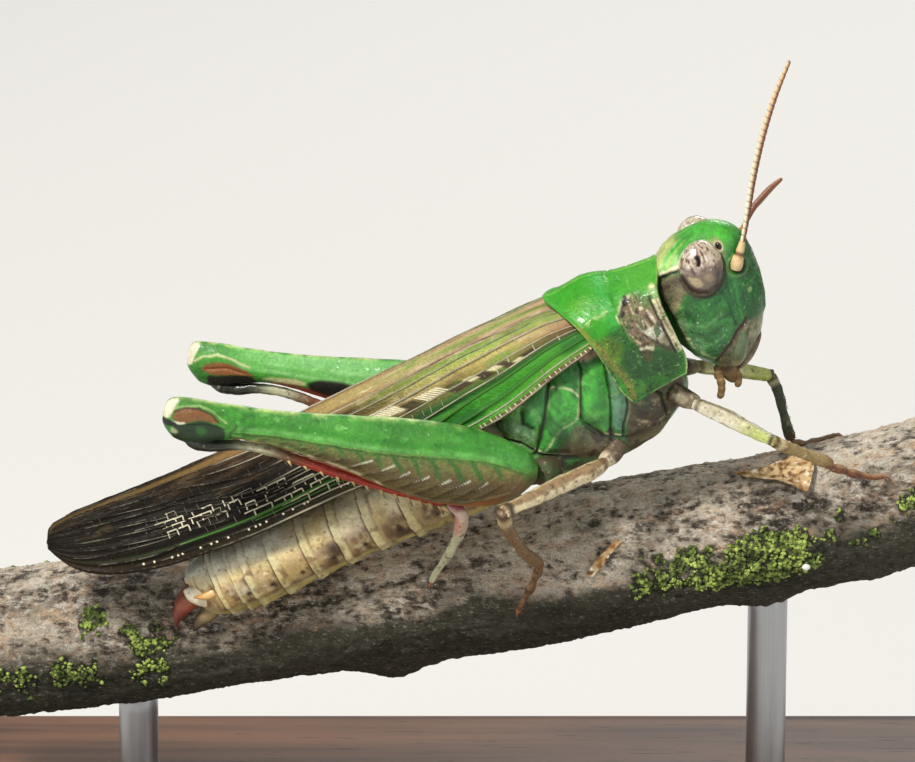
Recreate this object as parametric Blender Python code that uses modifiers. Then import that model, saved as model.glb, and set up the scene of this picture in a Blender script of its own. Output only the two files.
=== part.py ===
"""A life-size grasshopper gripping a short length of branch, held on a plain display stand.

Lengths below are millimetres, turned into metres by MM. The insect is modelled in its own frame
(+X to the head, +Y to its left, +Z up) under an empty that pitches it up the branch. The branch and
the stand are modelled upright around the world's origin, which is the middle of the base's underside.
"""
import math

import bmesh
import bpy
from mathutils import Matrix, Vector

MM = 0.001
GAP = 0.03            # clear space left between neighbouring pieces
WING_THICK = 0.5
LIMB_SIDES = 3        # bevel resolution of the round limbs

POSE_AT = (5.63, -3.35, 22.94)     # where the insect's own origin, inside its thorax, stands
PITCH, YAW, ROLL = 25.1, -1.0, 5.0

BASE_SIZE = (50.0, 30.0, 3.5)
BASE_EDGE = 0.5
ROD_RADIUS = 0.8
ROD_X = (-13.0, 12.5)

BRANCH_HALF = 21.5
BRANCH_RADIUS = 2.86
BRANCH_MID_Z = 14.45

TIDY = []


def clear_scene():
    for old in list(bpy.data.objects):
        bpy.data.objects.remove(old, do_unlink=True)


def new_collection(name):
    made = bpy.data.collections.new(name)
    bpy.context.scene.collection.children.link(made)
    return made


def material(name, colour, roughness, metallic=0.0):
    made = bpy.data.materials.new(name)
    made.use_nodes = True
    shader = made.node_tree.nodes["Principled BSDF"]
    shader.inputs["Base Color"].default_value = (*colour, 1.0)
    shader.inputs["Roughness"].default_value = roughness
    shader.inputs["Metallic"].default_value = metallic
    made.diffuse_color = (*colour, 1.0)
    return made


def place(obj, owner=None, mat=None):
    if obj.name not in PARTS.objects:
        PARTS.objects.link(obj)
    if owner is not None:
        obj.parent = owner
    if mat is not None:
        obj.data.materials.append(mat)
    return obj


def loft(name, rings, mat, owner=None):
    """One closed body through rings of points that all have the same number of points."""
    bm = bmesh.new()
    rows = [[bm.verts.new(Vector(p) * MM) for p in ring] for ring in rings]
    around = len(rings[0])
    for low, high in zip(rows, rows[1:]):
        for i in range(around):
            j = (i + 1) % around
            bm.faces.new((low[i], low[j], high[j], high[i]))
    bm.faces.new(rows[0])
    bm.faces.new(rows[-1])
    bmesh.ops.triangulate(bm, faces=[f for f in bm.faces if len(f.verts) > 4])
    bmesh.ops.recalc_face_normals(bm, faces=bm.faces)
    mesh = bpy.data.meshes.new(name)
    bm.to_mesh(mesh)
    bm.free()
    mesh.shade_smooth()
    return place(bpy.data.objects.new(name, mesh), owner, mat)


def between(rows, steps):
    """Rows of numbers with steps - 1 smooth ones put between each two (Catmull-Rom)."""
    out = []
    for i in range(len(rows) - 1):
        before, here, after = rows[max(i - 1, 0)], rows[i], rows[i + 1]
        beyond = rows[min(i + 2, len(rows) - 1)]
        for k in range(steps):
            t = k / steps
            out.append(tuple(
                0.5 * (2 * b + (c - a) * t + (2 * a - 5 * b + 4 * c - d) * t * t
                       + (3 * b - a - 3 * c + d) * t ** 3)
                for a, b, c, d in zip(before, here, after, beyond)))
    out.append(tuple(rows[-1]))
    return out


def oval(half, up, down, around, power=2.0):
    """(side, height) points of a rounded section, flatter-sided as power grows."""
    points = []
    for i in range(around):
        c, s = math.cos(2 * math.pi * i / around), math.sin(2 * math.pi * i / around)
        side = half * math.copysign(abs(c) ** (2 / power), c)
        height = (up if s > 0 else down) * math.copysign(abs(s) ** (2 / power), s)
        points.append((side, height))
    return points


def tube(name, points, mat, owner=None, steps=2):
    """A round limb: a bevelled curve through (x, y, z, radius) rows, made a mesh with welded caps."""
    rows = between(points, steps)
    curve = bpy.data.curves.new(name + "_path", "CURVE")
    curve.dimensions = "3D"
    curve.bevel_depth = MM
    curve.bevel_resolution = LIMB_SIDES - 2
    curve.use_fill_caps = True
    spline = curve.splines.new("POLY")
    spline.points.add(len(rows) - 1)
    for point, (x, y, z, radius) in zip(spline.points, rows):
        point.co = (x * MM, y * MM, z * MM, 1.0)
        point.radius = radius
    guide = bpy.data.objects.new(name + "_path", curve)
    PARTS.objects.link(guide)
    bpy.context.view_layer.update()
    graph = bpy.context.evaluated_depsgraph_get()
    mesh = bpy.data.meshes.new_from_object(guide.evaluated_get(graph))
    mesh.name = name
    bpy.data.objects.remove(guide, do_unlink=True)
    bpy.data.curves.remove(curve)
    bm = bmesh.new()
    bm.from_mesh(mesh)
    bmesh.ops.remove_doubles(bm, verts=bm.verts, dist=0.000002)
    bmesh.ops.recalc_face_normals(bm, faces=bm.faces)
    bm.to_mesh(mesh)
    bm.free()
    mesh.shade_smooth()
    return place(bpy.data.objects.new(name, mesh), owner, mat)


def ball(name, centre, radii, turn, mat, owner=None):
    """A stretched sphere, such as an eye."""
    bm = bmesh.new()
    bmesh.ops.create_uvsphere(bm, u_segments=16, v_segments=10, radius=1.0)
    size = Matrix.Diagonal((*[r * MM for r in radii], 1.0))
    bmesh.ops.transform(bm, matrix=turn.to_4x4() @ size, verts=bm.verts)
    mesh = bpy.data.meshes.new(name)
    bm.to_mesh(mesh)
    bm.free()
    mesh.shade_smooth()
    made = place(bpy.data.objects.new(name, mesh), owner, mat)
    made.location = Vector(centre) * MM
    return made


def carve(target, neighbours, gap=GAP):
    """Cuts the neighbours' shapes, grown by the gap, out of the target."""
    for other in neighbours:
        cutter = bpy.data.objects.new("cut_" + target.name + "_" + other.name, other.data)
        CUTTERS.objects.link(cutter)
        cutter.parent = other.parent
        cutter.location = other.location
        grow = cutter.modifiers.new("grow", "DISPLACE")
        grow.strength = gap * MM
        grow.mid_level = 0.0
        cutter.hide_render = True
        cutter.display_type = "WIRE"
        cut = target.modifiers.new("clear_of_" + other.name, "BOOLEAN")
        cut.operation = "DIFFERENCE"
        cut.solver = "EXACT"
        cut.object = cutter


def sided(point, side):
    """A row given for the insect's right side (y negative), put on the side asked for."""
    x, y, z, *rest = point
    return (x, y if side == "right" else -y, z, *rest)


# --- trunk ---------------------------------------------------------------------------------

# x, half width, top, bottom
THORAX = [(3.75, 0.9, 3.1, 0.2), (3.5, 1.5, 3.8, -0.65), (2.6, 1.85, 4.05, -1.4),
          (1.3, 2.0, 4.0, -2.05), (0.1, 2.2, 3.8, -2.1), (-1.2, 2.3, 3.5, -1.85),
          (-2.6, 2.25, 3.2, -1.75), (-3.6, 1.95, 2.7, -1.7)]
ABDOMEN = [(-3.72, 1.75, 2.4, -1.8), (-5.4, 1.85, 1.9, -1.9), (-7.2, 1.78, 1.6, -1.88),
           (-9.0, 1.7, 1.35, -1.84), (-10.8, 1.66, 1.2, -1.84), (-12.5, 1.62, 1.14, -1.88),
           (-13.9, 1.58, 1.1, -1.92), (-15.2, 1.48, 1.06, -1.94), (-16.2, 1.34, 1.0, -1.86),
           (-17.0, 1.13, 0.88, -1.72), (-17.65, 0.85, 0.66, -1.46), (-18.0, 0.45, 0.3, -1.0)]
SEGMENT_STEP = 0.07     # how far each abdomen ring stands over the next one


def trunk(name, rows, mat, around=18, power=2.3, centre=0.55):
    rings = []
    for x, half, top, bottom in rows:
        mid = bottom + (top - bottom) * centre
        rings.append([(x, y, mid + z) for y, z in oval(half, top - mid, mid - bottom, around, power)])
    return loft(name, rings, mat, POSE)


def ringed(rows):
    """Each segment ends in a rim that stands a little over the start of the one behind it."""
    out = []
    for i, (x, half, top, bottom) in enumerate(rows):
        rim = SEGMENT_STEP if 0 < i < len(rows) - 1 else 0.0
        if rim:
            out.append((x + 0.05, half + rim, top + rim, bottom - rim))
        out.append((x - 0.05 * bool(rim), half - 0.3 * rim, top - 0.3 * rim, bottom + 0.3 * rim))
    return out


# --- head ----------------------------------------------------------------------------------

# height, front, back, half width
HEAD = [(5.32, 6.95, 6.25, 0.3), (5.14, 7.48, 5.42, 0.8), (4.88, 7.78, 4.86, 1.1), (4.45, 8.0, 4.4, 1.42),
        (3.7, 8.08, 4.1, 1.65), (2.7, 8.02, 4.0, 1.82), (1.7, 7.84, 4.0, 1.92),
        (0.8, 7.45, 4.3, 1.85), (0.15, 7.0, 4.7, 1.52), (-0.38, 6.5, 5.05, 1.1)]
EYE_AT = (6.17, -1.38, 4.14)
EYE_RADII = (0.87, 0.72, 1.14)
EYE_LEAN = 20.0
EYE_TURN = 12.0


def head_section(front, back, half, around=20):
    """A level section, egg-shaped: widest behind the middle and narrower towards the face."""
    length = front - back
    points = []
    for i in range(around):
        angle = 2 * math.pi * i / around
        along = 0.5 + 0.5 * math.cos(angle)
        narrow = 1.0 - 0.30 * max(0.0, along - 0.35) / 0.65
        side = math.copysign(abs(math.sin(angle)) ** 0.85, math.sin(angle))
        points.append((back + length * along, half * narrow * side))
    return points


# --- pronotum ------------------------------------------------------------------------------

# angle-wise stations of half its section: (side, height) from the crest to the lower edge
SADDLE_FRONT = [(0.0, 4.78), (0.9, 4.56), (1.62, 4.22), (2.0, 3.5), (2.2, 2.4), (2.3, 1.3), (2.22, 0.7)]
SADDLE_BACK = [(0.0, 5.1), (1.15, 4.82), (2.12, 4.1), (2.4, 3.2), (2.52, 2.2), (2.55, 1.2), (2.45, 0.5)]
SADDLE_FRONT_X = [4.6, 4.5, 4.3, 4.22, 4.22, 4.2, 3.95]
SADDLE_BACK_X = [-0.1, 0.3, 0.85, 1.12, 1.25, 1.36, 1.6]
SADDLE_INSIDE = 0.55    # the shield's floor stands this far inside its lower edge


def saddle(name, mat):
    steps = 8
    rings = []
    for k in range(steps + 1):
        t = k / steps
        half = []
        for front, back, x0, x1 in zip(SADDLE_FRONT, SADDLE_BACK, SADDLE_FRONT_X, SADDLE_BACK_X):
            pinch = 0.10 * math.sin(math.pi * t) * (front[0] > 0)
            half.append((x0 + (x1 - x0) * t, front[0] + (back[0] - front[0]) * t - pinch,
                         front[1] + (back[1] - front[1]) * t))
        x, side, height = half[-1]
        half.append((x, side - SADDLE_INSIDE, height + 0.05))
        rings.append(half + [(x, -y, z) for x, y, z in reversed(half[1:])])
    return loft(name, rings, mat, POSE)


# --- wings ---------------------------------------------------------------------------------

# x, shoulder side, shoulder height, lower edge side, lower edge height
TEGMEN = [(1.5, 1.15, 4.3, 2.3, 3.3), (-0.5, 1.15, 4.7, 2.5, 2.93), (-3.4, 1.1, 4.78, 2.6, 2.2),
          (-6.5, 1.05, 4.65, 2.55, 1.93), (-10.4, 0.98, 4.55, 2.4, 1.92), (-14.5, 0.85, 4.44, 2.15, 1.72),
          (-17.5, 0.7, 4.52, 1.85, 1.8), (-19.6, 0.55, 4.66, 1.6, 2.15), (-21.2, 0.46, 4.72, 1.36, 2.75),
          (-22.2, 0.55, 4.42, 0.88, 3.85)]
# x, width, top, depth
HINDWING = [(-3.0, 0.72, 3.92, 0.55), (-8.0, 0.7, 3.95, 0.9), (-14.0, 0.58, 3.9, 0.9), (-18.5, 0.42, 3.95, 0.6)]


def tegmen(side, mat):
    """A fore wing: a bent sheet with a narrow flat top and a steep flank, given its thickness."""
    sign = -1 if side == "right" else 1
    bm = bmesh.new()
    rows = []
    for x, shoulder, top, low_side, low in between(TEGMEN, 2):
        crest = top + 0.12 * min(1.0, shoulder)
        belly = 0.5 * (shoulder + low_side) + 0.22
        line = [(0.045, crest), (0.5 * shoulder, 0.5 * (crest + top) + 0.03), (shoulder, top),
                (shoulder + 0.3 * (belly - shoulder), top - 0.22 * (top - low)),
                (belly, 0.5 * (top + low)), (low_side, low)]
        rows.append([bm.verts.new(Vector((x, sign * y, z)) * MM) for y, z in line])
    for near, far in zip(rows, rows[1:]):
        for i in range(len(near) - 1):
            quad = (near[i], near[i + 1], far[i + 1], far[i])
            bm.faces.new(quad if sign > 0 else quad[::-1])
    mesh = bpy.data.meshes.new("tegmen_" + side)
    bm.to_mesh(mesh)
    bm.free()
    mesh.shade_smooth()
    made = place(bpy.data.objects.new("tegmen_" + side, mesh), POSE, mat)
    thick = made.modifiers.new("thickness", "SOLIDIFY")
    thick.thickness = WING_THICK * MM
    thick.offset = -1.0
    return made


def hindwing(side, mat):
    """The folded hind wing, a flat pack under the fore wing."""
    sign = -1 if side == "right" else 1
    rings = []
    for x, wide, top, deep in HINDWING:
        inner = 0.07
        ring = [(inner, top), (0.7 * wide, top - 0.02), (wide, top - 0.25),
                (wide - 0.1, top - deep), (inner, top - deep)]
        rings.append([(x, sign * y, z) for y, z in ring])
    return loft("hindwing_" + side, rings, mat, POSE)


# --- legs ----------------------------------------------------------------------------------

# distance from the root, height above the axis, depth below it, half thickness
HIND_FEMUR = [(-0.1, 0.35, 0.35, 0.35), (0.4, 0.85, 0.95, 0.6), (1.6, 1.2, 1.45, 0.8), (3.4, 1.46, 1.72, 0.9),
              (5.4, 1.37, 1.45, 0.85), (7.4, 1.18, 1.0, 0.7), (9.4, 0.98, 0.62, 0.55), (11.3, 0.86, 0.38, 0.45),
              (12.5, 0.9, 0.6, 0.48), (13.4, 0.9, 0.95, 0.5), (14.2, 0.68, 0.78, 0.42), (14.6, 0.25, 0.35, 0.22)]
HIND_LEG = {
    "right": {"root": (-3.1, -3.12, -0.2), "knee": (-14.3, -4.15, 8.15)},
    "left": {"root": (-2.42, 3.1, -0.7), "knee": (-13.47, 5.05, 6.0)},
}
HIND_REACH = 13.94      # root to the middle of the knee


def hind_frame(side):
    root, knee = Vector(HIND_LEG[side]["root"]), Vector(HIND_LEG[side]["knee"])
    along = (knee - root).normalized()
    outward = Vector((0, -1 if side == "right" else 1, 0))
    outward = (outward - along * outward.dot(along)).normalized()
    upward = along.cross(outward) if side == "right" else outward.cross(along)
    return root, along, outward, upward


def hind_femur(side, mat):
    root, along, outward, upward = hind_frame(side)
    rings = []
    for s, up, down, half in HIND_FEMUR:
        ring = oval(half, up, down, 12, 1.9)
        rings.append([tuple(root + along * s + outward * a + upward * b) for a, b in ring])
    return loft("femur_hind_" + side, rings, mat, POSE)


def hind_point(side, s, out, up, radius):
    """A row on the hind leg, by its place along the femur, outward of it and above its axis."""
    root, along, outward, upward = hind_frame(side)
    return (*(root + along * s + outward * out + upward * up), radius)


LEG = {
    "fore_right": {
        "coxa": [(3.1, -1.75, -0.1, 0.42), (3.5, -1.8, -0.55, 0.45), (3.8, -1.95, -0.78, 0.36)],
        "femur": [(3.88, -2.1, -0.9, 0.26), (4.5, -2.6, -1.35, 0.36), (5.4, -3.4, -2.15, 0.34),
                  (6.05, -4.0, -2.68, 0.29)],
        "tibia": [(6.15, -3.95, -2.85, 0.27), (6.8, -3.3, -3.95, 0.25), (7.45, -2.6, -5.05, 0.26)],
        "tarsus": [(7.5, -2.5, -5.25, 0.27), (7.95, -2.0, -6.0, 0.26), (8.5, -1.45, -6.75, 0.25),
                   (9.0, -1.05, -7.15, 0.25)],
    },
    "fore_left": {
        "coxa": [(3.1, 1.75, -0.1, 0.42), (3.5, 1.8, -0.55, 0.45), (3.95, 1.9, -0.85, 0.36)],
        "femur": [(4.05, 1.95, -0.95, 0.26), (4.8, 2.3, -1.5, 0.36), (5.6, 2.95, -2.4, 0.34),
                  (6.25, 3.55, -3.15, 0.29)],
        "tibia": [(6.27, 3.5, -3.38, 0.27), (6.1, 3.25, -4.6, 0.25), (5.9, 3.0, -5.75, 0.26)],
        "tarsus": [(5.95, 2.95, -5.98, 0.27), (6.35, 3.0, -6.25, 0.26), (6.95, 3.2, -6.42, 0.25),
                   (7.6, 3.4, -6.6, 0.25)],
    },
    "mid_right": {
        "coxa": [(0.0, -1.75, -1.2, 0.5), (-0.3, -2.1, -1.4, 0.5), (-0.65, -2.45, -1.38, 0.38)],
        "femur": [(-0.8, -2.6, -1.3, 0.3), (-1.9, -3.5, -0.95, 0.38), (-3.4, -4.75, -0.5, 0.36),
                  (-4.4, -5.55, -0.2, 0.34)],
        "tibia": [(-4.55, -5.45, -0.45, 0.29), (-4.75, -4.1, -2.5, 0.26), (-4.6, -2.65, -4.05, 0.27)],
        "tarsus": [(-4.65, -2.45, -4.25, 0.27), (-5.25, -1.9, -4.95, 0.26), (-5.95, -1.3, -5.7, 0.25),
                   (-6.5, -0.9, -6.25, 0.25)],
    },
    "mid_left": {
        "coxa": [(0.0, 1.75, -1.2, 0.5), (-0.3, 2.1, -1.4, 0.5), (-0.55, 2.45, -1.38, 0.38)],
        "femur": [(-0.65, 2.62, -1.32, 0.3), (-1.2, 3.6, -1.05, 0.38), (-2.0, 4.9, -0.6, 0.36),
                  (-2.6, 5.8, -0.4, 0.34)],
        "tibia": [(-2.65, 5.78, -0.65, 0.29), (-2.5, 4.9, -2.5, 0.26), (-2.25, 4.05, -4.15, 0.27)],
        "tarsus": [(-2.4, 4.0, -4.4, 0.27), (-3.0, 4.1, -4.5, 0.26), (-3.8, 4.3, -4.4, 0.25),
                   (-4.6, 4.5, -4.25, 0.25)],
    },
}
# the hind feet, from the end of the tibia to the claws
HIND_FOOT = {
    "right": [(-6.74, -2.82, -0.04, 0.25), (-6.45, -3.05, -0.4, 0.27), (-6.85, -2.7, -1.4, 0.3),
              (-7.75, -1.9, -2.4, 0.27),
              (-8.75, -1.05, -3.3, 0.25), (-9.2, -0.7, -3.75, 0.25)],
    "left": [(-6.18, 3.0, -0.86, 0.25), (-6.35, 3.3, -1.3, 0.27), (-7.2, 3.45, -2.1, 0.3),
             (-8.1, 3.4, -2.35, 0.27),
             (-9.2, 3.5, -2.1, 0.25), (-9.9, 3.6, -1.95, 0.25)],
}


# --- branch and stand ----------------------------------------------------------------------

# where along it, which way round (degrees, 0 towards +Y, 90 up), height, spread
KNOTS = [(-3.0, -100.0, 0.55, 1.3), (12.0, -95.0, 0.45, 1.2), (-14.5, 100.0, 0.25, 1.8), (4.0, 170.0, 0.2, 2.0)]


def branch_axis(x):
    return Vector((x, -0.25 - 0.055 * x, BRANCH_MID_Z + 0.195 * x + 0.0018 * x * x))


def branch_radius(x, angle):
    radius = BRANCH_RADIUS + 0.10 * math.sin(0.31 * x + 0.6) + 0.05 * math.sin(3 * angle + 0.4 * x)
    for at, way, height, spread in KNOTS:
        turn = math.remainder(angle - math.radians(way), 2 * math.pi)
        radius += height * math.exp(-((x - at) / spread) ** 2 - (turn * BRANCH_RADIUS / spread) ** 2)
    return radius


def branch(mat):
    rings = []
    count = 26
    for k in range(count + 1):
        x = -BRANCH_HALF + 2 * BRANCH_HALF * k / count
        ring = []
        for i in range(18):
            angle = 2 * math.pi * i / 18
            r = branch_radius(x, angle)
            ring.append(tuple(branch_axis(x) + Vector((-0.178 * math.sin(angle), math.cos(angle),
                                                       math.sin(angle))) * r))
        rings.append(ring)
    return loft("perch", rings, mat)


def stand(wood, steel, perch):
    bm = bmesh.new()
    bmesh.ops.create_cube(bm, size=1.0)
    bmesh.ops.scale(bm, vec=Vector(BASE_SIZE) * MM, verts=bm.verts)
    bmesh.ops.translate(bm, vec=(0, 0, 0.5 * BASE_SIZE[2] * MM), verts=bm.verts)
    mesh = bpy.data.meshes.new("stand_base")
    bm.to_mesh(mesh)
    bm.free()
    base = place(bpy.data.objects.new("stand_base", mesh), None, wood)
    edge = base.modifiers.new("edge", "BEVEL")
    edge.width = BASE_EDGE * MM
    edge.segments = 2
    for number, x in enumerate(ROD_X, 1):
        foot, head = BASE_SIZE[2] + GAP, branch_axis(x).z
        bm = bmesh.new()
        bmesh.ops.create_cone(bm, cap_ends=True, segments=16, radius1=ROD_RADIUS * MM,
                              radius2=ROD_RADIUS * MM, depth=(head - foot) * MM)
        mesh = bpy.data.meshes.new("stand_rod_%d" % number)
        bm.to_mesh(mesh)
        bm.free()
        mesh.shade_smooth()
        mesh.set_sharp_from_angle(angle=math.radians(40))
        rod = place(bpy.data.objects.new("stand_rod_%d" % number, mesh), None, steel)
        rod.location = Vector((x, branch_axis(x).y, 0.5 * (foot + head))) * MM
        carve(rod, [perch])


# --- assembly ------------------------------------------------------------------------------

clear_scene()
PARTS = new_collection("grasshopper")
CUTTERS = new_collection("cutters")
POSE = bpy.data.objects.new("insect_pose", None)
PARTS.objects.link(POSE)
POSE.location = Vector(POSE_AT) * MM
POSE.rotation_euler = (Matrix.Rotation(math.radians(YAW), 3, "Z") @ Matrix.Rotation(math.radians(-PITCH), 3, "Y")
                       @ Matrix.Rotation(math.radians(ROLL), 3, "X")).to_euler()

green = material("green_shell", (0.05, 0.35, 0.05), 0.35)
pale = material("pale_shell", (0.62, 0.50, 0.30), 0.45)
dark = material("dark_shell", (0.12, 0.07, 0.04), 0.45)
wing_tan = material("wing_tan", (0.35, 0.24, 0.14), 0.5)
eye_stone = material("eye_surface", (0.45, 0.36, 0.28), 0.25)
bark = material("bark", (0.25, 0.21, 0.17), 0.9)
base_wood = material("base_wood", (0.16, 0.08, 0.04), 0.4)
steel = material("rod_steel", (0.6, 0.6, 0.6), 0.3, 1.0)

thorax = trunk("thorax", THORAX, green)
abdomen = trunk("abdomen", ringed(ABDOMEN), pale, around=16)
carve(abdomen, [thorax])

head = loft("head", [[(x, y, z) for x, y in head_section(front, back, half)]
                     for z, front, back, half in HEAD], green, POSE)
carve(head, [thorax])
shield = saddle("pronotum", green)
carve(shield, [thorax, head])
solid_shield = saddle("pronotum_space", green)
PARTS.objects.unlink(solid_shield)
CUTTERS.objects.link(solid_shield)
solid_shield.hide_render = True
solid_shield.display_type = "WIRE"

for side in ("right", "left"):
    sign = 1 if side == "right" else -1
    turn = (Matrix.Rotation(math.radians(sign * EYE_TURN), 3, "Z")
            @ Matrix.Rotation(math.radians(EYE_LEAN), 3, "Y"))
    eye = ball("eye_" + side, sided(EYE_AT, side), EYE_RADII, turn, eye_stone, POSE)
    carve(head, [eye])

    antenna = [(7.55, -0.62, 3.42, 0.3), (7.78, -0.66, 3.72, 0.27), (8.1, -0.7, 4.3, 0.25),
               (9.1, -0.95, 6.0, 0.25), (10.3, -1.3, 7.9, 0.25), (11.4, -1.65, 9.4, 0.25),
               (12.7, -2.0, 10.65, 0.25)]
    if side == "left":
        antenna = [(7.55, 0.62, 3.42, 0.3), (7.85, 0.75, 3.68, 0.27), (8.3, 1.3, 3.98, 0.25),
                   (8.85, 2.7, 4.15, 0.25), (9.25, 4.2, 4.0, 0.25), (9.7, 5.8, 3.55, 0.25),
                   (10.3, 7.3, 2.85, 0.25)]
    feeler = tube("antenna_" + side, antenna, pale, POSE)
    carve(feeler, [head])

    mandible = tube("mandible_" + side, [sided(p, side) for p in (
        (6.1, -1.05, 0.75, 0.3), (6.05, -1.05, 0.1, 0.5), (5.95, -0.85, -0.55, 0.45),
        (5.9, -0.5, -1.05, 0.26))], green, POSE)
    carve(mandible, [head])
    palp = tube("palp_" + side, [sided(p, side) for p in (
        (5.2, -0.8, -0.35, 0.25), (5.1, -1.0, -0.95, 0.26), (5.3, -0.95, -1.5, 0.25),
        (5.5, -0.8, -1.85, 0.25))], pale, POSE)
    carve(palp, [head, mandible])

    wing = tegmen(side, wing_tan)
    carve(wing, [solid_shield, thorax])
    fold = hindwing(side, wing_tan)

    for place_name in ("fore", "mid"):
        leg = LEG[place_name + "_" + side]
        suffix = "_" + place_name + "_" + side
        coxa = tube("coxa" + suffix, leg["coxa"], dark, POSE)
        carve(coxa, [thorax, shield] if place_name == "fore" else [thorax])
        femur = tube("femur" + suffix, leg["femur"], pale, POSE)
        carve(femur, [coxa])
        tibia = tube("tibia" + suffix, leg["tibia"], pale, POSE)
        carve(tibia, [femur])
        foot = tube("tarsus" + suffix, leg["tarsus"], pale, POSE)
        carve(foot, [tibia])
        TIDY.append(foot)

    hip = tube("coxa_hind_" + side, [sided(p, side) for p in (
        (-2.5, -1.9, -0.9, 0.6), (-2.75, -2.35, -0.65, 0.6), (-2.95, -2.75, -0.4, 0.42))], dark, POSE)
    carve(hip, [thorax, abdomen])
    femur = hind_femur(side, green)
    carve(femur, [hip])
    shin = tube("tibia_hind_" + side, [
        hind_point(side, 13.5, 0.0, -1.3, 0.28), hind_point(side, 12.6, 0.0, -1.12, 0.3),
        hind_point(side, 10.9, -0.05, -0.82, 0.27), hind_point(side, 7.6, -0.25, -1.35, 0.26),
        hind_point(side, 5.2, -0.5, -1.8, 0.26), hind_point(side, 3.1, -0.6, -2.0, 0.3)],
        material("shin_red_" + side, (0.4, 0.05, 0.03), 0.4), POSE)
    carve(shin, [femur])
    foot = tube("tarsus_hind_" + side, HIND_FOOT[side], pale, POSE)
    carve(foot, [shin])
    TIDY.append(foot)

    cercus = tube("cercus_" + side, [sided(p, side) for p in (
        (-17.5, -0.75, -0.1, 0.27), (-17.9, -0.8, 0.0, 0.26), (-18.3, -0.78, 0.1, 0.25))], pale, POSE)
    carve(cercus, [abdomen])

labrum = loft("labrum", [[(x + 0.35 * math.cos(a), 0.78 * w * math.sin(a), z) for a in
                          [2 * math.pi * i / 12 for i in range(12)]]
                         for x, z, w in ((6.75, -0.42, 0.95), (6.55, -0.75, 1.0), (6.3, -1.05, 0.8),
                                         (6.12, -1.25, 0.4))], green, POSE)
carve(labrum, [head, bpy.data.objects["mandible_right"], bpy.data.objects["mandible_left"]])
upper = tube("ovipositor_upper", [(-18.0, 0.0, -0.4, 0.4), (-18.5, 0.0, -0.42, 0.36), (-18.9, 0.0, -0.25, 0.3),
                                  (-19.2, 0.0, 0.0, 0.25)], dark, POSE)
lower = tube("ovipositor_lower", [(-17.85, 0.0, -1.15, 0.38), (-18.4, 0.0, -1.2, 0.36),
                                  (-18.8, 0.0, -1.4, 0.3), (-19.05, 0.0, -1.65, 0.25)], dark, POSE)
carve(upper, [abdomen])
carve(lower, [abdomen, upper])

perch = branch(bark)
carve(abdomen, [perch])
for foot in TIDY:
    carve(foot, [perch])
stand(base_wood, steel, perch)
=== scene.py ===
import math

import bpy
import numpy as np
from mathutils import Matrix, Vector


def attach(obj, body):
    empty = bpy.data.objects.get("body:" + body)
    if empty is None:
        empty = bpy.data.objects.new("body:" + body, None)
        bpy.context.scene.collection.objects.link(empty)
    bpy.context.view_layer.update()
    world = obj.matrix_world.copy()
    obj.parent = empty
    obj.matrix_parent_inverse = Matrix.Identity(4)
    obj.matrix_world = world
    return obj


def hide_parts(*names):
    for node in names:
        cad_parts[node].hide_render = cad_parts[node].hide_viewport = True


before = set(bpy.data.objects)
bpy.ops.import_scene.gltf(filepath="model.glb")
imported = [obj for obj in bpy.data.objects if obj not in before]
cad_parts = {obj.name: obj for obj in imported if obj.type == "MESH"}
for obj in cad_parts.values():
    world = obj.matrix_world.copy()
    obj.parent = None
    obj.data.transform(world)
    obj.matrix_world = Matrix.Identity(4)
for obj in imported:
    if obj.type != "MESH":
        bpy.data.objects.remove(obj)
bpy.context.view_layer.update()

print("frame:", len(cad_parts), "nodes")

mm = 0.001
pose = {"at": (5.63, -3.35, 22.94), "pitch": 25.1, "yaw": -1.0, "roll": 5.0}
turned = np.array(Matrix.Rotation(math.radians(pose["yaw"]), 3, "Z")
                  @ Matrix.Rotation(math.radians(-pose["pitch"]), 3, "Y")
                  @ Matrix.Rotation(math.radians(pose["roll"]), 3, "X"))


def toWorld(points):  # insect's own millimetres to the frame's metres
    return (np.asarray(points, float) @ turned.T + np.array(pose["at"])) * mm


# numbers and curves

def rise(low, high, value):
    t = np.clip((value - low) / (high - low), 0, 1)
    return t * t * (3 - 2 * t)


def bell(value, half):
    return np.exp(-((value / half) ** 2))


def circle(count):
    return np.linspace(0, 2 * math.pi, count, endpoint=False)


def band(value, middle, half, soft):
    return 1 - rise(half - soft, half + soft, np.abs(value - middle))


def follow(rows, at, free=False):
    # smooth columns between rows whose first number grows or falls; free lets them swing past a row
    rows = np.array(rows, float)
    if rows[0, 0] > rows[-1, 0]:
        rows = rows[::-1]
    x, y = rows[:, 0], rows[:, 1:]
    gap = np.diff(x)[:, None]
    slope = np.diff(y, axis=0) / gap
    m = np.zeros_like(y)
    m[0], m[-1] = slope[0], slope[-1]
    if free:
        m[1:-1] = (slope[:-1] * gap[1:] + slope[1:] * gap[:-1]) / (gap[1:] + gap[:-1])
    else:
        a, b = 2 * gap[1:] + gap[:-1], gap[1:] + 2 * gap[:-1]
        same = slope[1:] * slope[:-1] > 0
        safe = np.where(same, slope[:-1], 1), np.where(same, slope[1:], 1)
        m[1:-1] = np.where(same, (a + b) / (a / safe[0] + b / safe[1]), 0)
    at = np.clip(at, x[0], x[-1])
    i = np.clip(np.searchsorted(x, at, side="right") - 1, 0, len(x) - 2)
    h = (x[i + 1] - x[i])[:, None]
    t = (at - x[i])[:, None] / h
    return ((2 * t**3 - 3 * t**2 + 1) * y[i] + (t**3 - 2 * t**2 + t) * h * m[i]
            + (3 * t**2 - 2 * t**3) * y[i + 1] + (t**3 - t**2) * h * m[i + 1])


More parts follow.
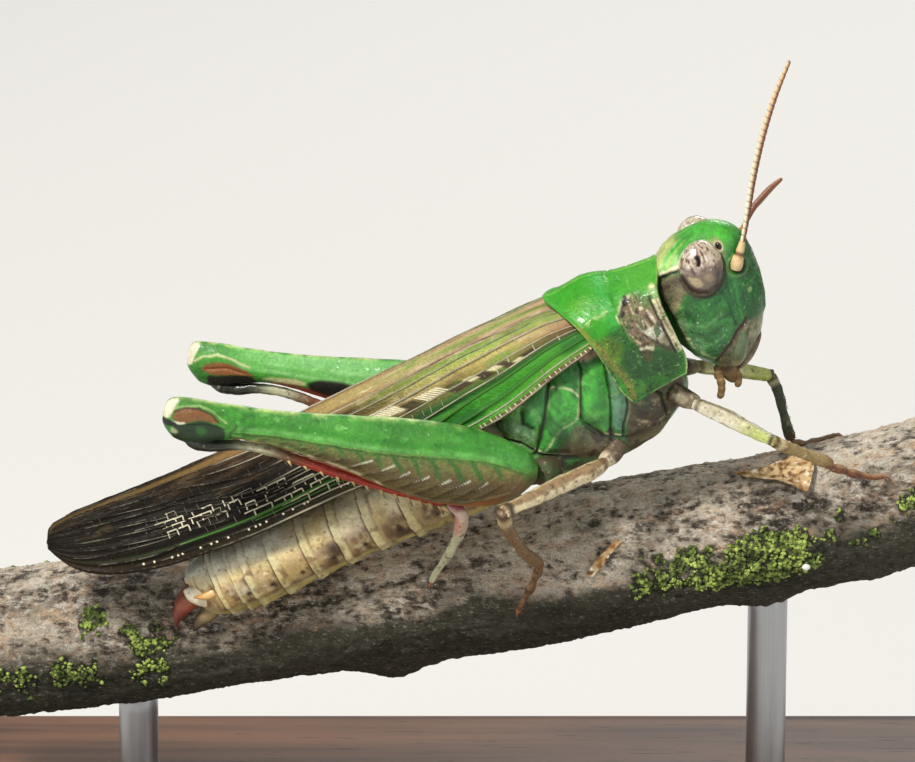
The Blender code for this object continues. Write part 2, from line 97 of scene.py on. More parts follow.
def evenly(rows, count):
    # rows smoothed and spread at equal steps along their own line
    rows = np.array(rows, float)
    fine = np.linspace(rows[0, 0], rows[-1, 0], 3000)
    full = np.column_stack([fine, follow(rows, fine)])
    run = np.concatenate([[0], np.cumsum(np.linalg.norm(np.diff(full, axis=0), axis=1))])
    want = np.linspace(0, run[-1], count)
    return np.column_stack([np.interp(want, run, full[:, k]) for k in range(full.shape[1])])


def cloud(points, size, seed=0, octaves=1):
    # soft random heights between -1 and 1, with lumps about that size
    points = np.asarray(points, float)
    total, weight = np.zeros(points.shape[:-1]), 0.0
    for k in range(octaves):
        p = points / size * 2**k + 17.3 * k + 91.7
        cell = np.floor(p).astype(np.int64)
        f = p - cell
        f = f * f * (3 - 2 * f)
        value = 0
        for corner in range(8):
            d = np.array([corner & 1, corner >> 1 & 1, corner >> 2 & 1])
            c = cell + d
            h = np.bitwise_xor.reduce(c * (73856093, 19349663, 83492791), axis=-1) ^ ((seed + k * 7 + 1) * 2654435761)
            h = ((h ^ (h >> 13)) * 1274126177) & 0x7FFFFFFF
            h = (h ^ (h >> 15)) & 0xFFFF
            value = value + (h / 32767.5 - 1) * np.prod(np.where(d, f, 1 - f), axis=-1)
        total += value * 0.5**k
        weight += 0.5**k
    return total / weight


def offLine(a, b, path):
    # distance in a plane from points (a, b) to a bent line
    best = np.full(np.shape(a), 1e9)
    for (a0, b0), (a1, b1) in zip(path[:-1], path[1:]):
        da, db = a1 - a0, b1 - b0
        t = np.clip(((a - a0) * da + (b - b0) * db) / (da * da + db * db + 1e-12), 0, 1)
        best = np.minimum(best, np.hypot(a - a0 - t * da, b - b0 - t * db))
    return best


def rounded(path, loop=False, times=1):
    # the same bent line or outline with its corners cut off
    for _ in range(times):
        cut = [] if loop else [path[0]]
        for (a0, b0), (a1, b1) in zip(path, list(path[1:]) + ([path[0]] if loop else [])):
            cut += [(0.75 * a0 + 0.25 * a1, 0.75 * b0 + 0.25 * b1), (0.25 * a0 + 0.75 * a1, 0.25 * b0 + 0.75 * b1)]
        path = cut + ([] if loop else [path[-1]])
    return path


def stroke(a, b, path, half, soft=0.03):
    return 1 - rise(half - soft, half + soft, offLine(a, b, rounded(path)))


def patch(a, b, corners, soft=0.05):
    corners = rounded(corners, True, 1 if len(corners) < 6 else 2)
    inside = np.zeros(np.shape(a), bool)
    for (a0, b0), (a1, b1) in zip(corners, corners[1:] + corners[:1]):
        if b0 == b1:
            continue
        crosses = (b0 > b) != (b1 > b)
        inside ^= crosses & (a < (a1 - a0) * (b - b0) / (b1 - b0) + a0)
    away = offLine(a, b, corners + corners[:1])
    return rise(-soft, soft, np.where(inside, away, -away))


# colours, given as display values up to 255

def linear(colour):
    c = np.asarray(colour, float) / 255
    return np.where(c <= 0.04045, c / 12.92, ((np.maximum(c, 0) + 0.055) / 1.055) ** 2.4)


def plain(shape, colour):
    return np.ones((*shape, 3)) * np.array(colour, float)


class Coat:
    # colours laid over each other at the points of one surface
    def __init__(self, tint):
        self.tint = tint

    def __call__(self, colour, amount):
        self.tint = self.tint + (np.array(colour, float) - self.tint) * np.clip(amount, 0, 1)[..., None]
        return self.tint

    def shade(self, amount):
        self.tint = self.tint * amount[..., None]

    def specks(self, points, size, seed, colour, share, amount, mask=1.0):
        # small irregular spots over about that share of the surface
        limit = 0.62 - 0.9 * share
        self(colour, rise(limit - 0.08, limit + 0.08, cloud(points, size, seed, 3)) * amount * mask)

    def marks(self, a, b, marks, mask=1.0):
        # ("line", colour, path, half width, softness, amount) or ("area", colour, corners, softness, amount)
        uneven = 1 + 0.55 * cloud(np.stack([a, b, a * 0], -1), 0.35, 77, 2)
        for kind, colour, path, *rest in marks:
            if kind == "line":
                cover = 1 - rise(rest[0] - rest[1], rest[0] + rest[1], offLine(a, b, path) * uneven)
            else:
                cover = patch(a, b, path, rest[0])
            self(colour, cover * rest[-1] * mask)


# meshes

def store(mesh, key, value):
    value = np.asarray(value, float)
    if key == "tint":
        kind, field, value = "FLOAT_COLOR", "color", np.column_stack([linear(value), np.ones(len(value))])
    elif value.ndim == 2:
        kind, field = "FLOAT_VECTOR", "vector"
    else:
        kind, field = "FLOAT", "value"
    mesh.attributes.new(key, kind, "POINT").data.foreach_set(field, value.astype(np.float32).ravel())


def meshOf(solids, posed=True):
    # one mesh from solids, each its points, its arrays of equal-sided faces and its values at every point
    points = np.concatenate([solid[0] for solid in solids])
    points = toWorld(points) if posed else points * mm
    faces, at = [], 0
    for solid in solids:
        faces += [f + at for f in solid[1]]
        at += len(solid[0])
    mesh = bpy.data.meshes.new("skin")
    mesh.vertices.add(len(points))
    mesh.vertices.foreach_set("co", points.astype(np.float32).ravel())
    corners = np.concatenate([f.ravel() for f in faces]).astype(np.int32)
    starts, at = [], 0
    for f in faces:
        starts.append(at + np.arange(len(f)) * f.shape[1])
        at += f.size
    mesh.loops.add(len(corners))
    mesh.loops.foreach_set("vertex_index", corners)
    mesh.polygons.add(sum(len(f) for f in faces))
    mesh.polygons.foreach_set("loop_start", np.concatenate(starts).astype(np.int32))
    mesh.update(calc_edges=True)
    for key in solids[0][2]:
        store(mesh, key, np.concatenate([solid[2][key] for solid in solids]))
    mesh.shade_smooth()
    return mesh


def piece(name, made, finish, nodes=(), posed=True):
    # made: a mesh, one solid or a list of solids
    if isinstance(made, tuple):
        made = [made]
    mesh = meshOf(made, posed) if isinstance(made, list) else made
    mesh.name = name
    if finish is not None:
        mesh.materials.clear()
        mesh.materials.append(finish)
    thing = bpy.data.objects.new(name, mesh)
    bpy.context.scene.collection.objects.link(thing)
    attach(thing, "root")
    if nodes:
        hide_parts(*nodes)


def facing(grid, closed=True, outward=None):
    # unit normals of a grid of points, away from each row's middle or along outward
    along = np.gradient(grid, axis=0)
    if closed:
        around = np.roll(grid, -1, axis=1) - np.roll(grid, 1, axis=1)
    else:
        around = np.gradient(grid, axis=1)
    n = np.cross(along, around)
    n /= np.linalg.norm(n, axis=2, keepdims=True) + 1e-12
    away = grid - grid.mean(axis=1, keepdims=True) if outward is None else np.broadcast_to(outward, grid.shape)
    middle = slice(len(grid) // 4, max(3 * len(grid) // 4, len(grid) // 4 + 1))
    return n if (n * away)[middle].sum() > 0 else -n


def volumeOf(points, faces):
    total = 0.0
    for f in faces:
        for k in range(1, f.shape[1] - 1):
            a, b, c = points[f[:, 0]], points[f[:, k]], points[f[:, k + 1]]
            total += np.einsum("ij,ij->i", a, np.cross(b, c)).sum()
    return total


def outwards(points, faces):
    # the faces turned round if they point inwards
    return [f[:, ::-1] for f in faces] if volumeOf(points - points.mean(axis=0), faces) < 0 else faces


def spread(values, shape):
    # every value as an array over the grid
    full = {"tint": (*shape, 3)}
    return {key: np.broadcast_to(np.asarray(value, float), full.get(key, shape)) for key, value in values.items()}


def closedSkin(grid, values):
    # rows of closed rings, with a pole at each end: points, faces and values
    rows, around = grid.shape[:2]
    points = np.concatenate([grid.reshape(-1, 3), grid[:1].mean(axis=1), grid[-1:].mean(axis=1)])
    index = np.arange(rows * around).reshape(rows, around)
    beside = np.roll(index, -1, axis=1)
    quads = np.stack([index[:-1], beside[:-1], beside[1:], index[1:]], -1).reshape(-1, 4)
    first = np.column_stack([beside[0], index[0], np.full(around, rows * around)])
    last = np.column_stack([index[-1], beside[-1], np.full(around, rows * around + 1)])
    flat = {}
    for key, value in spread(values, (rows, around)).items():
        ends = value[:1].mean(axis=1), value[-1:].mean(axis=1)
        flat[key] = np.concatenate([value.reshape(rows * around, *value.shape[2:]), *ends])
    return points, outwards(points, [quads, first, last]), flat


def sheetSkin(grid, normals, thick, values):
    # an open sheet given a wall on its inner side, closed round its rim
    rows, across = grid.shape[:2]
    points = np.concatenate([grid.reshape(-1, 3), (grid - normals * thick).reshape(-1, 3)])
    index = np.arange(rows * across).reshape(rows, across)
    outer = np.stack([index[:-1, :-1], index[:-1, 1:], index[1:, 1:], index[1:, :-1]], -1).reshape(-1, 4)
    inner = outer[:, ::-1] + rows * across
    rim = np.concatenate([index[0], index[1:, -1], index[-1, -2::-1], index[-2:0:-1, 0]])
    after = np.roll(rim, -1)
    side = np.column_stack([after, rim, rim + rows * across, after + rows * across])
    flat = {key: np.concatenate([value.reshape(rows * across, *value.shape[2:])] * 2)
            for key, value in spread(values, (rows, across)).items()}
    return points, outwards(points, [outer, inner, side]), flat


def spine(rows, count, lead):
    # a smooth line through x, y, z, radius rows: middles, radii, lengths and two directions across it
    rows = np.array(rows, float)
    run = np.concatenate([[0], np.cumsum(np.linalg.norm(np.diff(rows[:, :3], axis=0), axis=1))])
    u = np.linspace(0, 1, count)
    at = run[-1] * (0.55 * u + 0.45 * (0.5 - 0.5 * np.cos(math.pi * u)))
    full = follow(np.column_stack([run, rows]), at, free=True)
    middle, radius = full[:, :3], full[:, 3]
    ahead = np.gradient(middle, at, axis=0)
    ahead /= np.linalg.norm(ahead, axis=1, keepdims=True)
    lead = np.broadcast_to(np.array(lead, float), middle.shape)
    side = lead - ahead * np.sum(lead * ahead, axis=1, keepdims=True)
    side /= np.linalg.norm(side, axis=1, keepdims=True)
    return middle, radius, at, side, np.cross(ahead, side), ahead


def limb(rows, count, around, lead, cap=0.8):
    # a round-ended limb's grid, with the share of its length and the turn at each point
    middle, radius, at, side, up, _ = spine(rows, count, lead)
    s, a = np.meshgrid(at, circle(around), indexing="ij")
    total = at[-1]
    near = np.minimum(s, total - s) / (cap * radius[:, None])
    r = radius[:, None] * np.sqrt(np.clip(1 - (1 - np.clip(near, 0.004, 1)) ** 2, 0, 1))
    grid = middle[:, None] + r[..., None] * (np.cos(a)[..., None] * side[:, None] + np.sin(a)[..., None] * up[:, None])
    return grid, s / total, a


# node trees for materials and for Geometry Nodes

class Nodes:
    def __init__(self, tree):
        self.tree = tree
        self.count = 0

    def add(self, kind, inputs=None, **settings):
        node = self.tree.nodes.new(kind)
        node.location = (self.count % 9 * 190, -(self.count // 9) * 260)
        self.count += 1
        for key, value in settings.items():
            setattr(node, key, value)
        for key, value in (inputs or {}).items():
            socket = node.inputs[key]
            value = getattr(value, "socket", value)
            if isinstance(value, bpy.types.NodeSocket):
                self.tree.links.new(value, socket)
            else:
                socket.default_value = value
        return node


class Sum:
    # one number in a material; sums on it add Math nodes
    def __init__(self, maker, socket):
        self.maker, self.socket = maker, socket

    def math(self, operation, other=None, swapped=False, clamp=False):
        values = [self.socket] if other is None else [self.socket, getattr(other, "socket", other)]
        if swapped:
            values.reverse()
        node = self.maker.add("ShaderNodeMath", dict(enumerate(values)), operation=operation, use_clamp=clamp)
        return Sum(self.maker, node.outputs[0])

    def __add__(self, other):
        return self.math("ADD", other)

    def __radd__(self, other):
        return self.math("ADD", other, True)

    def __sub__(self, other):
        return self.math("SUBTRACT", other)

    def __rsub__(self, other):
        return self.math("SUBTRACT", other, True)

    def __mul__(self, other):
        return self.math("MULTIPLY", other)

    def __rmul__(self, other):
        return self.math("MULTIPLY", other, True)

    def clamped(self):
        return self.math("ADD", 0.0, clamp=True)

    def between(self, low, high):
        node = self.maker.add("ShaderNodeMapRange", {"Value": self, "From Min": low, "From Max": high},
            interpolation_type="SMOOTHSTEP")
        return Sum(self.maker, node.outputs[0])


class Finish(Nodes):
    # a material: its shader, a few patterns measured in millimetres, and what it is made with
    def __init__(self, name):
        self.material = bpy.data.materials.new(name)
        self.material.use_nodes = True
        super().__init__(self.material.node_tree)
        self.tree.nodes.clear()
        self.shader = self.add("ShaderNodeBsdfPrincipled")
        out = self.add("ShaderNodeOutputMaterial")
        self.tree.links.new(self.shader.outputs[0], out.inputs["Surface"])
        self.place = None

    def here(self, stretch=(1, 1, 1)):
        if self.place is None:
            self.place = self.add("ShaderNodeTexCoord").outputs["Object"]
        scale = tuple(s / mm for s in stretch)
        return self.add("ShaderNodeMapping", {"Vector": self.place, "Scale": scale}).outputs[0]

    def painted(self, name, kind="Fac"):
        node = self.add("ShaderNodeAttribute", attribute_name=name)
        return Sum(self, node.outputs["Fac"]) if kind == "Fac" else node.outputs[kind]

    def noise(self, size, detail=2.0, rough=0.5, where=None, warp=0.0):
        node = self.add("ShaderNodeTexNoise", {
            "Vector": where or self.here(), "Scale": 1 / size, "Detail": detail, "Roughness": rough,
            "Distortion": warp})
        return Sum(self, node.outputs["Fac"])

    def cells(self, size, feature="F1", where=None, uneven=1.0):
        node = self.add("ShaderNodeTexVoronoi", {
            "Vector": where or self.here(), "Scale": 1 / size, "Randomness": uneven}, feature=feature)
        return Sum(self, node.outputs["Distance"])

    def mix(self, factor, first, second):
        node = self.add("ShaderNodeMix", data_type="RGBA")
        for key, value in ((0, factor), (6, first), (7, second)):
            value = getattr(value, "socket", value)
            if isinstance(value, bpy.types.NodeSocket):
                self.tree.links.new(value, node.inputs[key])
            elif key == 0:
                node.inputs[key].default_value = value
            else:
                node.inputs[key].default_value = (*linear(value), 1.0)
        return node.outputs[2]

    def shade(self, colour, amount):
        # a colour made lighter or darker by a number
        node = self.add("ShaderNodeVectorMath", {0: colour, "Scale": amount}, operation="SCALE")
        return node.outputs[0]

    def bump(self, height, depth, strength=1.0, under=None):
        inputs = {"Height": height, "Distance": depth * mm, "Strength": strength}
        if under is not None:
            inputs["Normal"] = under
        return self.add("ShaderNodeBump", inputs).outputs[0]

    def done(self, colour, rough, normal=None, **constants):
        for key, value in (("Base Color", colour), ("Roughness", rough), ("Normal", normal)):
            value = getattr(value, "socket", value)
            if isinstance(value, bpy.types.NodeSocket):
                self.tree.links.new(value, self.shader.inputs[key])
            elif value is not None:
                self.shader.inputs[key].default_value = value
        for key, value in constants.items():
            self.shader.inputs[key.replace("_", " ")].default_value = value
        return self.material


# finishes

def shellFinish(name, pit=0.12, pitDepth=0.014, pitShade=0.3, mottle=0.5, mottleAmount=0.5,
                roughness=0.36, coat=0.22, grain=0.05, glow=0.0):
    # horny cuticle: painted colour broken by blotches, small pits painted darker as shade, and a thin shine
    m = Finish(name)
    tint = m.painted("tint", "Color")
    blotch = m.noise(mottle, 4, 0.62)
    fine = m.noise(grain, 3, 0.6)
    crumb = m.noise(0.14, 3, 0.7)
    pitted = m.painted("pitted")
    hollow = (1 - m.cells(pit, "SMOOTH_F1").between(0.1, 0.46)) * pitted
    rugged = (crumb - 0.5) * (pitted * 0.7 + 0.3)
    # random blotches of tone, times the pits painted darker by pitShade as painted shade
    worn = (1 - mottleAmount / 2 + blotch * mottleAmount) * (1 - hollow * pitShade)
    colour = m.shade(tint, worn * (1 + rugged * 1.3))
    rough = (m.painted("dull") * 0.32 + fine * 0.16 + (roughness - 0.08) + hollow * 0.12).clamped()
    soft = m.bump(fine, 0.006, 0.6)
    under = m.bump(rugged, 0.07, 0.8, m.bump(blotch, 0.03, 0.4, soft))
    normal = m.bump(1 - hollow, pitDepth, 1.0, under)
    return m.done(colour, rough, normal,
                  Coat_Weight=coat, Coat_Roughness=0.12, Specular_IOR_Level=0.5,
                  Subsurface_Weight=glow, Subsurface_Radius=(0.3, 0.5, 0.15), Subsurface_Scale=0.0004)


def eyeFinish():
    m = Finish("eyeLens")
    tint = m.painted("tint", "Color")
    facet = m.cells(0.034, "F1", uneven=0.25)
    mist = m.noise(0.16, 4, 0.7)
    colour = m.shade(tint, 0.6 + mist * 0.66)
    normal = m.bump(1 - facet, 0.004, 0.5)
    rough = (mist * 0.12 + 0.2).clamped()
    return m.done(colour, rough, normal,
                  Coat_Weight=0.45, Coat_Roughness=0.1)


def wingFinish(name, net=0.16, dry=0.46):
    # leathery membrane with a fine net of small veins drawn along the wing
    m = Finish(name)
    tint = m.painted("tint", "Color")
    along = m.here((0.45, 1, 1))
    edge = m.cells(net, "DISTANCE_TO_EDGE", along)
    vein = 1 - edge.between(0.02, 0.12)
    haze = m.noise(0.7, 5, 0.65)
    fine = m.noise(0.06, 3, 0.6)
    netted = m.painted("netted")
    colour = m.shade(tint, (0.8 + haze * 0.34) * (1 + (vein - 0.35) * 0.35 * netted) * (0.9 + fine * 0.2))
    rough = (fine * 0.2 + dry + vein * 0.06).clamped()
    normal = m.bump(vein * netted, 0.014, 0.8, m.bump(fine, 0.006, 0.5))
    return m.done(colour, rough, normal, Coat_Weight=0.02, Coat_Roughness=0.4, Specular_IOR_Level=0.16)


def veinFinish():
    # raised wing veins: cream in some runs, smoky in others
    m = Finish("wingVein")
    tone = m.painted("tone")
    worn = m.noise(0.18, 3, 0.6)
    colour = m.mix((tone * 1.1 + (worn - 0.5) * 0.5).clamped(), (28, 21, 14), (236, 228, 200))
    green = m.mix(m.painted("fresh"), colour, (66, 116, 44))
    return m.done(green, (worn * 0.2 + 0.42).clamped(), m.bump(worn, 0.004, 0.6), Specular_IOR_Level=0.2)


def hornFinish(name, pale, dark, roughness=0.3):
    # claws and spines: pale at the root and dark towards the point, by the along attribute
    m = Finish(name)
    streak = m.noise(0.09, 3, 0.6)
    colour = m.mix((m.painted("along") * 1.6 - 0.35 + (streak - 0.5) * 0.4).clamped(), pale, dark)
    return m.done(colour, (streak * 0.2 + roughness - 0.1).clamped(), m.bump(streak, 0.004, 0.6),
        Coat_Weight=0.3, Coat_Roughness=0.15)


def antennaFinish():
    m = Finish("antennaRings")
    along = m.painted("along")
    ring = m.painted("ring")
    grain = m.noise(0.07, 3, 0.6)
    turn = m.painted("turn")
    pale = m.mix((along * 1.5 - 0.35).clamped(), (250, 240, 212), (236, 208, 166))
    brown = m.mix((along * 1.2).clamped(), (112, 62, 26), (150, 86, 42))
    # painted light and shade: pale on the side facing back as lit, brown on the side facing forward as shaded
    litAndShadedSides = m.mix(((turn - 0.5) * 2.2 + 0.5 + (grain - 0.5) * 0.6).clamped(), pale, brown)
    colour = m.shade(litAndShadedSides, (1 - (1 - ring) * 0.55) * (0.7 + grain * 0.6))
    return m.done(colour, (grain * 0.2 + 0.38).clamped(), m.bump(grain, 0.005, 0.7),
                  Coat_Weight=0.15, Coat_Roughness=0.25)


def barkFinish():
    # crusty bark: warm grey crumbs with dark pits and cracks, pale crust, lichen, algae and moss; the hollows, the
    # lower side and the bed under the moss also painted darker as shade, and pale flecks painted as highlights
    m = Finish("barkSkin")
    long = m.here((0.6, 1, 1))
    broad = m.noise(3.0, 3, 0.55, long)
    lumps = m.noise(0.75, 5, 0.66, long)
    crumb = m.noise(0.26, 5, 0.74, m.here((0.45, 1, 1)))
    fine = m.noise(0.07, 3, 0.65)
    pit = m.cells(0.22, "F1", long)
    height = m.painted("height")
    worn = m.mix(broad.between(0.42, 0.6), (176, 162, 143), (246, 231, 208))
    warm = m.mix(lumps.between(0.5, 0.64) * 0.55, worn, (216, 168, 128))
    pale = m.mix(crumb.between(0.5, 0.64) * 0.85, warm, (250, 242, 228))
    # darker where the crust lies low: its own dark crust together with painted shade in the hollows
    low = 1 - (crumb * 0.8 + height * 0.34 + broad * 0.3 - pit * 0.12).between(0.5, 0.7)
    dark = m.mix(low * 0.95, pale, (56, 49, 41))
    cracks = m.mix((1 - lumps.between(0.35, 0.42)) * 0.7, dark, (42, 36, 29))
    # the lower side painted dark greenish: algae together with painted shade
    algae = m.mix((m.painted("algae") + (crumb - 0.5) * 1.4).between(0.15, 0.75) * 0.94, cracks, (46, 48, 32))
    lichen = m.noise(0.9, 5, 0.75).between(0.57, 0.66) * m.painted("lichen")
    greyer = m.mix(lichen * 0.85, algae, (226, 221, 204))
    moss = (m.painted("moss") + (crumb - 0.5) * 1.2).between(0.2, 0.55)
    # a dark bed under the moss: its own dark layer together with painted shade between the grains
    grown = m.mix(moss * 0.9, greyer, (34, 38, 20))
    # painted highlights: near-white flecks, fewer on the lower side
    highlightFleck = m.noise(0.11, 4, 0.78, m.here((0.5, 1, 1))).between(0.55, 0.66) * (1 - m.painted("algae") * 0.6)
    lit = m.mix(highlightFleck * 0.72, grown, (252, 246, 235))
    colour = m.shade(lit, 0.45 + fine * 1.1)
    rough = (fine * 0.2 + 0.66).clamped()
    under = m.bump(lumps * 0.6 + crumb + highlightFleck * 0.3, 0.44, 1.0)
    normal = m.bump((1 - pit) * 0.5 + fine * 0.5, 0.09, 1.0, under)
    return m.done(colour, rough, normal, Specular_IOR_Level=0.35)


def mossFinish():
    m = Finish("mossGrain")
    fresh = m.noise(0.6, 3, 0.6)
    grain = m.noise(0.05, 3, 0.7)
    clump = m.noise(0.2, 3, 0.6).between(0.38, 0.62)
    green = m.mix(fresh.between(0.38, 0.62), (84, 104, 38), (176, 198, 98))
    colour = m.shade(green, (0.16 + clump * 0.98) * (0.7 + grain * 0.6))
    return m.done(colour, (grain * 0.2 + 0.62).clamped(), m.bump(grain, 0.03, 0.9))


def cutWoodFinish():
    # the sawn ends of the branch: year rings round the pith, bark at the edge
    m = Finish("sawnEnd")
    ring = m.painted("ring")
    wave = m.noise(0.8, 3, 0.6)
    year = ((ring * 7 + wave * 0.8) * 6.2832).math("SINE") * 0.5 + 0.5
    grain = m.noise(0.05, 3, 0.7, m.here((1, 0.5, 0.5)))
    wood = m.mix(year * 0.55, (196, 164, 118), (158, 120, 78))
    pith = m.mix((1 - ring.between(0.06, 0.1)), wood, (120, 84, 52))
    rim = m.mix(ring.between(0.86, 0.91), pith, (84, 66, 50))
    colour = m.shade(rim, 0.85 + grain * 0.3)
    return m.done(colour, (grain * 0.2 + 0.6).clamped(), m.bump(year * 0.3 + grain, 0.03, 0.7))


def walnutFinish():
    m = Finish("baseWalnut")
    long = m.here((0.05, 1, 1))
    bend = m.noise(9.0, 3, 0.5, m.here((0.25, 1, 1)))
    bands = m.noise(1.4, 5, 0.6, long, warp=0.4)
    pore = m.noise(0.14, 3, 0.7, m.here((0.04, 1, 1)))
    grain = (bands * 0.7 + bend * 0.3).between(0.36, 0.64)
    wood = m.mix(grain, (64, 40, 26), (118, 80, 52))
    pores = pore.between(0.6, 0.7)
    colour = m.mix(pores * 0.7, wood, (34, 21, 14))
    rough = (pores * 0.25 + 0.3 + bands * 0.08).clamped()
    normal = m.bump(1 - pores, 0.02, 0.7, m.bump(bands, 0.03, 0.3))
    return m.done(colour, rough, normal, Coat_Weight=0.35, Coat_Roughness=0.2)


def steelFinish():
    m = Finish("rodSteel")
    brush = m.noise(0.05, 4, 0.7, m.here((1, 1, 0.02)))
    smudge = m.noise(2.4, 3, 0.6)
    colour = m.mix(brush, (150, 152, 156), (190, 191, 194))
    rough = (brush * 0.2 + smudge * 0.12 + 0.18).clamped()
    return m.done(colour, rough, m.bump(brush, 0.006, 0.4), Metallic=1.0)


shell = shellFinish("greenShell")
smoothShell = shellFinish("smoothShell", pit=0.09, pitDepth=0.008, pitShade=0.2, mottle=0.8, mottleAmount=0.45,
    roughness=0.33, coat=0.28)
paleShell = shellFinish("paleShell", pit=0.1, pitDepth=0.006, pitShade=0.15, mottle=0.45, mottleAmount=0.5,
    roughness=0.52, coat=0.04)
legShell = shellFinish("legShell", pit=0.08, pitDepth=0.008, pitShade=0.2, mottle=0.28, mottleAmount=0.55,
    roughness=0.42, coat=0.14)
eyeLens = eyeFinish()
wingSkin = wingFinish("wingSkin")
wingFold = wingFinish("wingFold", net=0.3, dry=0.4)
wingVein = veinFinish()
shinSpine = hornFinish("shinSpine", (222, 196, 140), (22, 16, 12))
clawHorn = hornFinish("clawHorn", (150, 96, 60), (46, 24, 14))
antennaRings = antennaFinish()
print("finishes made")


# Geometry Nodes trees

class Growth(Nodes):
    # one tree: named inputs, and an end that realizes what was scattered and gives it its finish
    def __init__(self, name, inputs):
        tree = bpy.data.node_groups.new(name, "GeometryNodeTree")
        tree.interface.new_socket("Geometry", in_out="INPUT", socket_type="NodeSocketGeometry")
        for label, value in inputs.items():
            kind = "NodeSocketInt" if isinstance(value, int) else "NodeSocketFloat"
            tree.interface.new_socket(label, in_out="INPUT", socket_type=kind).default_value = value
        tree.interface.new_socket("Finish", in_out="INPUT", socket_type="NodeSocketMaterial")
        tree.interface.new_socket("Geometry", in_out="OUTPUT", socket_type="NodeSocketGeometry")
        super().__init__(tree)
        self.given = self.add("NodeGroupInput").outputs

    def named(self, name, kind="FLOAT"):
        node = self.add("GeometryNodeInputNamedAttribute", {"Name": name}, data_type=kind)
        return node.outputs["Attribute"]

    def sum(self, operation, *values):
        return self.add("ShaderNodeMath", dict(enumerate(values)), operation=operation).outputs[0]

    def store(self, geometry, name, value):
        node = self.add("GeometryNodeStoreNamedAttribute", {"Geometry": geometry, "Name": name, "Value": value},
            data_type="FLOAT", domain="POINT")
        return node.outputs[0]

    def tube(self, line, radius):
        sized = self.add("GeometryNodeSetCurveRadius", {"Curve": line, "Radius": radius}).outputs[0]
        ring = self.add("GeometryNodeCurvePrimitiveCircle", {"Resolution": self.given["Sides"],
            "Radius": 1.0}).outputs[0]
        made = self.add("GeometryNodeCurveToMesh", {"Curve": sized, "Profile Curve": ring, "Fill Caps": True})
        if "Scale" in made.inputs:
            self.tree.links.new(self.add("GeometryNodeInputRadius").outputs[0], made.inputs["Scale"])
        return made.outputs[0]

    def close(self, geometry):
        real = self.add("GeometryNodeRealizeInstances", {"Geometry": geometry}).outputs[0]
        soft = self.add("GeometryNodeSetShadeSmooth", {"Geometry": real, "Shade Smooth": True}).outputs[0]
        painted = self.add("GeometryNodeSetMaterial", {"Geometry": soft, "Material": self.given["Finish"]}).outputs[0]
        self.add("NodeGroupOutput", {"Geometry": painted})
        return self.tree


def grown(tree, start, values, finish):
    # runs a tree on a mesh and gives back the plain mesh it makes
    seed = bpy.data.objects.new("growthSeed", start)
    bpy.context.scene.collection.objects.link(seed)
    modifier = seed.modifiers.new("growth", "NODES")
    modifier.node_group = tree
    for item in tree.interface.items_tree:
        if item.in_out == "INPUT" and item.name in values:
            modifier[item.identifier] = values[item.name]
        if item.in_out == "INPUT" and item.name == "Finish":
            modifier[item.identifier] = finish
    bpy.context.view_layer.update()
    graph = bpy.context.evaluated_depsgraph_get()
    mesh = bpy.data.meshes.new_from_object(seed.evaluated_get(graph))
    bpy.data.objects.remove(seed, do_unlink=True)
    return mesh


def spineTree():
    # a thin cone on every point, along its aim and as long as its size says
    g = Growth("spineGrowth", {"Sides": 7, "Root Width": 0.22})
    cone = g.add("GeometryNodeMeshCone", {
        "Vertices": g.given["Sides"], "Side Segments": 4, "Radius Top": 0.012,
        "Radius Bottom": g.given["Root Width"], "Depth": 1.0}, fill_type="NGON")
    height = g.add("ShaderNodeSeparateXYZ", {0: g.add("GeometryNodeInputPosition").outputs[0]}).outputs[2]
    marked = g.store(cone.outputs["Mesh"], "along", height)
    turn = g.add("FunctionNodeAlignRotationToVector", {"Vector": g.named("aim", "FLOAT_VECTOR")}, axis="Z").outputs[0]
    points = g.add("GeometryNodeMeshToPoints", {"Mesh": g.given["Geometry"]}).outputs[0]
    placed = g.add("GeometryNodeInstanceOnPoints", {
        "Points": points, "Instance": marked, "Rotation": turn, "Scale": g.named("size")}).outputs[0]
    return g.close(placed)


def scatterTree():
    # rounded grains over the faces of a mesh, thickest where its thick attribute is 1
    g = Growth("grainGrowth", {"Density": 1e7, "Size": 0.00008, "Size Spread": 0.00003, "Seed": 3})
    grain = g.add("GeometryNodeMeshIcoSphere", {"Radius": 1.0, "Subdivisions": 1}).outputs[0]
    amount = g.sum("MULTIPLY", g.named("thick"), g.given["Density"])
    spread = g.add("GeometryNodeDistributePointsOnFaces", {
        "Mesh": g.given["Geometry"], "Density": amount, "Seed": g.given["Seed"]}, distribute_method="RANDOM")
    least = g.sum("SUBTRACT", g.given["Size"], g.given["Size Spread"])
    most = g.sum("ADD", g.given["Size"], g.given["Size Spread"])
    chance = g.add("FunctionNodeRandomValue", {2: least, 3: most, "Seed": g.given["Seed"]},
        data_type="FLOAT").outputs[1]
    turn = g.add("FunctionNodeRandomValue", {1: (6.28, 6.28, 6.28), "Seed": g.given["Seed"]},
        data_type="FLOAT_VECTOR").outputs[0]
    placed = g.add("GeometryNodeInstanceOnPoints", {
        "Points": spread.outputs["Points"], "Instance": grain, "Rotation": turn, "Scale": chance}).outputs[0]
    return g.close(placed)


def veinTree():
    # every edge of a mesh made a thin closed tube, as wide as its size attribute
    g = Growth("veinGrowth", {"Sides": 5, "Width": 0.00002})
    line = g.add("GeometryNodeMeshToCurve", {"Mesh": g.given["Geometry"]}).outputs[0]
    return g.close(g.tube(line, g.sum("MULTIPLY", g.named("size"), g.given["Width"])))


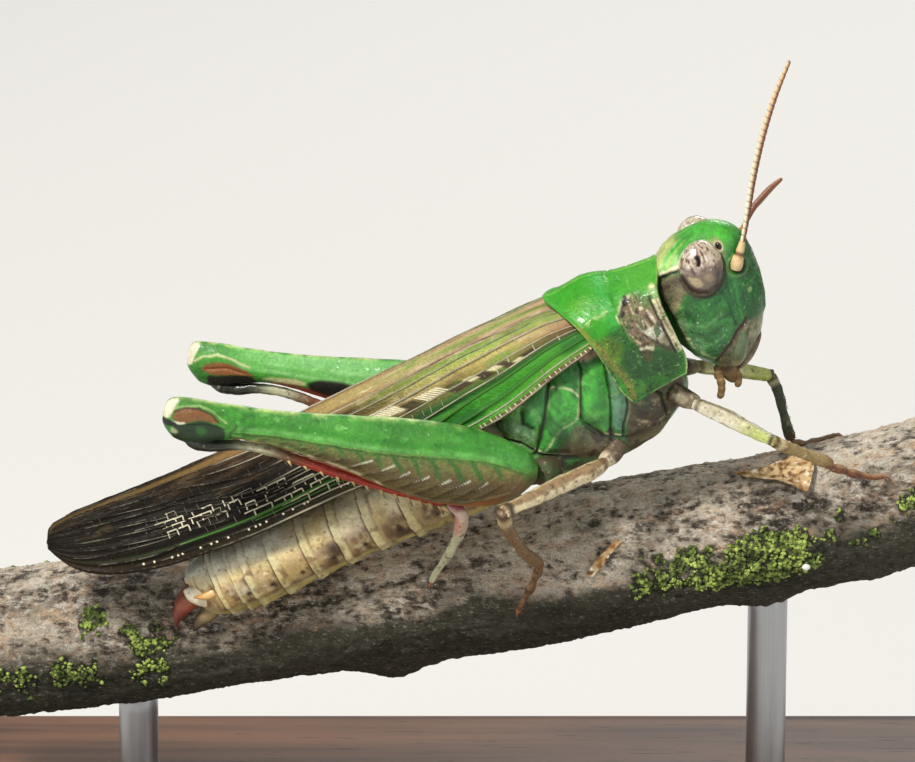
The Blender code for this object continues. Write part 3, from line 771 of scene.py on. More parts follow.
def ringTree():
    # a feeler: its line cut into short rings, each a little wider at its far end
    g = Growth("ringGrowth", {"Rings": 24, "Steps": 8, "Sides": 14, "Waist": 0.16, "Shade": 0.0})
    line = g.add("GeometryNodeMeshToCurve", {"Mesh": g.given["Geometry"]}).outputs[0]
    many = g.sum("MULTIPLY", g.given["Rings"], g.given["Steps"])
    even = g.add("GeometryNodeResampleCurve", {"Curve": line, "Count": g.sum("ADD", many, 1.0)}).outputs[0]
    along = g.add("GeometryNodeSplineParameter").outputs["Factor"]
    saw = g.sum("FRACT", g.sum("MULTIPLY", g.sum("MULTIPLY", along, 0.9999), g.given["Rings"]))
    middle = g.sum("ABSOLUTE", g.sum("SUBTRACT", g.sum("MULTIPLY", saw, 2.0), 1.0))
    waist = g.sum("SUBTRACT", 1.0, g.sum("POWER", middle, 6.0))
    full = g.sum("ADD", g.sum("MULTIPLY", waist, g.given["Waist"]), g.sum("SUBTRACT", 1.0, g.given["Waist"]))
    marked = g.store(g.store(even, "along", along), "ring", waist)
    tube = g.tube(marked, g.sum("MULTIPLY", g.named("size"), full))
    # painted light and shade: brown on the side facing forward as shaded, pale on the side facing back as lit; Shade
    # turns more of it brown as shaded
    ahead = g.add("ShaderNodeSeparateXYZ", {0: g.add("GeometryNodeInputNormal").outputs[0]}).outputs[0]
    turn = g.sum("ADD", g.sum("ADD", g.sum("MULTIPLY", ahead, 0.5), 0.5), g.given["Shade"])
    return g.close(g.store(tube, "turn", turn))


spineGrowth, grainGrowth, veinGrowth, ringGrowth = spineTree(), scatterTree(), veinTree(), ringTree()


def pointMesh(points, edges=(), **values):
    # points in the insect's millimetres, with the attributes that the trees read
    mesh = bpy.data.meshes.new("points")
    mesh.from_pydata([tuple(p) for p in toWorld(points)], [tuple(map(int, e)) for e in edges], [])
    for key, value in values.items():
        store(mesh, key, value)
    return mesh


def spines(points, aims, lengths, width):
    start = pointMesh(points, aim=np.asarray(aims, float) @ turned.T, size=np.asarray(lengths) * mm)
    return grown(spineGrowth, start, {"Sides": 7, "Root Width": width}, shinSpine)


# branch

branch = {
    "half": 21.5, "radius": 2.86, "rows": 600, "around": 130, "relief": 0.15, "grit": 0.075, "mossDensity": 9e7,
    "mossGrain": 0.000084}
knots = (
    (-3.0, -100.0, 0.55, 1.3), (12.0, -95.0, 0.45, 1.2), (14.4, -97.0, 0.14, 0.6), (16.2, -98.0, 0.18, 0.7),
    (-14.5, 100.0, 0.25, 1.8), (4.0, 170.0, 0.2, 2.0))


# how thick, where along the branch, half length, softness, which way round, half arc, softness
mossPatches = (
    (1.0, -12.3, 1.1, 0.7, 186, 26, 12), (0.9, -14.4, 0.45, 0.4, 152, 12, 8),
    (0.8, -15.4, 0.9, 0.6, 192, 14, 10), (0.7, -18.6, 1.6, 0.9, 196, 14, 12), (1.0, 8.5, 1.7, 0.7, 186, 17, 9),
    (1.0, 12.5, 1.7, 0.7, 190, 24, 9), (1.0, 10.5, 0.9, 0.6, 198, 12, 8), (0.66, 16.8, 2.2, 1.0, 176, 14, 12),
    (0.8, 3.0, 4.4, 2.0, 20, 30, 22), (0.7, -7.5, 3.2, 1.6, 300, 28, 20), (0.7, -16.5, 2.0, 1.2, 40, 34, 20),
    (0.6, 17.5, 2.2, 1.5, 300, 30, 20))


def branchMiddle(x):
    return np.stack([x, -0.25 - 0.055 * x, 14.45 + 0.195 * x + 0.0018 * x * x], -1)


def branchPoint(x, a, lift=0.0):
    # a point of the bark: x along it, a round it (90 degrees up, 180 towards the insect's right)
    r = branch["radius"] + 0.1 * np.sin(0.31 * x + 0.6) + 0.05 * np.sin(3 * a + 0.4 * x)
    for at, way, height, spread in knots:
        turn = (a - math.radians(way) + math.pi) % (2 * math.pi) - math.pi
        r = r + height * np.exp(-((x - at) / spread) ** 2 - (turn * branch["radius"] / spread) ** 2)
    r = r + lift
    return branchMiddle(x) + np.stack([-0.178 * np.sin(a), np.cos(a), np.sin(a)], -1) * r[..., None]


def makeBranch():
    x, a = np.meshgrid(np.linspace(-branch["half"], branch["half"], branch["rows"]),
                       circle(branch["around"]), indexing="ij")
    barrel = np.stack([x, 2.9 * np.cos(a), 2.9 * np.sin(a)], -1)
    long = barrel * (0.42, 1, 1)
    broad = cloud(long, 1.5, 1, 3)
    scales = 1 - 2.2 * np.abs(cloud(long, 0.62, 2, 3))
    split = -rise(0.8, 0.97, 1 - np.abs(cloud(barrel * (0.2, 1, 1), 0.8, 9, 2)))
    grit = cloud(barrel, 0.2, 3, 2)
    relief = 0.5 * broad + 0.22 * scales + 0.35 * split + 0.4 * cloud(barrel * (0.6, 1, 1), 0.42, 12, 3)
    lift = branch["relief"] * relief + branch["grit"] * grit
    grid = branchPoint(x, a, lift)
    way = (np.degrees(a) + 360) % 360
    wide = sum(part * band(x, at, half, soft) * band(way, turn, arc, edge)
               for part, at, half, soft, turn, arc, edge in mossPatches)
    ragged = cloud(barrel, 1.2, 5, 3) * 0.8 + cloud(barrel, 0.42, 6, 2) * 1.3
    moss = np.clip(wide * 1.25 - 0.45 + ragged, 0, 1) * rise(0.0, 0.3, wide)
    lichen = np.clip(rise(-0.2, 0.5, cloud(barrel, 3.0, 8, 2)) + 0.8 * rise(-10, -17, x), 0, 1) * rise(200, 160, way)
    # the lower side of the branch, painted dark greenish: algae together with painted shade
    algae = rise(160, 208, way + 16 * broad) * rise(345, 312, way)
    values = {"height": np.clip(0.5 + 0.45 * relief + 0.35 * grit, 0, 1), "moss": moss, "lichen": lichen,
        "algae": algae,
              "thick": np.clip(moss * 1.5 - 0.3, 0, 1) ** 1.5}
    mesh = meshOf([closedSkin(grid, values)], posed=False)
    piece("branchBark", mesh, barkFinish(), ["perch"])
    size = branch["mossGrain"]
    grains = grown(grainGrowth, mesh.copy(), {
        "Density": branch["mossDensity"], "Size": size, "Size Spread": size * 0.45, "Seed": 5}, mossFinish())
    piece("branchMoss", grains, None)

    def sawn(name, end):
        # the flat cut face, set just proud of the bark's edge
        rings = np.concatenate([[1.0, 0.985], np.linspace(0.96, 0.02, 40)])
        deep = np.concatenate([[0.35, 0.0], np.zeros(40) - 0.02])
        r, turn = np.meshgrid(rings, circle(120), indexing="ij")
        at = np.array(end * branch["half"])
        middle, full = branchMiddle(at), branchPoint(np.full(r.shape, at), turn)
        away = np.array([0.981, -0.054, 0.19]) * end
        saw = 0.015 * cloud(full * (1, 1, 0.3), 0.25, 4, 2)
        grid = middle + (full - middle) * (r * 0.975)[..., None] - away * (deep[:, None] - 0.05 - saw)[..., None]
        piece(name, closedSkin(grid, {"ring": r}), sawnEnd, posed=False)

    sawnEnd = cutWoodFinish()
    sawn("branchCut1", -1)
    sawn("branchCut2", 1)
    print("branch made")


# loose curls of bark, each with its corners as length along the branch and degrees round it, lift and seed
flakes = {
    "thick": 0.06, "around": 110, "rings": 24,
    "peel": (((11.5, 113), (12.1, 116), (12.8, 114), (13.2, 111.5), (13.85, 108), (14.75, 110), (14.7, 118),
        (14.55, 127), (14.4, 138), (14.2, 145), (13.95, 142), (13.7, 135), (13.1, 129), (12.4, 124),
        (11.9, 119)), 0.45, 7),
    "scar": (((5.2, 171), (5.7, 162), (6.2, 155), (6.65, 150), (6.8, 152), (6.3, 160), (5.9, 167), (5.45, 174)),
        0.06, 9)}


def makeFlakes():
    solids = []
    for corners, lift, seed in (flakes["peel"], flakes["scar"]):
        corners = np.array(corners, float)
        middle = corners.mean(axis=0)
        step = np.linspace(0, len(corners), flakes["around"], endpoint=False)
        i = step.astype(int)
        f = (step - i)[:, None]
        outline = corners[i] * (1 - f) + corners[(i + 1) % len(corners)] * f
        wiggle = cloud(np.column_stack([step * 0.9, step * 0, step * 0 + seed]), 0.5, seed, 3)
        outline = middle + (outline - middle) * (1 + 0.1 * wiggle)[:, None]
        r = np.linspace(0.02, 1, flakes["rings"])[:, None, None]
        flat = middle + (outline - middle)[None] * r
        x, way = flat[..., 0], flat[..., 1]
        at = np.stack([x, way * 0.05, x * 0 + seed], -1)
        away = np.clip((middle[1] + 6 - way) / 22, -1, 1)
        curl = 0.14 + lift * (0.5 * r[..., 0] ** 2 + 0.65 * rise(-0.2, -1.0, away)) + 0.1 * cloud(at, 0.3, seed + 2, 4)
        grid = branchPoint(x, np.radians(way), curl)
        coat = Coat(plain(x.shape, (206, 178, 134)))
        # near-white blotches painted as highlights
        coat((250, 240, 218), rise(0.0, 0.4, cloud(at, 0.16, seed, 3)))
        coat((110, 78, 48), rise(0.0, 0.3, cloud(at, 0.16, seed + 5, 3)) * 0.9)
        coat((186, 128, 72), rise(0.0, 0.4, cloud(at, 0.5, seed + 6, 2)) * 0.5)
        coat((70, 52, 36), (1 - rise(0.0, 0.1, 1 - r[..., 0])) * rise(0.0, 0.5, cloud(at, 0.3, seed + 8, 2)) * 0.7)
        away = np.array([0, math.cos(math.radians(middle[1])), math.sin(math.radians(middle[1]))])
        rings = np.concatenate([grid, (grid - away * flakes["thick"])[::-1]])
        # the underside painted darker as shade
        shade = np.concatenate([coat.tint, coat.tint[::-1] * 0.6])
        solids.append(closedSkin(rings, {"tint": shade, "netted": 0.6}))
    piece("barkFlakes", solids, wingFinish("peelingBark", net=0.35, dry=0.6), posed=False)
    spot = ball(branchPoint(np.array(13.66), np.array(math.radians(205)), 0.06), (0.17, 0.11, 0.14), 20, 32,
        (240, 240, 234))
    spot[2].update({"pitted": np.full(len(spot[0]), 0.6), "dull": np.full(len(spot[0]), 1.0)})
    piece("lichenDot", spot, paleShell, posed=False)


# stand

stand = {"base": (50.0, 30.0), "corner": 1.4, "rod": 0.8, "collar": 1.5, "rods": (-13.0, 12.5), "underBranch": 2.25}


def makeStand():
    wide, deep = stand["base"]
    edge = [(2.6, 0.12), (1.0, 0.0), (0.35, 0.0), (0.08, 0.1), (0.0, 0.3), (0.0, 1.35), (0.06, 1.55),
        (0.22, 1.66), (0.46, 1.7),
            (0.52, 1.82), (0.56, 2.1), (0.68, 2.42), (0.9, 2.75), (1.2, 3.03), (1.56, 3.22), (1.62, 3.34),
                (1.72, 3.45), (1.9, 3.5),
            (2.4, 3.5), (4.5, 3.5)]
    turn = np.linspace(0, math.pi / 2, 12)
    rings = []
    for inset, z in edge:
        r = max(stand["corner"] - inset * 0.6, 0.3)
        ring = []
        for k, (sx, sy) in enumerate(((1, 1), (-1, 1), (-1, -1), (1, -1))):
            cx, cy = sx * (wide / 2 - inset - r), sy * (deep / 2 - inset - r)
            ring += [(cx + r * math.cos(t + k * math.pi / 2), cy + r * math.sin(t + k * math.pi / 2), z) for t in turn]
        rings.append(ring)
    piece("standBase", closedSkin(np.array(rings), {}), walnutFinish(), ["stand_base"], posed=False)
    steel, turn = steelFinish(), circle(48)
    for number, x in enumerate(stand["rods"], 1):
        rod, collar = stand["rod"], stand["collar"]
        _, y, middle = branchMiddle(x)
        top = middle - stand["underBranch"]
        profile = [(collar - 0.1, 3.46), (collar, 3.54), (collar, 3.86), (collar - 0.1, 3.98),
            (rod + 0.22, 4.02), (rod + 0.1, 4.1),
                   (rod + 0.02, 4.3), (rod, 4.5), (rod, 4.6), (rod, top - 1.2), (rod, top - 0.2), (rod - 0.15, top)]
        grid = np.array([[(x + r * math.cos(t), y + r * math.sin(t), z) for t in turn] for r, z in profile])
        piece(f"standRod{number}", closedSkin(grid, {}), steel, [f"stand_rod_{number}"], posed=False)
    print("stand made")


# thorax and abdomen

trunk = {
    "thoraxRows": 290, "thoraxAround": 290, "abdomenRows": 360, "abdomenAround": 190, "squareness": 2.3,
    "widest": 0.55, "seamDepth": 0.13, "ringStep": 0.1, "tailRows": 60, "tailAround": 40}

thorax = (
    (3.9, 0.7, 2.8, 0.6), (3.75, 1.0, 3.1, 0.2), (3.5, 1.5, 3.8, -0.65), (2.6, 1.85, 4.05, -1.4),
    (1.3, 2.0, 4.0, -2.05), (0.1, 2.2, 3.8, -2.1), (-1.2, 2.3, 3.5, -1.85), (-2.6, 2.25, 3.2, -1.75),
    (-3.6, 1.95, 2.7, -1.7), (-3.75, 1.5, 2.2, -1.4))
abdomen = (
    (-3.5, 1.4, 2.0, -1.5), (-3.72, 1.75, 2.4, -1.8), (-5.4, 1.85, 1.9, -1.9), (-7.2, 1.78, 1.6, -1.85),
    (-9.0, 1.7, 1.35, -1.75), (-10.8, 1.66, 1.22, -1.66), (-12.5, 1.62, 1.16, -1.72), (-13.9, 1.58, 1.12, -1.84),
    (-15.2, 1.48, 1.1, -1.88), (-16.2, 1.34, 1.06, -1.8), (-17.0, 1.12, 0.92, -1.66), (-17.6, 0.85, 0.72, -1.4),
    (-17.95, 0.45, 0.4, -0.9))
ringEdges = (-3.7, -5.3, -7.0, -8.7, -10.25, -11.63, -13.0, -14.4, -15.6, -16.15, -16.9)
seams = (
    ([(0.25, 2.9), (0.25, 2.56), (-0.17, 1.69), (-0.55, 0.86), (-0.57, 0.46), (-0.35, -0.2)], 0.035),
    ([(1.25, 2.9), (1.22, 2.43), (1.06, 1.84), (0.78, 0.91), (0.2, -0.35), (0.03, -0.78)], 0.035),
    ([(1.5, 1.6), (1.46, 0.9), (1.3, 0.4), (0.75, -0.45), (0.5, -0.85)], 0.04),
    ([(-1.15, 2.6), (-1.8, 1.45), (-2.4, 0.6), (-2.85, 0.1)], 0.065),
    ([(-0.55, 0.5), (-0.1, -0.45), (0.6, -0.95)], 0.05),
    ([(-2.6, 1.95), (-2.75, 1.5), (-2.5, 1.15)], 0.05),
    ([(-3.6, 1.0), (-3.15, 0.75), (-2.86, 0.32)], 0.05),
    ([(-2.8, 0.12), (-2.6, -0.1), (-2.1, -0.42), (-1.5, -0.85)], 0.06),
    ([(2.2, 1.0), (2.6, 0.1), (2.4, -1.0)], 0.04))
thoraxMarks = (
    ("area", (92, 146, 62), [(-4.0, 3.0), (-1.2, 2.6), (-2.7, 0.3), (-2.8, -0.4), (-4.0, -0.6)], 0.1, 0.8),
    ("area", (96, 142, 112), [(1.21, 2.1), (1.38, 1.77), (1.48, 1.37), (1.44, 0.88), (1.29, 0.44),
        (0.75, -0.43), (0.58, -0.6), (0.37, -0.14), (0.95, 1.1)], 0.05, 1),
    ("area", (72, 168, 60), [(0.35, 2.56), (1.18, 2.47), (1.15, 2.08), (0.77, 0.94), (0.33, -0.07),
        (0.04, -0.24), (-0.25, -0.05), (-0.34, 0.35), (-0.42, 0.79), (-0.11, 1.67), (0.19, 2.38)], 0.06, 1),
    ("area", (40, 122, 48), [(0.5, 2.0), (0.95, 1.9), (0.5, 0.7), (0.1, -0.05), (-0.1, 0.4)], 0.25, 0.6),
    ("area", (66, 158, 60), [(-1.2, 2.36), (-1.05, 2.37), (-0.7, 2.22), (-0.43, 1.99), (-0.18, 1.72),
        (-0.65, 0.8), (-0.8, 0.77), (-1.38, 0.74), (-1.8, 0.54), (-2.19, 0.21), (-2.7, 0.32), (-2.29, 0.69),
        (-1.75, 1.45)], 0.06, 1),
    ("line", (214, 218, 168), [(-0.28, 1.62), (-0.43, 1.99), (-0.7, 2.22), (-1.05, 2.37), (-1.2, 2.34),
        (-1.75, 1.45), (-2.29, 0.69), (-2.7, 0.3)], 0.045, 0.03, 0.9),
    ("line", (214, 218, 168), [(-0.7, 0.84), (-0.8, 0.77), (-1.38, 0.74), (-1.8, 0.54), (-2.19, 0.21),
        (-2.49, 0.05), (-2.72, 0.26)], 0.04, 0.03, 0.85),
    ("area", (52, 124, 60), [(-2.57, 2.05), (-1.94, 2.35), (-1.3, 2.3), (-1.97, 1.3), (-2.44, 1.1),
        (-2.67, 1.6)], 0.08, 0.9),
    ("area", (124, 158, 118), [(-3.61, 1.66), (-3.29, 1.82), (-2.92, 1.59), (-2.42, 1.1), (-2.51, 0.74),
        (-2.87, 0.56), (-3.36, 1.15)], 0.07, 0.85),
    ("line", (232, 226, 200), [(-3.45, 1.1), (-3.16, 0.87), (-2.87, 0.47)], 0.05, 0.04, 0.9),
    ("area", (206, 164, 146), [(0.07, 3.1), (0.63, 3.34), (1.15, 3.4), (1.22, 2.68), (0.34, 2.7)], 0.1, 0.9),
    ("line", (244, 234, 216), [(0.45, 3.0), (0.8, 3.05), (1.15, 2.85)], 0.07, 0.06, 0.7),
    ("line", (214, 210, 160), [(0.14, 2.3), (-0.27, 1.6), (-0.64, 0.86)], 0.05, 0.04, 0.8),
    ("line", (222, 216, 168), [(-0.6, 0.4), (-0.38, 0.25), (-0.19, -0.15), (0.15, -0.42), (0.56, -0.77)], 0.05,
        0.03, 0.9),
    ("line", (206, 200, 160), [(1.5, 1.5), (1.5, 0.9), (1.33, 0.38), (0.8, -0.42)], 0.05, 0.03, 0.75),
    ("area", (112, 92, 74), [(-2.8, 0.0), (-2.2, -0.3), (-1.0, 0.6), (-0.7, 0.5), (-0.5, 0.1), (0.3, -0.8),
        (0.2, -1.2), (-1.6, -1.0)], 0.1, 0.85),
    ("line", (236, 226, 196), [(-2.8, 0.32), (-2.66, 0.05), (-2.16, -0.27), (-1.67, -0.6)], 0.06, 0.05, 0.95),
    ("area", (80, 66, 50), [(1.45, 0.6), (2.2, 0.7), (4.2, 0.8), (4.0, -1.0), (2.6, -1.8), (1.3, -2.4),
        (0.4, -1.2), (0.85, -0.5)], 0.08, 0.92),
    ("line", (176, 160, 120), [(1.7, 0.3), (2.3, 0.0), (3.0, -0.2)], 0.07, 0.08, 0.6),
    ("line", (196, 180, 140), [(1.35, -0.35), (1.8, -0.8), (2.5, -0.95)], 0.06, 0.06, 0.7))


def trunkGrid(rows, count, around):
    # level ovals seen along the body, each wider above its middle
    x = evenly(rows, count)[:, 0]
    half, top, low = follow(rows, x).T
    a = circle(around)
    c, s = (np.sign(f(a)) * np.abs(f(a)) ** (2 / trunk["squareness"]) for f in (np.cos, np.sin))
    middle = low + (top - low) * trunk["widest"]
    tall = np.where(s > 0, (top - middle)[:, None], (middle - low)[:, None])
    return np.stack([np.repeat(x[:, None], around, 1), half[:, None] * c, middle[:, None] + tall * s], -1)


def makeThorax():
    grid = trunkGrid(thorax, trunk["thoraxRows"], trunk["thoraxAround"])
    n = facing(grid)
    px, py, pz = np.moveaxis(grid, -1, 0)
    wx, wz = px + 0.035 * cloud(grid, 0.5, 3, 2), pz + 0.035 * cloud(grid, 0.5, 4, 2)
    side = rise(0.7, 1.3, np.abs(py))
    coat = Coat(plain(px.shape, (50, 128, 52)))
    coat.marks(wx, wz, thoraxMarks, side)
    under = rise(-0.9, -1.5, pz)
    coat((128, 124, 84), under * 0.7)
    coat.specks(grid, 0.2, 5, (206, 196, 160), 0.12, 0.7, np.maximum(under, rise(0.2, -0.4, pz)) * side)
    coat.specks(grid * (2.2, 1, 0.7), 0.3, 6, (34, 84, 36), 0.25, 0.45, rise(-0.2, 0.4, pz))
    groove = np.zeros(px.shape)
    for path, half in seams:
        line = offLine(wx, wz, path) * (1 + 0.5 * cloud(grid, 0.5, 18, 2))
        groove = np.maximum(groove, bell(line, half * 1.35) * side)
    gaps = rise(-0.45, 0.25, cloud(grid, 0.7, 24, 2))
    coat((22, 58, 26), rise(0.15, 0.8, groove) * 0.55)
    coat((24, 24, 16), rise(0.5, 1.0, groove) * (0.35 + 0.6 * gaps))
    coat((26, 70, 30), rise(0.0, 0.45, cloud(grid * (1.5, 1, 0.8), 0.7, 25, 3)) * rise(-0.6, 0.0, pz) * side * 0.6)
    coat((112, 176, 84), rise(0.15, 0.5, cloud(grid, 0.45, 26, 3)) * rise(-0.2, 0.4, pz) * side * 0.4)
    coat((48, 36, 28), rise(0.0, 0.4, cloud(grid, 0.45, 27, 3)) * side * rise(0.2, -0.2, pz) * 0.75)
    coat.shade(1 + 0.2 * cloud(grid, 0.4, 28, 3) + 0.12 * cloud(grid, 0.13, 29, 2))
    coat.specks(grid, 0.14, 20, (150, 180, 120), 0.12, 0.4, side * rise(0.0, 0.5, pz))
    coat.specks(grid, 0.16, 21, (36, 28, 20), 0.3, 0.6, rise(1.2, 1.8, px) * side)
    # near-white specks low on the front painted as glints
    coat.specks(grid, 0.11, 22, (222, 214, 190), 0.1, 0.8, rise(1.2, 1.8, px) * side * rise(0.6, 0.0, pz))
    nearest = np.min([offLine(wx, wz, path) for path, _ in seams], axis=0)
    swell = 0.07 * cloud(grid, 1.1, 8, 2) + 0.03 * cloud(grid, 0.3, 9, 2) + 0.1 * rise(0.0, 0.55, nearest) * side
    rubbed = patch(px, pz, [(1.5, 2.1), (1.6, 0.9), (0.6, -0.7), (0.3, -0.1), (0.95, 1.2)], 0.1)
    stria = 0.5 + 0.5 * np.sin(28 * (px * 0.9 + pz * 0.45)) * rubbed
    grid = grid + n * (swell - trunk["seamDepth"] * groove + 0.012 * stria * side)[..., None]
    values = {"tint": coat.tint, "pitted": np.clip(0.4 + 0.6 * cloud(grid, 0.9, 11), 0, 1),
        "dull": np.clip(under + 0.2, 0, 1)}
    piece("thoraxPlates", closedSkin(grid, values), shell, ["thorax"])


def makeAbdomen():
    grid = trunkGrid(abdomen, trunk["abdomenRows"], trunk["abdomenAround"])
    n = facing(grid)
    px, py, pz = np.moveaxis(grid, -1, 0)
    edges = np.array(ringEdges)
    bent = px - 0.1 * (pz + 0.7) ** 2 * 0.25 + 0.02 * cloud(grid, 0.8, 2)
    index = np.clip(np.searchsorted(-edges, -bent), 1, len(edges) - 1)
    start, end = edges[index - 1], edges[index]
    t = np.clip((start - bent) / (start - end), 0, 1.4)
    last = bent < edges[-1]
    t = np.where(last, np.clip((edges[-1] - bent) / 1.0, 0, 1), t)
    rim = rise(0.76, 0.81, t) * ~last
    lift = trunk["ringStep"] * t**1.5 - 0.04 + 0.015 * rim - 0.035 * bell(t - 0.74, 0.04)
    lift = np.where(last, 0.02, lift + 0.05 * cloud(grid, 0.8, 14, 2))
    fold = bell(pz + 1.22, 0.09) * (px > -17.0)
    belly = rise(-1.15, -1.4, pz)
    side = rise(0.5, 1.0, np.abs(py))
    coat = Coat(plain(px.shape, (196, 174, 122)))
    # the upper part painted paler as a painted highlight and sheen
    coat((236, 226, 190), rise(-0.55, 0.35, pz + 0.25 * cloud(grid, 0.8, 35)) * 0.85)
    low = rise(0.1, -0.4, pz) * (1 - belly) * side
    blot = rise(-0.25, 0.35, cloud(grid * (1.3, 1, 0.8), 0.55, 31, 3))
    coat((128, 98, 66), low * (1 - rise(0.6, 0.8, t)) * (0.3 + 0.7 * blot))
    coat((82, 62, 40), low * bell(t - 0.25, 0.22) * blot * 0.8)
    coat((200, 170, 158), bell(pz + 0.1, 0.3) * (1 - rim) * 0.55 * side * rise(0.3, -0.3, cloud(grid, 0.7, 36)))
    coat((206, 176, 104), rise(-0.1, 0.4, cloud(grid, 0.9, 37, 2)) * (1 - belly) * 0.5)
    coat((172, 158, 92), belly * 0.8)
    coat((208, 194, 136), belly * rise(0.6, 0.8, t) * 0.7)
    coat((232, 220, 166), rim * (0.8 - 0.3 * belly) * (0.75 + 0.35 * cloud(grid, 0.6, 38, 2)))
    # pale blotches on the sides: partly their own pale colour, partly painted highlights
    coat((244, 234, 204), rise(0.1, 0.5, cloud(grid * (1, 1, 1.4), 0.5, 43, 3)) * (1 - belly) * side * 0.6)
    coat((96, 70, 44), rise(0.2, 0.55, cloud(grid, 0.42, 44, 3)) * side * rise(0.5, 0.0, pz) * 0.6)
    coat((112, 82, 50), bell(t - 0.73, 0.035) * (1 - belly) * 0.5 * rise(-0.4, 0.3, cloud(grid, 0.5, 39)))
    # a dark line just behind each rim, painted as the rim's shadow on the next ring
    coat((54, 38, 24), bell(t, 0.045) * (0.8 + 0.2 * cloud(grid, 0.5, 41, 2)))
    coat((70, 54, 34), bell(t - 0.16, 0.14) * low * blot * 0.8)
    # the top of the rear rings painted whitish as a highlight
    coat((226, 224, 212), rise(0.1, 0.8, pz) * rise(-12.0, -14.5, px) * 0.75)
    coat((128, 124, 112), rise(0.15, 0.6, cloud(grid * (1, 1, 1.3), 0.7, 45, 3)) * side * (1 - rim)
        * rise(-11.0, -9.0, px) * 0.5)
    coat.shade(1 + 0.12 * cloud(grid * (1, 1, 1.3), 0.6, 46, 3))
    coat((110, 92, 58), fold * 0.4 * side)
    coat.specks(grid, 0.11, 33, (120, 92, 64), 0.22, 0.55, (1 - rim * 0.6) * (1 - 0.5 * belly))
    holes = np.zeros(px.shape)
    for begin, finish in zip(edges[:-2], edges[1:-1]):
        holes = np.maximum(holes, np.exp(-((px - begin + 0.28 * (begin - finish)) ** 2 + (pz + 0.82) ** 2) / 0.09**2))
    coat((40, 28, 20), holes * side)
    crease = 0.012 * np.sin(55 * px + 3 * cloud(grid, 0.7, 4)) * (1 - rim) * 0.5
    lift = lift - 0.05 * fold * side - 0.03 * holes * side + 0.018 * cloud(grid, 0.35, 12, 2) + crease * 0.5
    grid = grid + n * lift[..., None]
    values = {"tint": coat.tint, "pitted": 0.5 * side, "dull": 0.35}
    piece("abdomenRings", closedSkin(grid, values), paleShell, ["abdomen"])


tail = {
    "cercus": ((-17.0, 1.0, -0.28, 0.2), (-17.35, 1.06, -0.26, 0.17), (-17.7, 1.04, -0.18, 0.08),
        (-17.9, 1.0, -0.12, 0.02)),
    "valveUpper": ((-17.7, 0, -0.3, 0.4), (-18.3, 0, -0.48, 0.4), (-18.75, 0, -0.72, 0.3),
        (-19.05, 0, -1.0, 0.16), (-19.27, 0, -1.28, 0.02)),
    "valveLower": ((-17.3, 0, -1.15, 0.34), (-17.9, 0, -1.38, 0.3), (-18.35, 0, -1.55, 0.2),
        (-18.65, 0, -1.72, 0.07), (-18.72, 0, -1.78, 0.015)),
    "plate": ((-16.95, 0, -0.25, 0.66), (-17.4, 0, -0.3, 0.62), (-17.85, 0, -0.15, 0.42), (-18.1, 0, 0.06, 0.2),
        (-18.2, 0, 0.16, 0.03)),
    "epiproct": ((-16.8, 0, 0.72, 0.46), (-17.3, 0, 0.66, 0.42), (-17.75, 0, 0.52, 0.3), (-18.0, 0, 0.42, 0.05))}


def makeTail():
    def horn(name, rows, node, base, tip, flat=(1.0, 1.0), shift=(0.0,), finish=smoothShell, edge=None):
        solids = []
        for off in shift:
            moved = [(x, y + off, z, r) for x, y, z, r in rows]
            grid, f, a = limb(moved, trunk["tailRows"], trunk["tailAround"], (0, 1, 0), cap=0.4)
            middle = grid.mean(axis=1, keepdims=True)
            grid = middle + (grid - middle) * np.array([1, flat[0], flat[1]])
            coat = Coat(plain(f.shape, base))
            coat(tip, rise(0.35, 1.0, f + 0.12 * cloud(grid, 0.25, 3)))
            coat(edge or tip, rise(0.55, 0.95, np.sin(a)) * 0.5)
            coat.specks(grid, 0.1, 5, (120, 60, 40), 0.2, 0.3)
            solids.append(closedSkin(grid + facing(grid) * 0.012 * cloud(grid, 0.12, 6, 2)[..., None],
                {"tint": coat.tint, "pitted": 0.3, "dull": 0.2}))
        piece(name, solids, finish, [node] if node else [])

    for side, sign in (("Left", 1), ("Right", -1)):
        rows = [(x, sign * y, z, r) for x, y, z, r in tail["cercus"]]
        horn("cercus" + side, rows, "cercus_" + side.lower(), (222, 184, 120), (186, 122, 58))
        rows = [(x, sign * 0.6, z, r * 1.05) for x, y, z, r in tail["plate"]]
        horn("tailSide" + side, rows, None, (236, 226, 196), (244, 238, 214), (0.55, 1.0), edge=(216, 190, 150),
            finish=paleShell)
    horn("valvesUpper", tail["valveUpper"], "ovipositor_upper", (150, 78, 50), (92, 26, 16), (0.6, 1.0),
        (0.28, -0.28), edge=(96, 50, 50))
    horn("valvesLower", tail["valveLower"], "ovipositor_lower", (150, 128, 84), (40, 26, 20), (0.6, 0.9), (0.24, -0.24))
    horn("tailPlate", tail["epiproct"], None, (196, 198, 180), (176, 180, 164), (1.5, 0.6), finish=paleShell)
# head

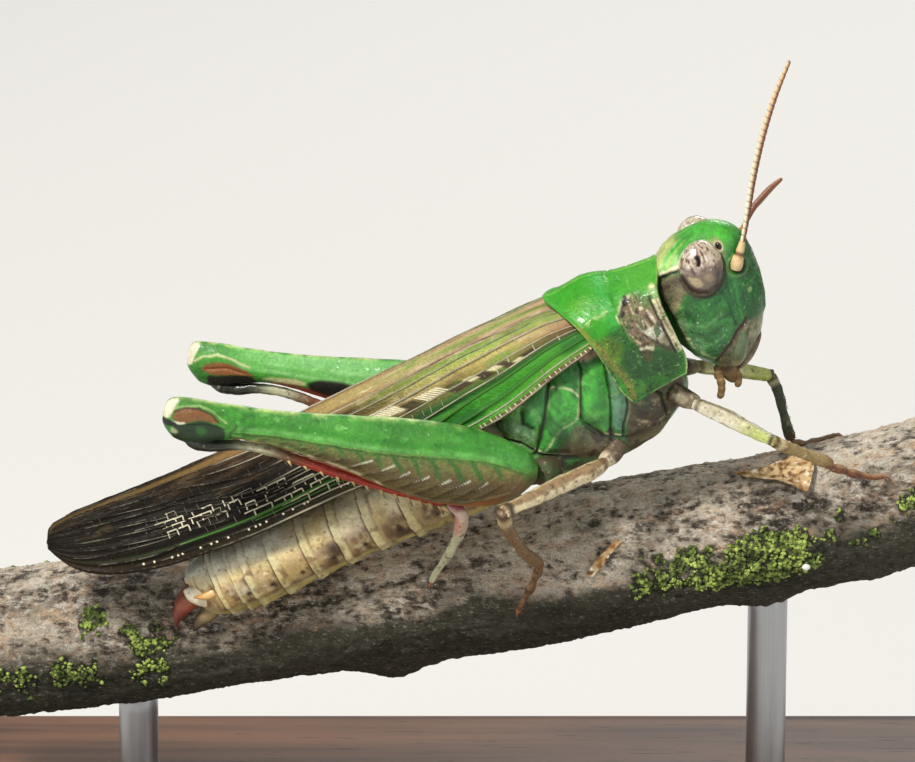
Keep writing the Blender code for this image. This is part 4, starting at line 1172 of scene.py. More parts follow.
headRows = (
    (5.36, 6.85, 6.4, 0.12), (5.31, 7.15, 6.05, 0.38), (5.14, 7.5, 5.4, 0.78), (4.88, 7.78, 4.86, 1.1),
    (4.45, 8.0, 4.4, 1.42), (3.7, 8.08, 4.1, 1.65), (2.7, 8.02, 4.0, 1.82), (1.7, 7.84, 4.0, 1.92),
    (0.8, 7.42, 4.3, 1.85), (0.15, 6.95, 4.7, 1.5), (-0.32, 6.45, 5.05, 1.1), (-0.46, 6.15, 5.35, 0.75))
skull = {"rows": 200, "around": 360, "furrow": 0.055, "cheek": 0.08}
eye = {"rows": 130, "around": 180, "at": (6.17, -1.38, 4.14), "radii": (0.87, 0.66, 1.14), "lean": 20.0, "turn": 12.0}
headMarks = (
    ("area", (40, 104, 42), [(4.2, 3.0), (5.3, 3.3), (6.1, 3.0), (6.9, 3.9), (6.9, 1.3), (6.3, 1.1), (5.0, 0.0),
        (4.3, 1.2)], 0.25, 0.9),
    ("area", (104, 150, 104), [(4.35, 2.55), (4.75, 2.5), (5.05, 1.9), (5.1, 1.2), (4.8, 0.6), (4.5, 1.2)],
        0.22, 0.8),
    ("area", (66, 132, 66), [(5.2, 1.9), (5.9, 2.2), (6.5, 1.6), (6.2, 1.2), (5.6, 1.1)], 0.25, 0.5),
    ("area", (24, 76, 34), [(5.1, 1.4), (5.9, 1.25), (5.6, 0.6), (5.1, 0.35)], 0.2, 0.7),
    ("line", (22, 84, 46), [(6.45, 3.25), (6.62, 2.5), (6.5, 1.5)], 0.05, 0.12, 0.8),
    ("area", (128, 112, 90), [(4.3, 4.08), (4.6, 4.32), (5.35, 4.35), (5.45, 3.6), (5.1, 3.4), (4.7, 3.0),
        (4.4, 2.8), (4.22, 3.0), (4.2, 3.7)], 0.12, 0.92),
    ("area", (150, 146, 108), [(4.4, 3.3), (4.9, 3.2), (4.7, 2.7), (4.55, 2.0), (4.45, 1.7), (4.3, 2.4)], 0.2, 0.5),
    ("line", (70, 56, 46), [(4.5, 3.95), (4.9, 4.05), (5.3, 4.0)], 0.1, 0.12, 0.6),
    ("area", (106, 102, 72), [(6.88, 1.45), (6.39, 1.22), (6.06, 0.97), (5.63, 0.71), (5.08, 0.33), (4.8, -0.8),
        (7.4, -0.8), (7.6, 0.9)], 0.05, 0.95),
    ("area", (150, 142, 104), [(6.75, 3.75), (7.0, 3.75), (7.3, 4.2), (7.28, 4.75), (7.0, 4.95), (6.8, 4.85)],
        0.13, 0.75),
    ("line", (122, 176, 110), [(4.7, 2.3), (5.4, 2.0), (6.1, 2.2)], 0.06, 0.12, 0.5),
    ("line", (20, 74, 32), [(4.75, 1.95), (5.3, 1.65), (6.2, 1.75)], 0.07, 0.1, 0.6),
    ("line", (112, 168, 100), [(4.85, 1.35), (5.4, 1.2), (6.0, 1.35)], 0.06, 0.08, 0.5),
    ("line", (22, 78, 36), [(4.9, 2.75), (5.6, 2.5), (6.3, 2.8)], 0.1, 0.1, 0.5),
    ("line", (200, 214, 168), [(4.3, 4.4), (4.8, 4.68), (5.4, 4.8)], 0.14, 0.16, 0.6),
    ("line", (236, 228, 196), [(4.15, 4.2), (4.39, 4.27), (4.74, 4.46), (5.3, 4.52), (5.5, 4.6)], 0.08, 0.05, 0.95),
    ("line", (24, 18, 12), [(4.26, 4.0), (4.36, 4.16), (4.5, 4.3), (4.87, 4.4), (5.27, 4.38), (5.5, 4.42)],
        0.05, 0.035, 0.95),
    ("line", (56, 38, 26), [(4.3, 4.05), (4.2, 3.65), (4.29, 3.14), (4.34, 2.42), (4.34, 1.84), (4.35, 1.26),
        (4.44, 0.98), (4.66, 0.53), (4.82, 0.04)], 0.06, 0.04, 0.95),
    ("line", (196, 178, 130), [(4.5, 1.7), (4.58, 1.3), (4.75, 0.95), (5.11, 0.56), (5.3, 0.4)], 0.05, 0.05, 0.7),
    ("area", (146, 138, 108), [(6.4, 1.1), (6.75, 1.25), (7.3, 0.95), (7.2, 0.3), (6.49, 0.45), (6.2, 0.7)],
        0.08, 0.8),
    ("line", (66, 26, 16), [(6.9, 1.46), (6.79, 1.3), (6.39, 1.2), (6.06, 0.97), (5.63, 0.71), (5.08, 0.33)],
        0.06, 0.045, 0.95),
    ("line", (40, 26, 18), [(6.9, 1.15), (6.6, 0.75), (6.5, 0.3)], 0.035, 0.03, 0.85))
furrows = (
    [(6.45, 3.2), (6.6, 2.5), (6.5, 1.5)],
    [(6.85, 1.42), (6.39, 1.2), (6.06, 0.97), (5.63, 0.71), (5.08, 0.33)],
    [(4.3, 4.1), (4.9, 4.4), (5.5, 4.42)])
glints = (
    (4.8, 2.84), (5.27, 2.7), (4.93, 2.55), (5.21, 2.1), (5.66, 1.62), (5.95, 1.62), (5.9, 1.39), (4.73, 1.92),
    (5.8, 2.13), (5.35, 1.82), (4.54, 1.53), (6.1, 1.95), (5.5, 1.3), (6.3, 2.3))

ocelli = ((7.11, 0.98, 4.56), (8.03, 0.0, 3.3))


def eyeFrame(sign):
    turn = np.array(Matrix.Rotation(math.radians(-sign * eye["turn"]), 3, "Z")
                    @ Matrix.Rotation(math.radians(eye["lean"]), 3, "Y"))
    at = np.array(eye["at"])
    at[1] = sign * abs(at[1])
    return at, turn


def eyeDepth(points, sign):
    # 1 on the eye's surface, less inside it
    at, turn = eyeFrame(sign)
    return np.linalg.norm(((points - at) @ turn) / np.array(eye["radii"]), axis=-1)


def headGrid():
    z, front, back, half = evenly(headRows, skull["rows"]).T
    a = circle(skull["around"])
    along = 0.5 + 0.5 * np.cos(a)
    narrow = 1 - 0.3 * np.clip(along - 0.35, 0, 1) / 0.65
    side = np.sign(np.sin(a)) * np.abs(np.sin(a)) ** np.where(np.cos(a) < 0, 0.85 - 0.3 * np.abs(np.cos(a)), 0.85)
    return np.stack([back[:, None] + (front - back)[:, None] * along, half[:, None] * narrow * side,
                     np.repeat(z[:, None], len(a), 1)], -1), back


def makeHead():
    grid, back = headGrid()
    n = facing(grid)
    px, py, pz = np.moveaxis(grid, -1, 0)
    wx, wz = px + 0.03 * cloud(grid, 0.4, 3, 2), pz + 0.03 * cloud(grid, 0.4, 4, 2)
    wide = np.abs(py)
    side = rise(0.35, 0.8, wide)
    face = rise(6.9, 7.3, px + 0.25 * wide)
    coat = Coat(plain(px.shape, (44, 134, 46)))
    coat((70, 166, 54), rise(4.0, 4.7, pz))
    # the lower front of the face painted darker green as shade
    coat((26, 100, 34), face * rise(4.3, 3.6, pz))
    coat.marks(wx, wz, headMarks, side)
    costa = 1 - rise(0.3, 0.42, wide + 0.05 * cloud(grid, 0.6, 7))
    onFace = rise(7.2, 7.5, px) * rise(4.6, 4.2, pz) * rise(0.9, 1.3, pz)
    # a dark stripe along the frontal ridge, painted as shade
    coat((24, 84, 36), costa * onFace * 0.7)
    coat((110, 146, 80), bell(wide - 0.37, 0.05) * onFace * 0.6)
    coat((146, 140, 104), rise(1.35, 0.95, pz) * rise(6.6, 6.9, px) * 0.8)
    coat.specks(grid * (1, 1, 0.7), 0.22, 12, (28, 96, 44), 0.22, 0.5, rise(4.4, 3.8, pz))
    coat.specks(grid, 0.09, 13, (64, 52, 38), 0.08, 0.6, side * rise(4.6, 4.1, pz) * rise(6.6, 6.0, px))
    rear = px - back[:, None]
    rim = (1 - rise(0.06, 0.2, rear)) * rise(3.5, 4.2, pz) * (1 - rise(5.15, 5.3, pz))
    coat((204, 204, 128), rim * 0.9)
    coat((176, 196, 104), (1 - rise(0.02, 0.14, np.abs(rear - 0.42))) * rise(4.3, 4.6, pz)
        * (1 - rise(5.1, 5.25, pz)) * 0.6)
    coat.shade(1 + 0.24 * cloud(grid, 0.5, 61, 3) + 0.15 * cloud(grid, 0.14, 62, 2))
    coat((20, 62, 28), rise(0.15, 0.5, cloud(grid * (1, 1, 1.6), 0.35, 63, 3)) * side * rise(3.4, 2.8, pz) * 0.4)
    crown = bell(py, 0.05) * rise(4.6, 4.9, pz)
    coat((150, 205, 120), crown * 0.5)
    near = np.minimum(eyeDepth(grid, 1), eyeDepth(grid, -1))
    ring = bell(near - 1.13, 0.06)
    coat((54, 44, 34), bell(near - 1.04, 0.07) * 0.85 * rise(4.5, 3.9, pz))
    coat((176, 190, 140), bell(near - 1.06, 0.08) * 0.7 * rise(4.2, 4.8, pz))
    socket = np.sqrt((px - 7.42) ** 2 * 0.5 + (wide - 0.96) ** 2 + (pz - 3.5) ** 2)
    coat((64, 52, 34), (1 - rise(0.24, 0.34, socket)) * 0.9)
    coat((150, 160, 100), bell(socket - 0.42, 0.05) * 0.55)
    coat((196, 200, 130), stroke(px, pz, [(7.93, 4.1), (7.95, 3.6), (7.9, 3.15)], 0.03, 0.05) * side * 0.8)
    coat((176, 196, 130), (1 - rise(0.06, 0.14, np.hypot(px - 7.49, pz - 2.38))) * side * 0.8)
    for (mx, my, mz), size in zip(ocelli, (0.15, 0.13)):
        away = np.sqrt((px - mx) ** 2 + (wide - my) ** 2 + ((pz - mz) * 0.7) ** 2)
        coat((226, 210, 172), 1 - rise(size, size + 0.06, away))
        coat((20, 14, 10), 1 - rise(size - 0.05, size, away))
    lift = 0.02 * ring + 0.05 * costa * onFace - 0.055 * bell(py, 0.12) * onFace
    lift += 0.04 * bell(wide - 0.38, 0.06) * onFace
    coat((22, 72, 34), stroke(px, pz, [(6.84, 3.9), (6.83, 3.4), (6.73, 2.65), (6.58, 1.99), (6.5, 1.42)], 0.02,
        0.16) * side * 0.7)
    cheek = stroke(px, pz, [(6.96, 3.9), (6.95, 3.4), (6.85, 2.65), (6.7, 1.99), (6.62, 1.42)], 0.0, 0.14) * side
    coat((66, 156, 70), stroke(px, pz, [(7.12, 3.8), (7.12, 3.4), (7.02, 2.65), (6.87, 1.99), (6.76, 1.5)],
        0.03, 0.14) * side * 0.75)
    lift += skull["cheek"] * cheek
    for path in furrows:
        lift -= skull["furrow"] * bell(offLine(wx, wz, path), 0.06) * side
    lift += 0.05 * (bell(socket - 0.4, 0.07) - 1.2 * (1 - rise(0.2, 0.34, socket)))
    for gx, gz in glints:
        away = np.hypot(px - gx, pz - gz) + (1 - side) * 9
        lift -= 0.03 * bell(away, 0.06)
        coat((200, 226, 200), bell(away, 0.028) * 0.7 * (0.5 + 0.5 * math.sin(9 * gx + 7 * gz)))
    coat.specks(grid, 0.1, 14, (150, 190, 130), 0.12, 0.5, side * rise(3.2, 2.6, pz))
    # small near-white specks on the lower head painted as glints
    coat.specks(grid, 0.07, 15, (222, 238, 214), 0.05, 0.75, rise(3.4, 2.6, pz))
    lift += (0.05 * rim + 0.035 * cloud(grid, 0.8, 21, 2) + 0.02 * cloud(grid, 0.3, 23, 2) * rise(4.4, 3.8, pz)
             + 0.01 * cloud(grid, 0.13, 22, 2))
    grid = grid + n * lift[..., None]
    values = {"tint": coat.tint, "pitted": rise(4.8, 4.0, pz) * 0.9 + 0.1,
              "dull": 0.1 + 0.4 * patch(px, pz, headMarks[4][2], 0.1)}
    piece("headCapsule", closedSkin(grid, values), smoothShell, ["head"])
    lenses = []
    (x, y, z), front = ocelli
    for place, size in (((x, y, z), 0.09), ((x, -y, z), 0.09), (front, 0.08)):
        spot = np.unravel_index(((grid - np.array(place)) ** 2).sum(-1).argmin(), px.shape)
        lenses.append(ball(grid[spot] - n[spot] * 0.02, (size, size, size * 1.6), 18, 28, (24, 18, 14)))
    piece("ocelli", lenses, eyeLens)


def ball(at, radii, rows, around, colour):
    lat, turn = np.meshgrid(np.linspace(0.04, math.pi - 0.04, rows), circle(around), indexing="ij")
    unit = np.stack([np.sin(lat) * np.cos(turn), np.sin(lat) * np.sin(turn), np.cos(lat)], -1)
    return closedSkin(np.array(at) + unit * np.array(radii), {"tint": plain(lat.shape, colour)})


eyeMarks = (
    ("area", (120, 104, 88), [(5.2, 4.5), (5.9, 4.22), (6.7, 4.02), (7.2, 4.1), (7.1, 3.0), (5.2, 3.0)], 0.08, 0.95),
    ("area", (196, 176, 136), [(5.55, 4.25), (5.95, 4.12), (6.05, 3.75), (5.85, 3.6), (5.6, 3.85)], 0.07, 0.9),
    ("area", (176, 156, 120), [(6.15, 4.1), (6.5, 4.0), (6.5, 3.75), (6.25, 3.7)], 0.08, 0.7),
    ("line", (58, 44, 42), [(5.3, 4.7), (5.6, 4.5), (5.91, 4.32), (6.2, 4.3), (6.67, 4.14), (7.0, 4.15)], 0.03,
        0.16, 0.75),
    ("line", (56, 40, 40), [(5.4, 4.2), (5.5, 3.75), (5.75, 3.45), (6.1, 3.28), (6.5, 3.4), (6.8, 3.8)], 0.1,
        0.09, 0.85),
    # a near-white patch painted as a highlight
    ("area", (244, 234, 226), [(5.85, 4.95), (6.2, 5.2), (6.32, 4.95), (6.1, 4.75)], 0.08, 0.9),
    ("line", (120, 76, 76), [(6.35, 5.1), (6.3, 4.85), (6.22, 4.6)], 0.05, 0.05, 0.7),
    ("line", (30, 18, 16), [(6.24, 4.76), (6.2, 4.6)], 0.1, 0.05, 1.0))


def makeEyes():
    for name, sign in (("Left", 1), ("Right", -1)):
        at, turn = eyeFrame(sign)
        lat, way = np.meshgrid(np.linspace(0.015, math.pi - 0.015, eye["rows"]), circle(eye["around"]), indexing="ij")
        unit = np.stack([np.sin(lat) * np.cos(way), np.sin(lat) * np.sin(way), np.cos(lat)], -1)
        grid = at + (unit * np.array(eye["radii"])) @ turn.T
        px, _, pz = np.moveaxis(grid, -1, 0)
        wx, wz = px + 0.09 * cloud(grid, 0.2, 3, 3), pz + 0.11 * cloud(grid, 0.2, 4, 3)
        coat = Coat(plain(px.shape, (206, 190, 166)))
        coat((164, 130, 124), rise(0.0, 0.5, cloud(grid, 0.34, 51, 3)) * 0.85)
        coat((98, 72, 64), rise(0.1, 0.4, cloud(grid * (2.0, 1.5, 0.6), 0.17, 52, 3)) * 0.85)
        coat((246, 238, 224), rise(0.1, 0.4, cloud(grid * (1.6, 1.2, 0.7), 0.2, 53, 3)) * 0.85)
        coat((186, 186, 150), rise(5.0, 5.3, pz + 0.1 * cloud(grid, 0.3, 8)) * 0.6)
        coat.marks(wx, wz, eyeMarks)
        coat.specks(grid, 0.08, 54, (70, 52, 50), 0.22, 0.5)
        piece("eyeBall" + name, closedSkin(grid, {"tint": coat.tint}), eyeLens, ["eye_" + name.lower()])


feelers = {
    "right": ((8.0, -0.78, 4.22, 0.11), (8.2, -0.74, 4.5, 0.12), (8.7, -0.78, 5.28, 0.135),
        (9.42, -0.92, 6.45, 0.155), (10.43, -1.2, 7.92, 0.155), (11.6, -1.6, 9.42, 0.14),
        (12.78, -2.0, 10.7, 0.085)),
    "left": ((8.0, 1.15, 3.98, 0.11), (8.2, 1.45, 4.06, 0.12), (8.57, 2.4, 4.1, 0.15), (8.93, 3.6, 3.9, 0.16),
        (9.32, 5.0, 3.62, 0.15), (9.74, 6.55, 3.22, 0.09)),
    # shade: how much of each feeler is painted brown as shaded, the left one most
    "points": 60, "rings": 28, "slim": 0.88, "waist": 0.26, "shade": {"right": 0.06, "left": 0.4}}
rootsOfFeelers = {
    "right": ((7.3, -0.98, 3.36, 0.22), (7.46, -0.99, 3.6, 0.26), (7.66, -0.94, 3.84, 0.2),
        (7.82, -0.88, 4.02, 0.16), (8.02, -0.78, 4.26, 0.12)),
    "left": ((7.3, 0.98, 3.36, 0.22), (7.48, 1.0, 3.58, 0.26), (7.7, 1.0, 3.76, 0.2), (7.88, 1.06, 3.9, 0.16),
        (8.06, 1.2, 4.0, 0.12))}


def makeFeelers():
    for side in ("left", "right"):
        many = feelers["points"]
        middle, radius, *_ = spine(feelers[side], many, (0, 1, 0))
        start = pointMesh(middle, [(i, i + 1) for i in range(many - 1)], size=radius * feelers["slim"] * mm)
        mesh = grown(ringGrowth, start, {
            "Rings": feelers["rings"], "Steps": 8, "Sides": 18, "Waist": feelers["waist"],
            "Shade": feelers["shade"][side]}, antennaRings)
        piece("feeler" + side.capitalize(), mesh, None, ["antenna_" + side])
        grid, f, a = limb(rootsOfFeelers[side], 60, 32, (0, 1, 0), cap=0.3)
        waist = bell(f - 0.56, 0.06)
        coat = Coat(plain(f.shape, (222, 192, 142)))
        # one side of the root painted orange-brown as shaded
        coat((168, 100, 48), rise(-0.2, 0.5, np.cos(a) * (1 if side == "right" else -1)) * 0.8)
        coat((90, 50, 28), waist * 0.8)
        coat.specks(grid, 0.12, 5, (120, 80, 44), 0.25, 0.6)
        grid = grid - facing(grid) * (waist * 0.05)[..., None]
        piece("feelerRoot" + side.capitalize(), closedSkin(grid, {"tint": coat.tint, "pitted": 0.3, "dull": 0.3}),
              paleShell)


mouth = {
    "lipRows": 76, "lipAround": 120,
    "mandible": ((6.52, 1.12, 1.2, 0.26), (6.3, 1.2, 0.85, 0.38), (6.05, 1.15, 0.48, 0.45),
        (5.8, 1.0, 0.12, 0.43), (5.58, 0.75, -0.2, 0.3)),
    "palp": ((5.0, 0.8, -0.05, 0.17), (4.9, 0.98, -0.45, 0.17), (4.85, 1.05, -0.75, 0.17),
        (4.75, 1.05, -1.0, 0.15), (4.62, 1.0, -1.2, 0.15), (4.5, 0.95, -1.32, 0.1)),
    "lipPalp": ((5.5, 0.6, -0.5, 0.15), (5.55, 0.72, -0.85, 0.15), (5.45, 0.75, -1.1, 0.15),
        (5.3, 0.7, -1.28, 0.11)),
    "maxilla": ((5.35, 0.7, 0.3, 0.35), (5.3, 0.72, -0.3, 0.36), (5.3, 0.6, -0.75, 0.3), (5.3, 0.42, -1.1, 0.16)),
    "lip": ((6.95, 0.95, 0.9), (6.82, 0.2, 1.0), (6.58, -0.15, 1.0), (6.28, -0.42, 0.95), (6.0, -0.64, 0.78),
        (5.82, -0.78, 0.45), (5.72, -0.85, 0.2))}


def makeMouth():
    def soft(rows, base, dark, seed, count=80, around=44):
        grid, f, _ = limb(rows, count, around, (0, 1, 0), cap=0.6)
        coat = Coat(plain(f.shape, base))
        coat(dark, rise(0.0, 0.5, cloud(grid, 0.35, seed, 3)) * 0.75)
        coat.specks(grid, 0.1, seed + 1, (40, 30, 22), 0.18, 0.6)
        return grid, f, coat

    for side, sign in (("left", 1), ("right", -1)):
        rows = [(x, sign * y, z, r) for x, y, z, r in mouth["mandible"]]
        grid, f, coat = soft(rows, (98, 116, 78), (66, 58, 40), 61, count=100, around=72)
        coat((176, 156, 120), band(f, 0.78, 0.08, 0.08) * 0.6)
        coat((34, 24, 18), rise(0.9, 1.0, f) * 0.95)
        grid = grid + facing(grid) * (0.03 * cloud(grid, 0.45, 5, 2))[..., None]
        piece("mandible" + side.capitalize(), closedSkin(grid, {"tint": coat.tint, "pitted": 0.5, "dull": 0.2}),
            smoothShell, ["mandible_" + side])
        solids = []
        for key, joints in (("palp", 5), ("lipPalp", 3), ("maxilla", 1)):
            rows = [(x, sign * y, z, r) for x, y, z, r in mouth[key]]
            grid, f, coat = soft(rows, (124, 96, 58), (62, 44, 28), 71, count=80, around=26)
            knot = np.abs(np.sin(math.pi * joints * f)) ** 0.5 if joints > 1 else np.ones(f.shape)
            middle = grid.mean(axis=1, keepdims=True)
            grid = middle + (grid - middle) * (0.84 + 0.16 * knot)[..., None]
            coat((196, 164, 108), (1 - knot) * 0.7)
            solids.append(closedSkin(grid, {"tint": coat.tint, "pitted": 0.2, "dull": 0.3}))
        piece("palps" + side.capitalize(), solids, paleShell, ["palp_" + side])
    rows = np.array([(z, x, w) for x, z, w in mouth["lip"]])
    z, x, w = evenly(rows, mouth["lipRows"]).T
    turn = circle(mouth["lipAround"])
    u = z - z.min()
    depth = 0.34 * np.sqrt(np.clip(u / 0.22, 0.02, 1))
    side = np.sign(np.sin(turn)) * np.abs(np.sin(turn)) ** 0.75
    grid = np.stack([x[:, None] + depth[:, None] * np.cos(turn) - 0.1, 0.78 * w[:, None] * side,
                     np.repeat(z[:, None], len(turn), 1)], -1)
    px, py, pz = np.moveaxis(grid, -1, 0)
    fold = 0.8 * bell(pz - 0.28, 0.04) + 0.6 * bell(pz - 0.8, 0.05)
    notch = bell(py, 0.06) * rise(-0.3, -0.6, pz)
    coat = Coat(plain(px.shape, (142, 132, 108)))
    coat((112, 116, 88), rise(0.1, 0.7, pz) * 0.7)
    coat((98, 76, 58), rise(0.1, 0.5, cloud(grid, 0.4, 81, 3)) * 0.7)
    coat((36, 24, 18), np.clip(fold, 0, 1) * 0.85)
    coat((60, 40, 30), rise(-0.62, -0.8, pz) * 0.8)
    coat((60, 40, 30), notch * 0.7)
    grid = grid + facing(grid) * (0.02 * cloud(grid, 0.4, 8, 2) - 0.05 * np.clip(fold, 0, 1) - 0.05 * notch)[..., None]
    piece("upperLip", closedSkin(grid, {"tint": coat.tint, "pitted": 0.3, "dull": 0.3}), paleShell, ["labrum"])
# pronotum

saddle = {
    "front": ((0.0, 4.78, 4.6), (0.9, 4.56, 4.5), (1.62, 4.22, 4.3), (2.0, 3.5, 4.22), (2.2, 2.4, 4.22),
        (2.3, 1.3, 4.2), (2.22, 0.7, 3.95)),
    "back": ((0.0, 5.16, -0.1), (1.15, 4.88, 0.3), (2.12, 4.12, 0.85), (2.4, 3.2, 1.12), (2.52, 2.2, 1.25),
        (2.55, 1.2, 1.36), (2.45, 0.5, 1.6)),
    "thick": 0.16, "rows": 170, "across": 251, "hump": 0.26, "keel": 0.08}
saddleMarks = (
    ("area", (38, 106, 28), [(1.2, 3.4), (2.5, 3.5), (4.2, 3.0), (4.2, 0.9), (3.0, 0.4), (1.7, 0.5),
        (1.5, 1.5)], 0.3, 0.9),
    ("area", (22, 76, 24), [(1.9, 2.6), (2.9, 2.5), (3.9, 1.7), (4.0, 1.0), (2.6, 1.2), (1.9, 1.7)], 0.3, 0.7),
    ("area", (110, 146, 34), [(1.3, 3.5), (2.0, 3.4), (2.2, 2.7), (1.6, 2.2), (1.4, 2.8)], 0.2, 0.8),
    ("area", (74, 150, 44), [(1.7, 1.5), (2.2, 1.3), (2.4, 0.7), (1.7, 0.6)], 0.2, 0.8),
    ("area", (78, 104, 58), [(2.55, 4.1), (3.1, 4.45), (3.9, 4.25), (3.9, 3.6), (3.2, 3.5), (2.6, 3.6)], 0.16, 0.7),
    ("area", (150, 128, 100), [(2.7, 4.0), (3.05, 4.35), (3.35, 4.2), (3.2, 3.8), (2.8, 3.7)], 0.08, 0.7),
    ("area", (134, 116, 88), [(2.45, 3.8), (2.7, 4.25), (3.3, 4.4), (3.5, 4.05), (4.05, 3.6), (4.1, 2.0),
        (3.8, 1.75), (3.4, 2.3), (2.95, 2.15), (2.65, 2.7), (2.5, 3.3)], 0.12, 0.85),
    ("line", (34, 26, 16), [(2.5, 3.9), (2.75, 4.15), (3.1, 4.25)], 0.05, 0.06, 0.75),
    ("line", (232, 222, 190), [(2.52, 4.02), (2.8, 4.3), (3.2, 4.38)], 0.05, 0.05, 0.7),
    ("area", (150, 130, 102), [(2.5, 3.45), (3.1, 3.75), (3.95, 4.0), (3.95, 2.9), (3.3, 2.7), (2.9, 2.3),
        (2.65, 2.7)], 0.13, 0.9),
    ("area", (92, 122, 62), [(3.4, 4.2), (3.9, 4.15), (3.9, 3.75), (3.5, 3.7)], 0.12, 0.7),
    ("area", (104, 66, 46), [(2.75, 2.55), (3.1, 2.7), (3.15, 2.0), (2.85, 1.7), (2.65, 2.1)], 0.14, 0.6),
    ("line", (232, 220, 196), [(3.0, 3.35), (3.12, 2.95)], 0.05, 0.04, 0.8),
    ("line", (236, 224, 200), [(3.3, 3.5), (3.42, 3.0)], 0.04, 0.04, 0.7),
    ("line", (236, 224, 200), [(3.62, 3.65), (3.72, 3.1)], 0.05, 0.04, 0.8),
    ("line", (70, 52, 38), [(3.2, 3.45), (3.3, 2.95)], 0.03, 0.03, 0.7),
    ("line", (70, 52, 38), [(3.5, 3.55), (3.58, 3.05)], 0.03, 0.03, 0.7),
    ("line", (96, 74, 50), [(2.62, 3.05), (2.8, 2.6), (3.0, 2.52)], 0.035, 0.04, 0.6),
    ("line", (226, 214, 170), [(2.62, 3.1), (2.74, 2.72), (2.84, 2.6)], 0.035, 0.03, 0.8),
    ("area", (240, 238, 216), [(3.15, 3.04), (3.86, 2.98), (3.84, 2.45), (3.5, 2.5), (3.15, 2.66)], 0.06, 0.95),
    ("area", (196, 192, 160), [(3.3, 2.65), (3.8, 2.5), (3.85, 2.0), (3.5, 2.2)], 0.1, 0.7),
    ("line", (44, 34, 22), [(3.2, 2.75), (3.45, 2.3), (3.8, 1.9)], 0.06, 0.07, 0.6),
    ("line", (240, 238, 206), [(2.75, 2.4), (3.0, 2.34), (3.14, 2.25)], 0.06, 0.03, 0.95),
    ("line", (228, 216, 178), [(4.12, 4.25), (4.06, 3.8), (4.06, 3.2), (4.1, 2.5), (4.14, 1.9)], 0.17, 0.05, 0.92),
    ("line", (120, 94, 64), [(4.08, 3.9), (4.12, 3.4), (4.06, 3.0), (4.12, 2.5)], 0.03, 0.05, 0.7),
    ("line", (40, 28, 20), [(3.86, 4.0), (3.88, 3.6), (3.89, 2.99), (3.89, 2.3), (3.92, 1.7)], 0.035, 0.03, 0.9),
    ("line", (52, 36, 26), [(4.3, 4.3), (4.24, 3.98), (4.24, 3.4), (4.3, 2.74), (4.35, 2.13), (4.31, 1.4)],
        0.04, 0.03, 0.8),
    ("line", (20, 16, 10), [(2.86, 4.2), (2.98, 4.36)], 0.07, 0.04, 0.9),
    ("line", (20, 16, 10), [(2.62, 3.86), (2.72, 3.92)], 0.06, 0.04, 0.9),
    ("line", (30, 40, 16), [(3.9, 4.1), (3.95, 4.05)], 0.05, 0.04, 0.8),
    ("line", (238, 226, 176), [(2.42, 3.95), (2.45, 3.75), (2.5, 3.6)], 0.055, 0.04, 0.9))
edgeMarks = (
    ("line", (168, 144, 58), [(0.3, 4.5), (0.9, 4.05), (1.24, 3.4), (1.38, 2.69), (1.52, 2.21), (1.7, 1.72),
        (1.74, 1.29), (1.66, 0.8)], 0.15, 0.12, 0.7),
    ("line", (214, 204, 138), [(-0.1, 4.72), (0.28, 4.46), (0.84, 4.0), (1.13, 3.2), (1.26, 2.2), (1.37, 1.2),
        (1.6, 0.5)], 0.03, 0.03, 0.75),
    ("line", (222, 220, 176), [(2.4, 0.55), (3.2, 0.62), (3.95, 0.7), (4.2, 1.3), (4.22, 1.6)], 0.035, 0.03, 0.8),
    ("line", (180, 200, 110), [(4.6, 4.78), (4.5, 4.56), (4.3, 4.22), (4.22, 3.7)], 0.03, 0.05, 0.7))

creases = (
    [(3.86, 4.0), (3.89, 2.99), (3.89, 2.3), (3.92, 1.7)], [(2.5, 3.7), (2.62, 3.1), (2.84, 2.5), (3.3, 2.4)],
    [(2.9, 4.3), (3.0, 3.6), (3.4, 3.4)])


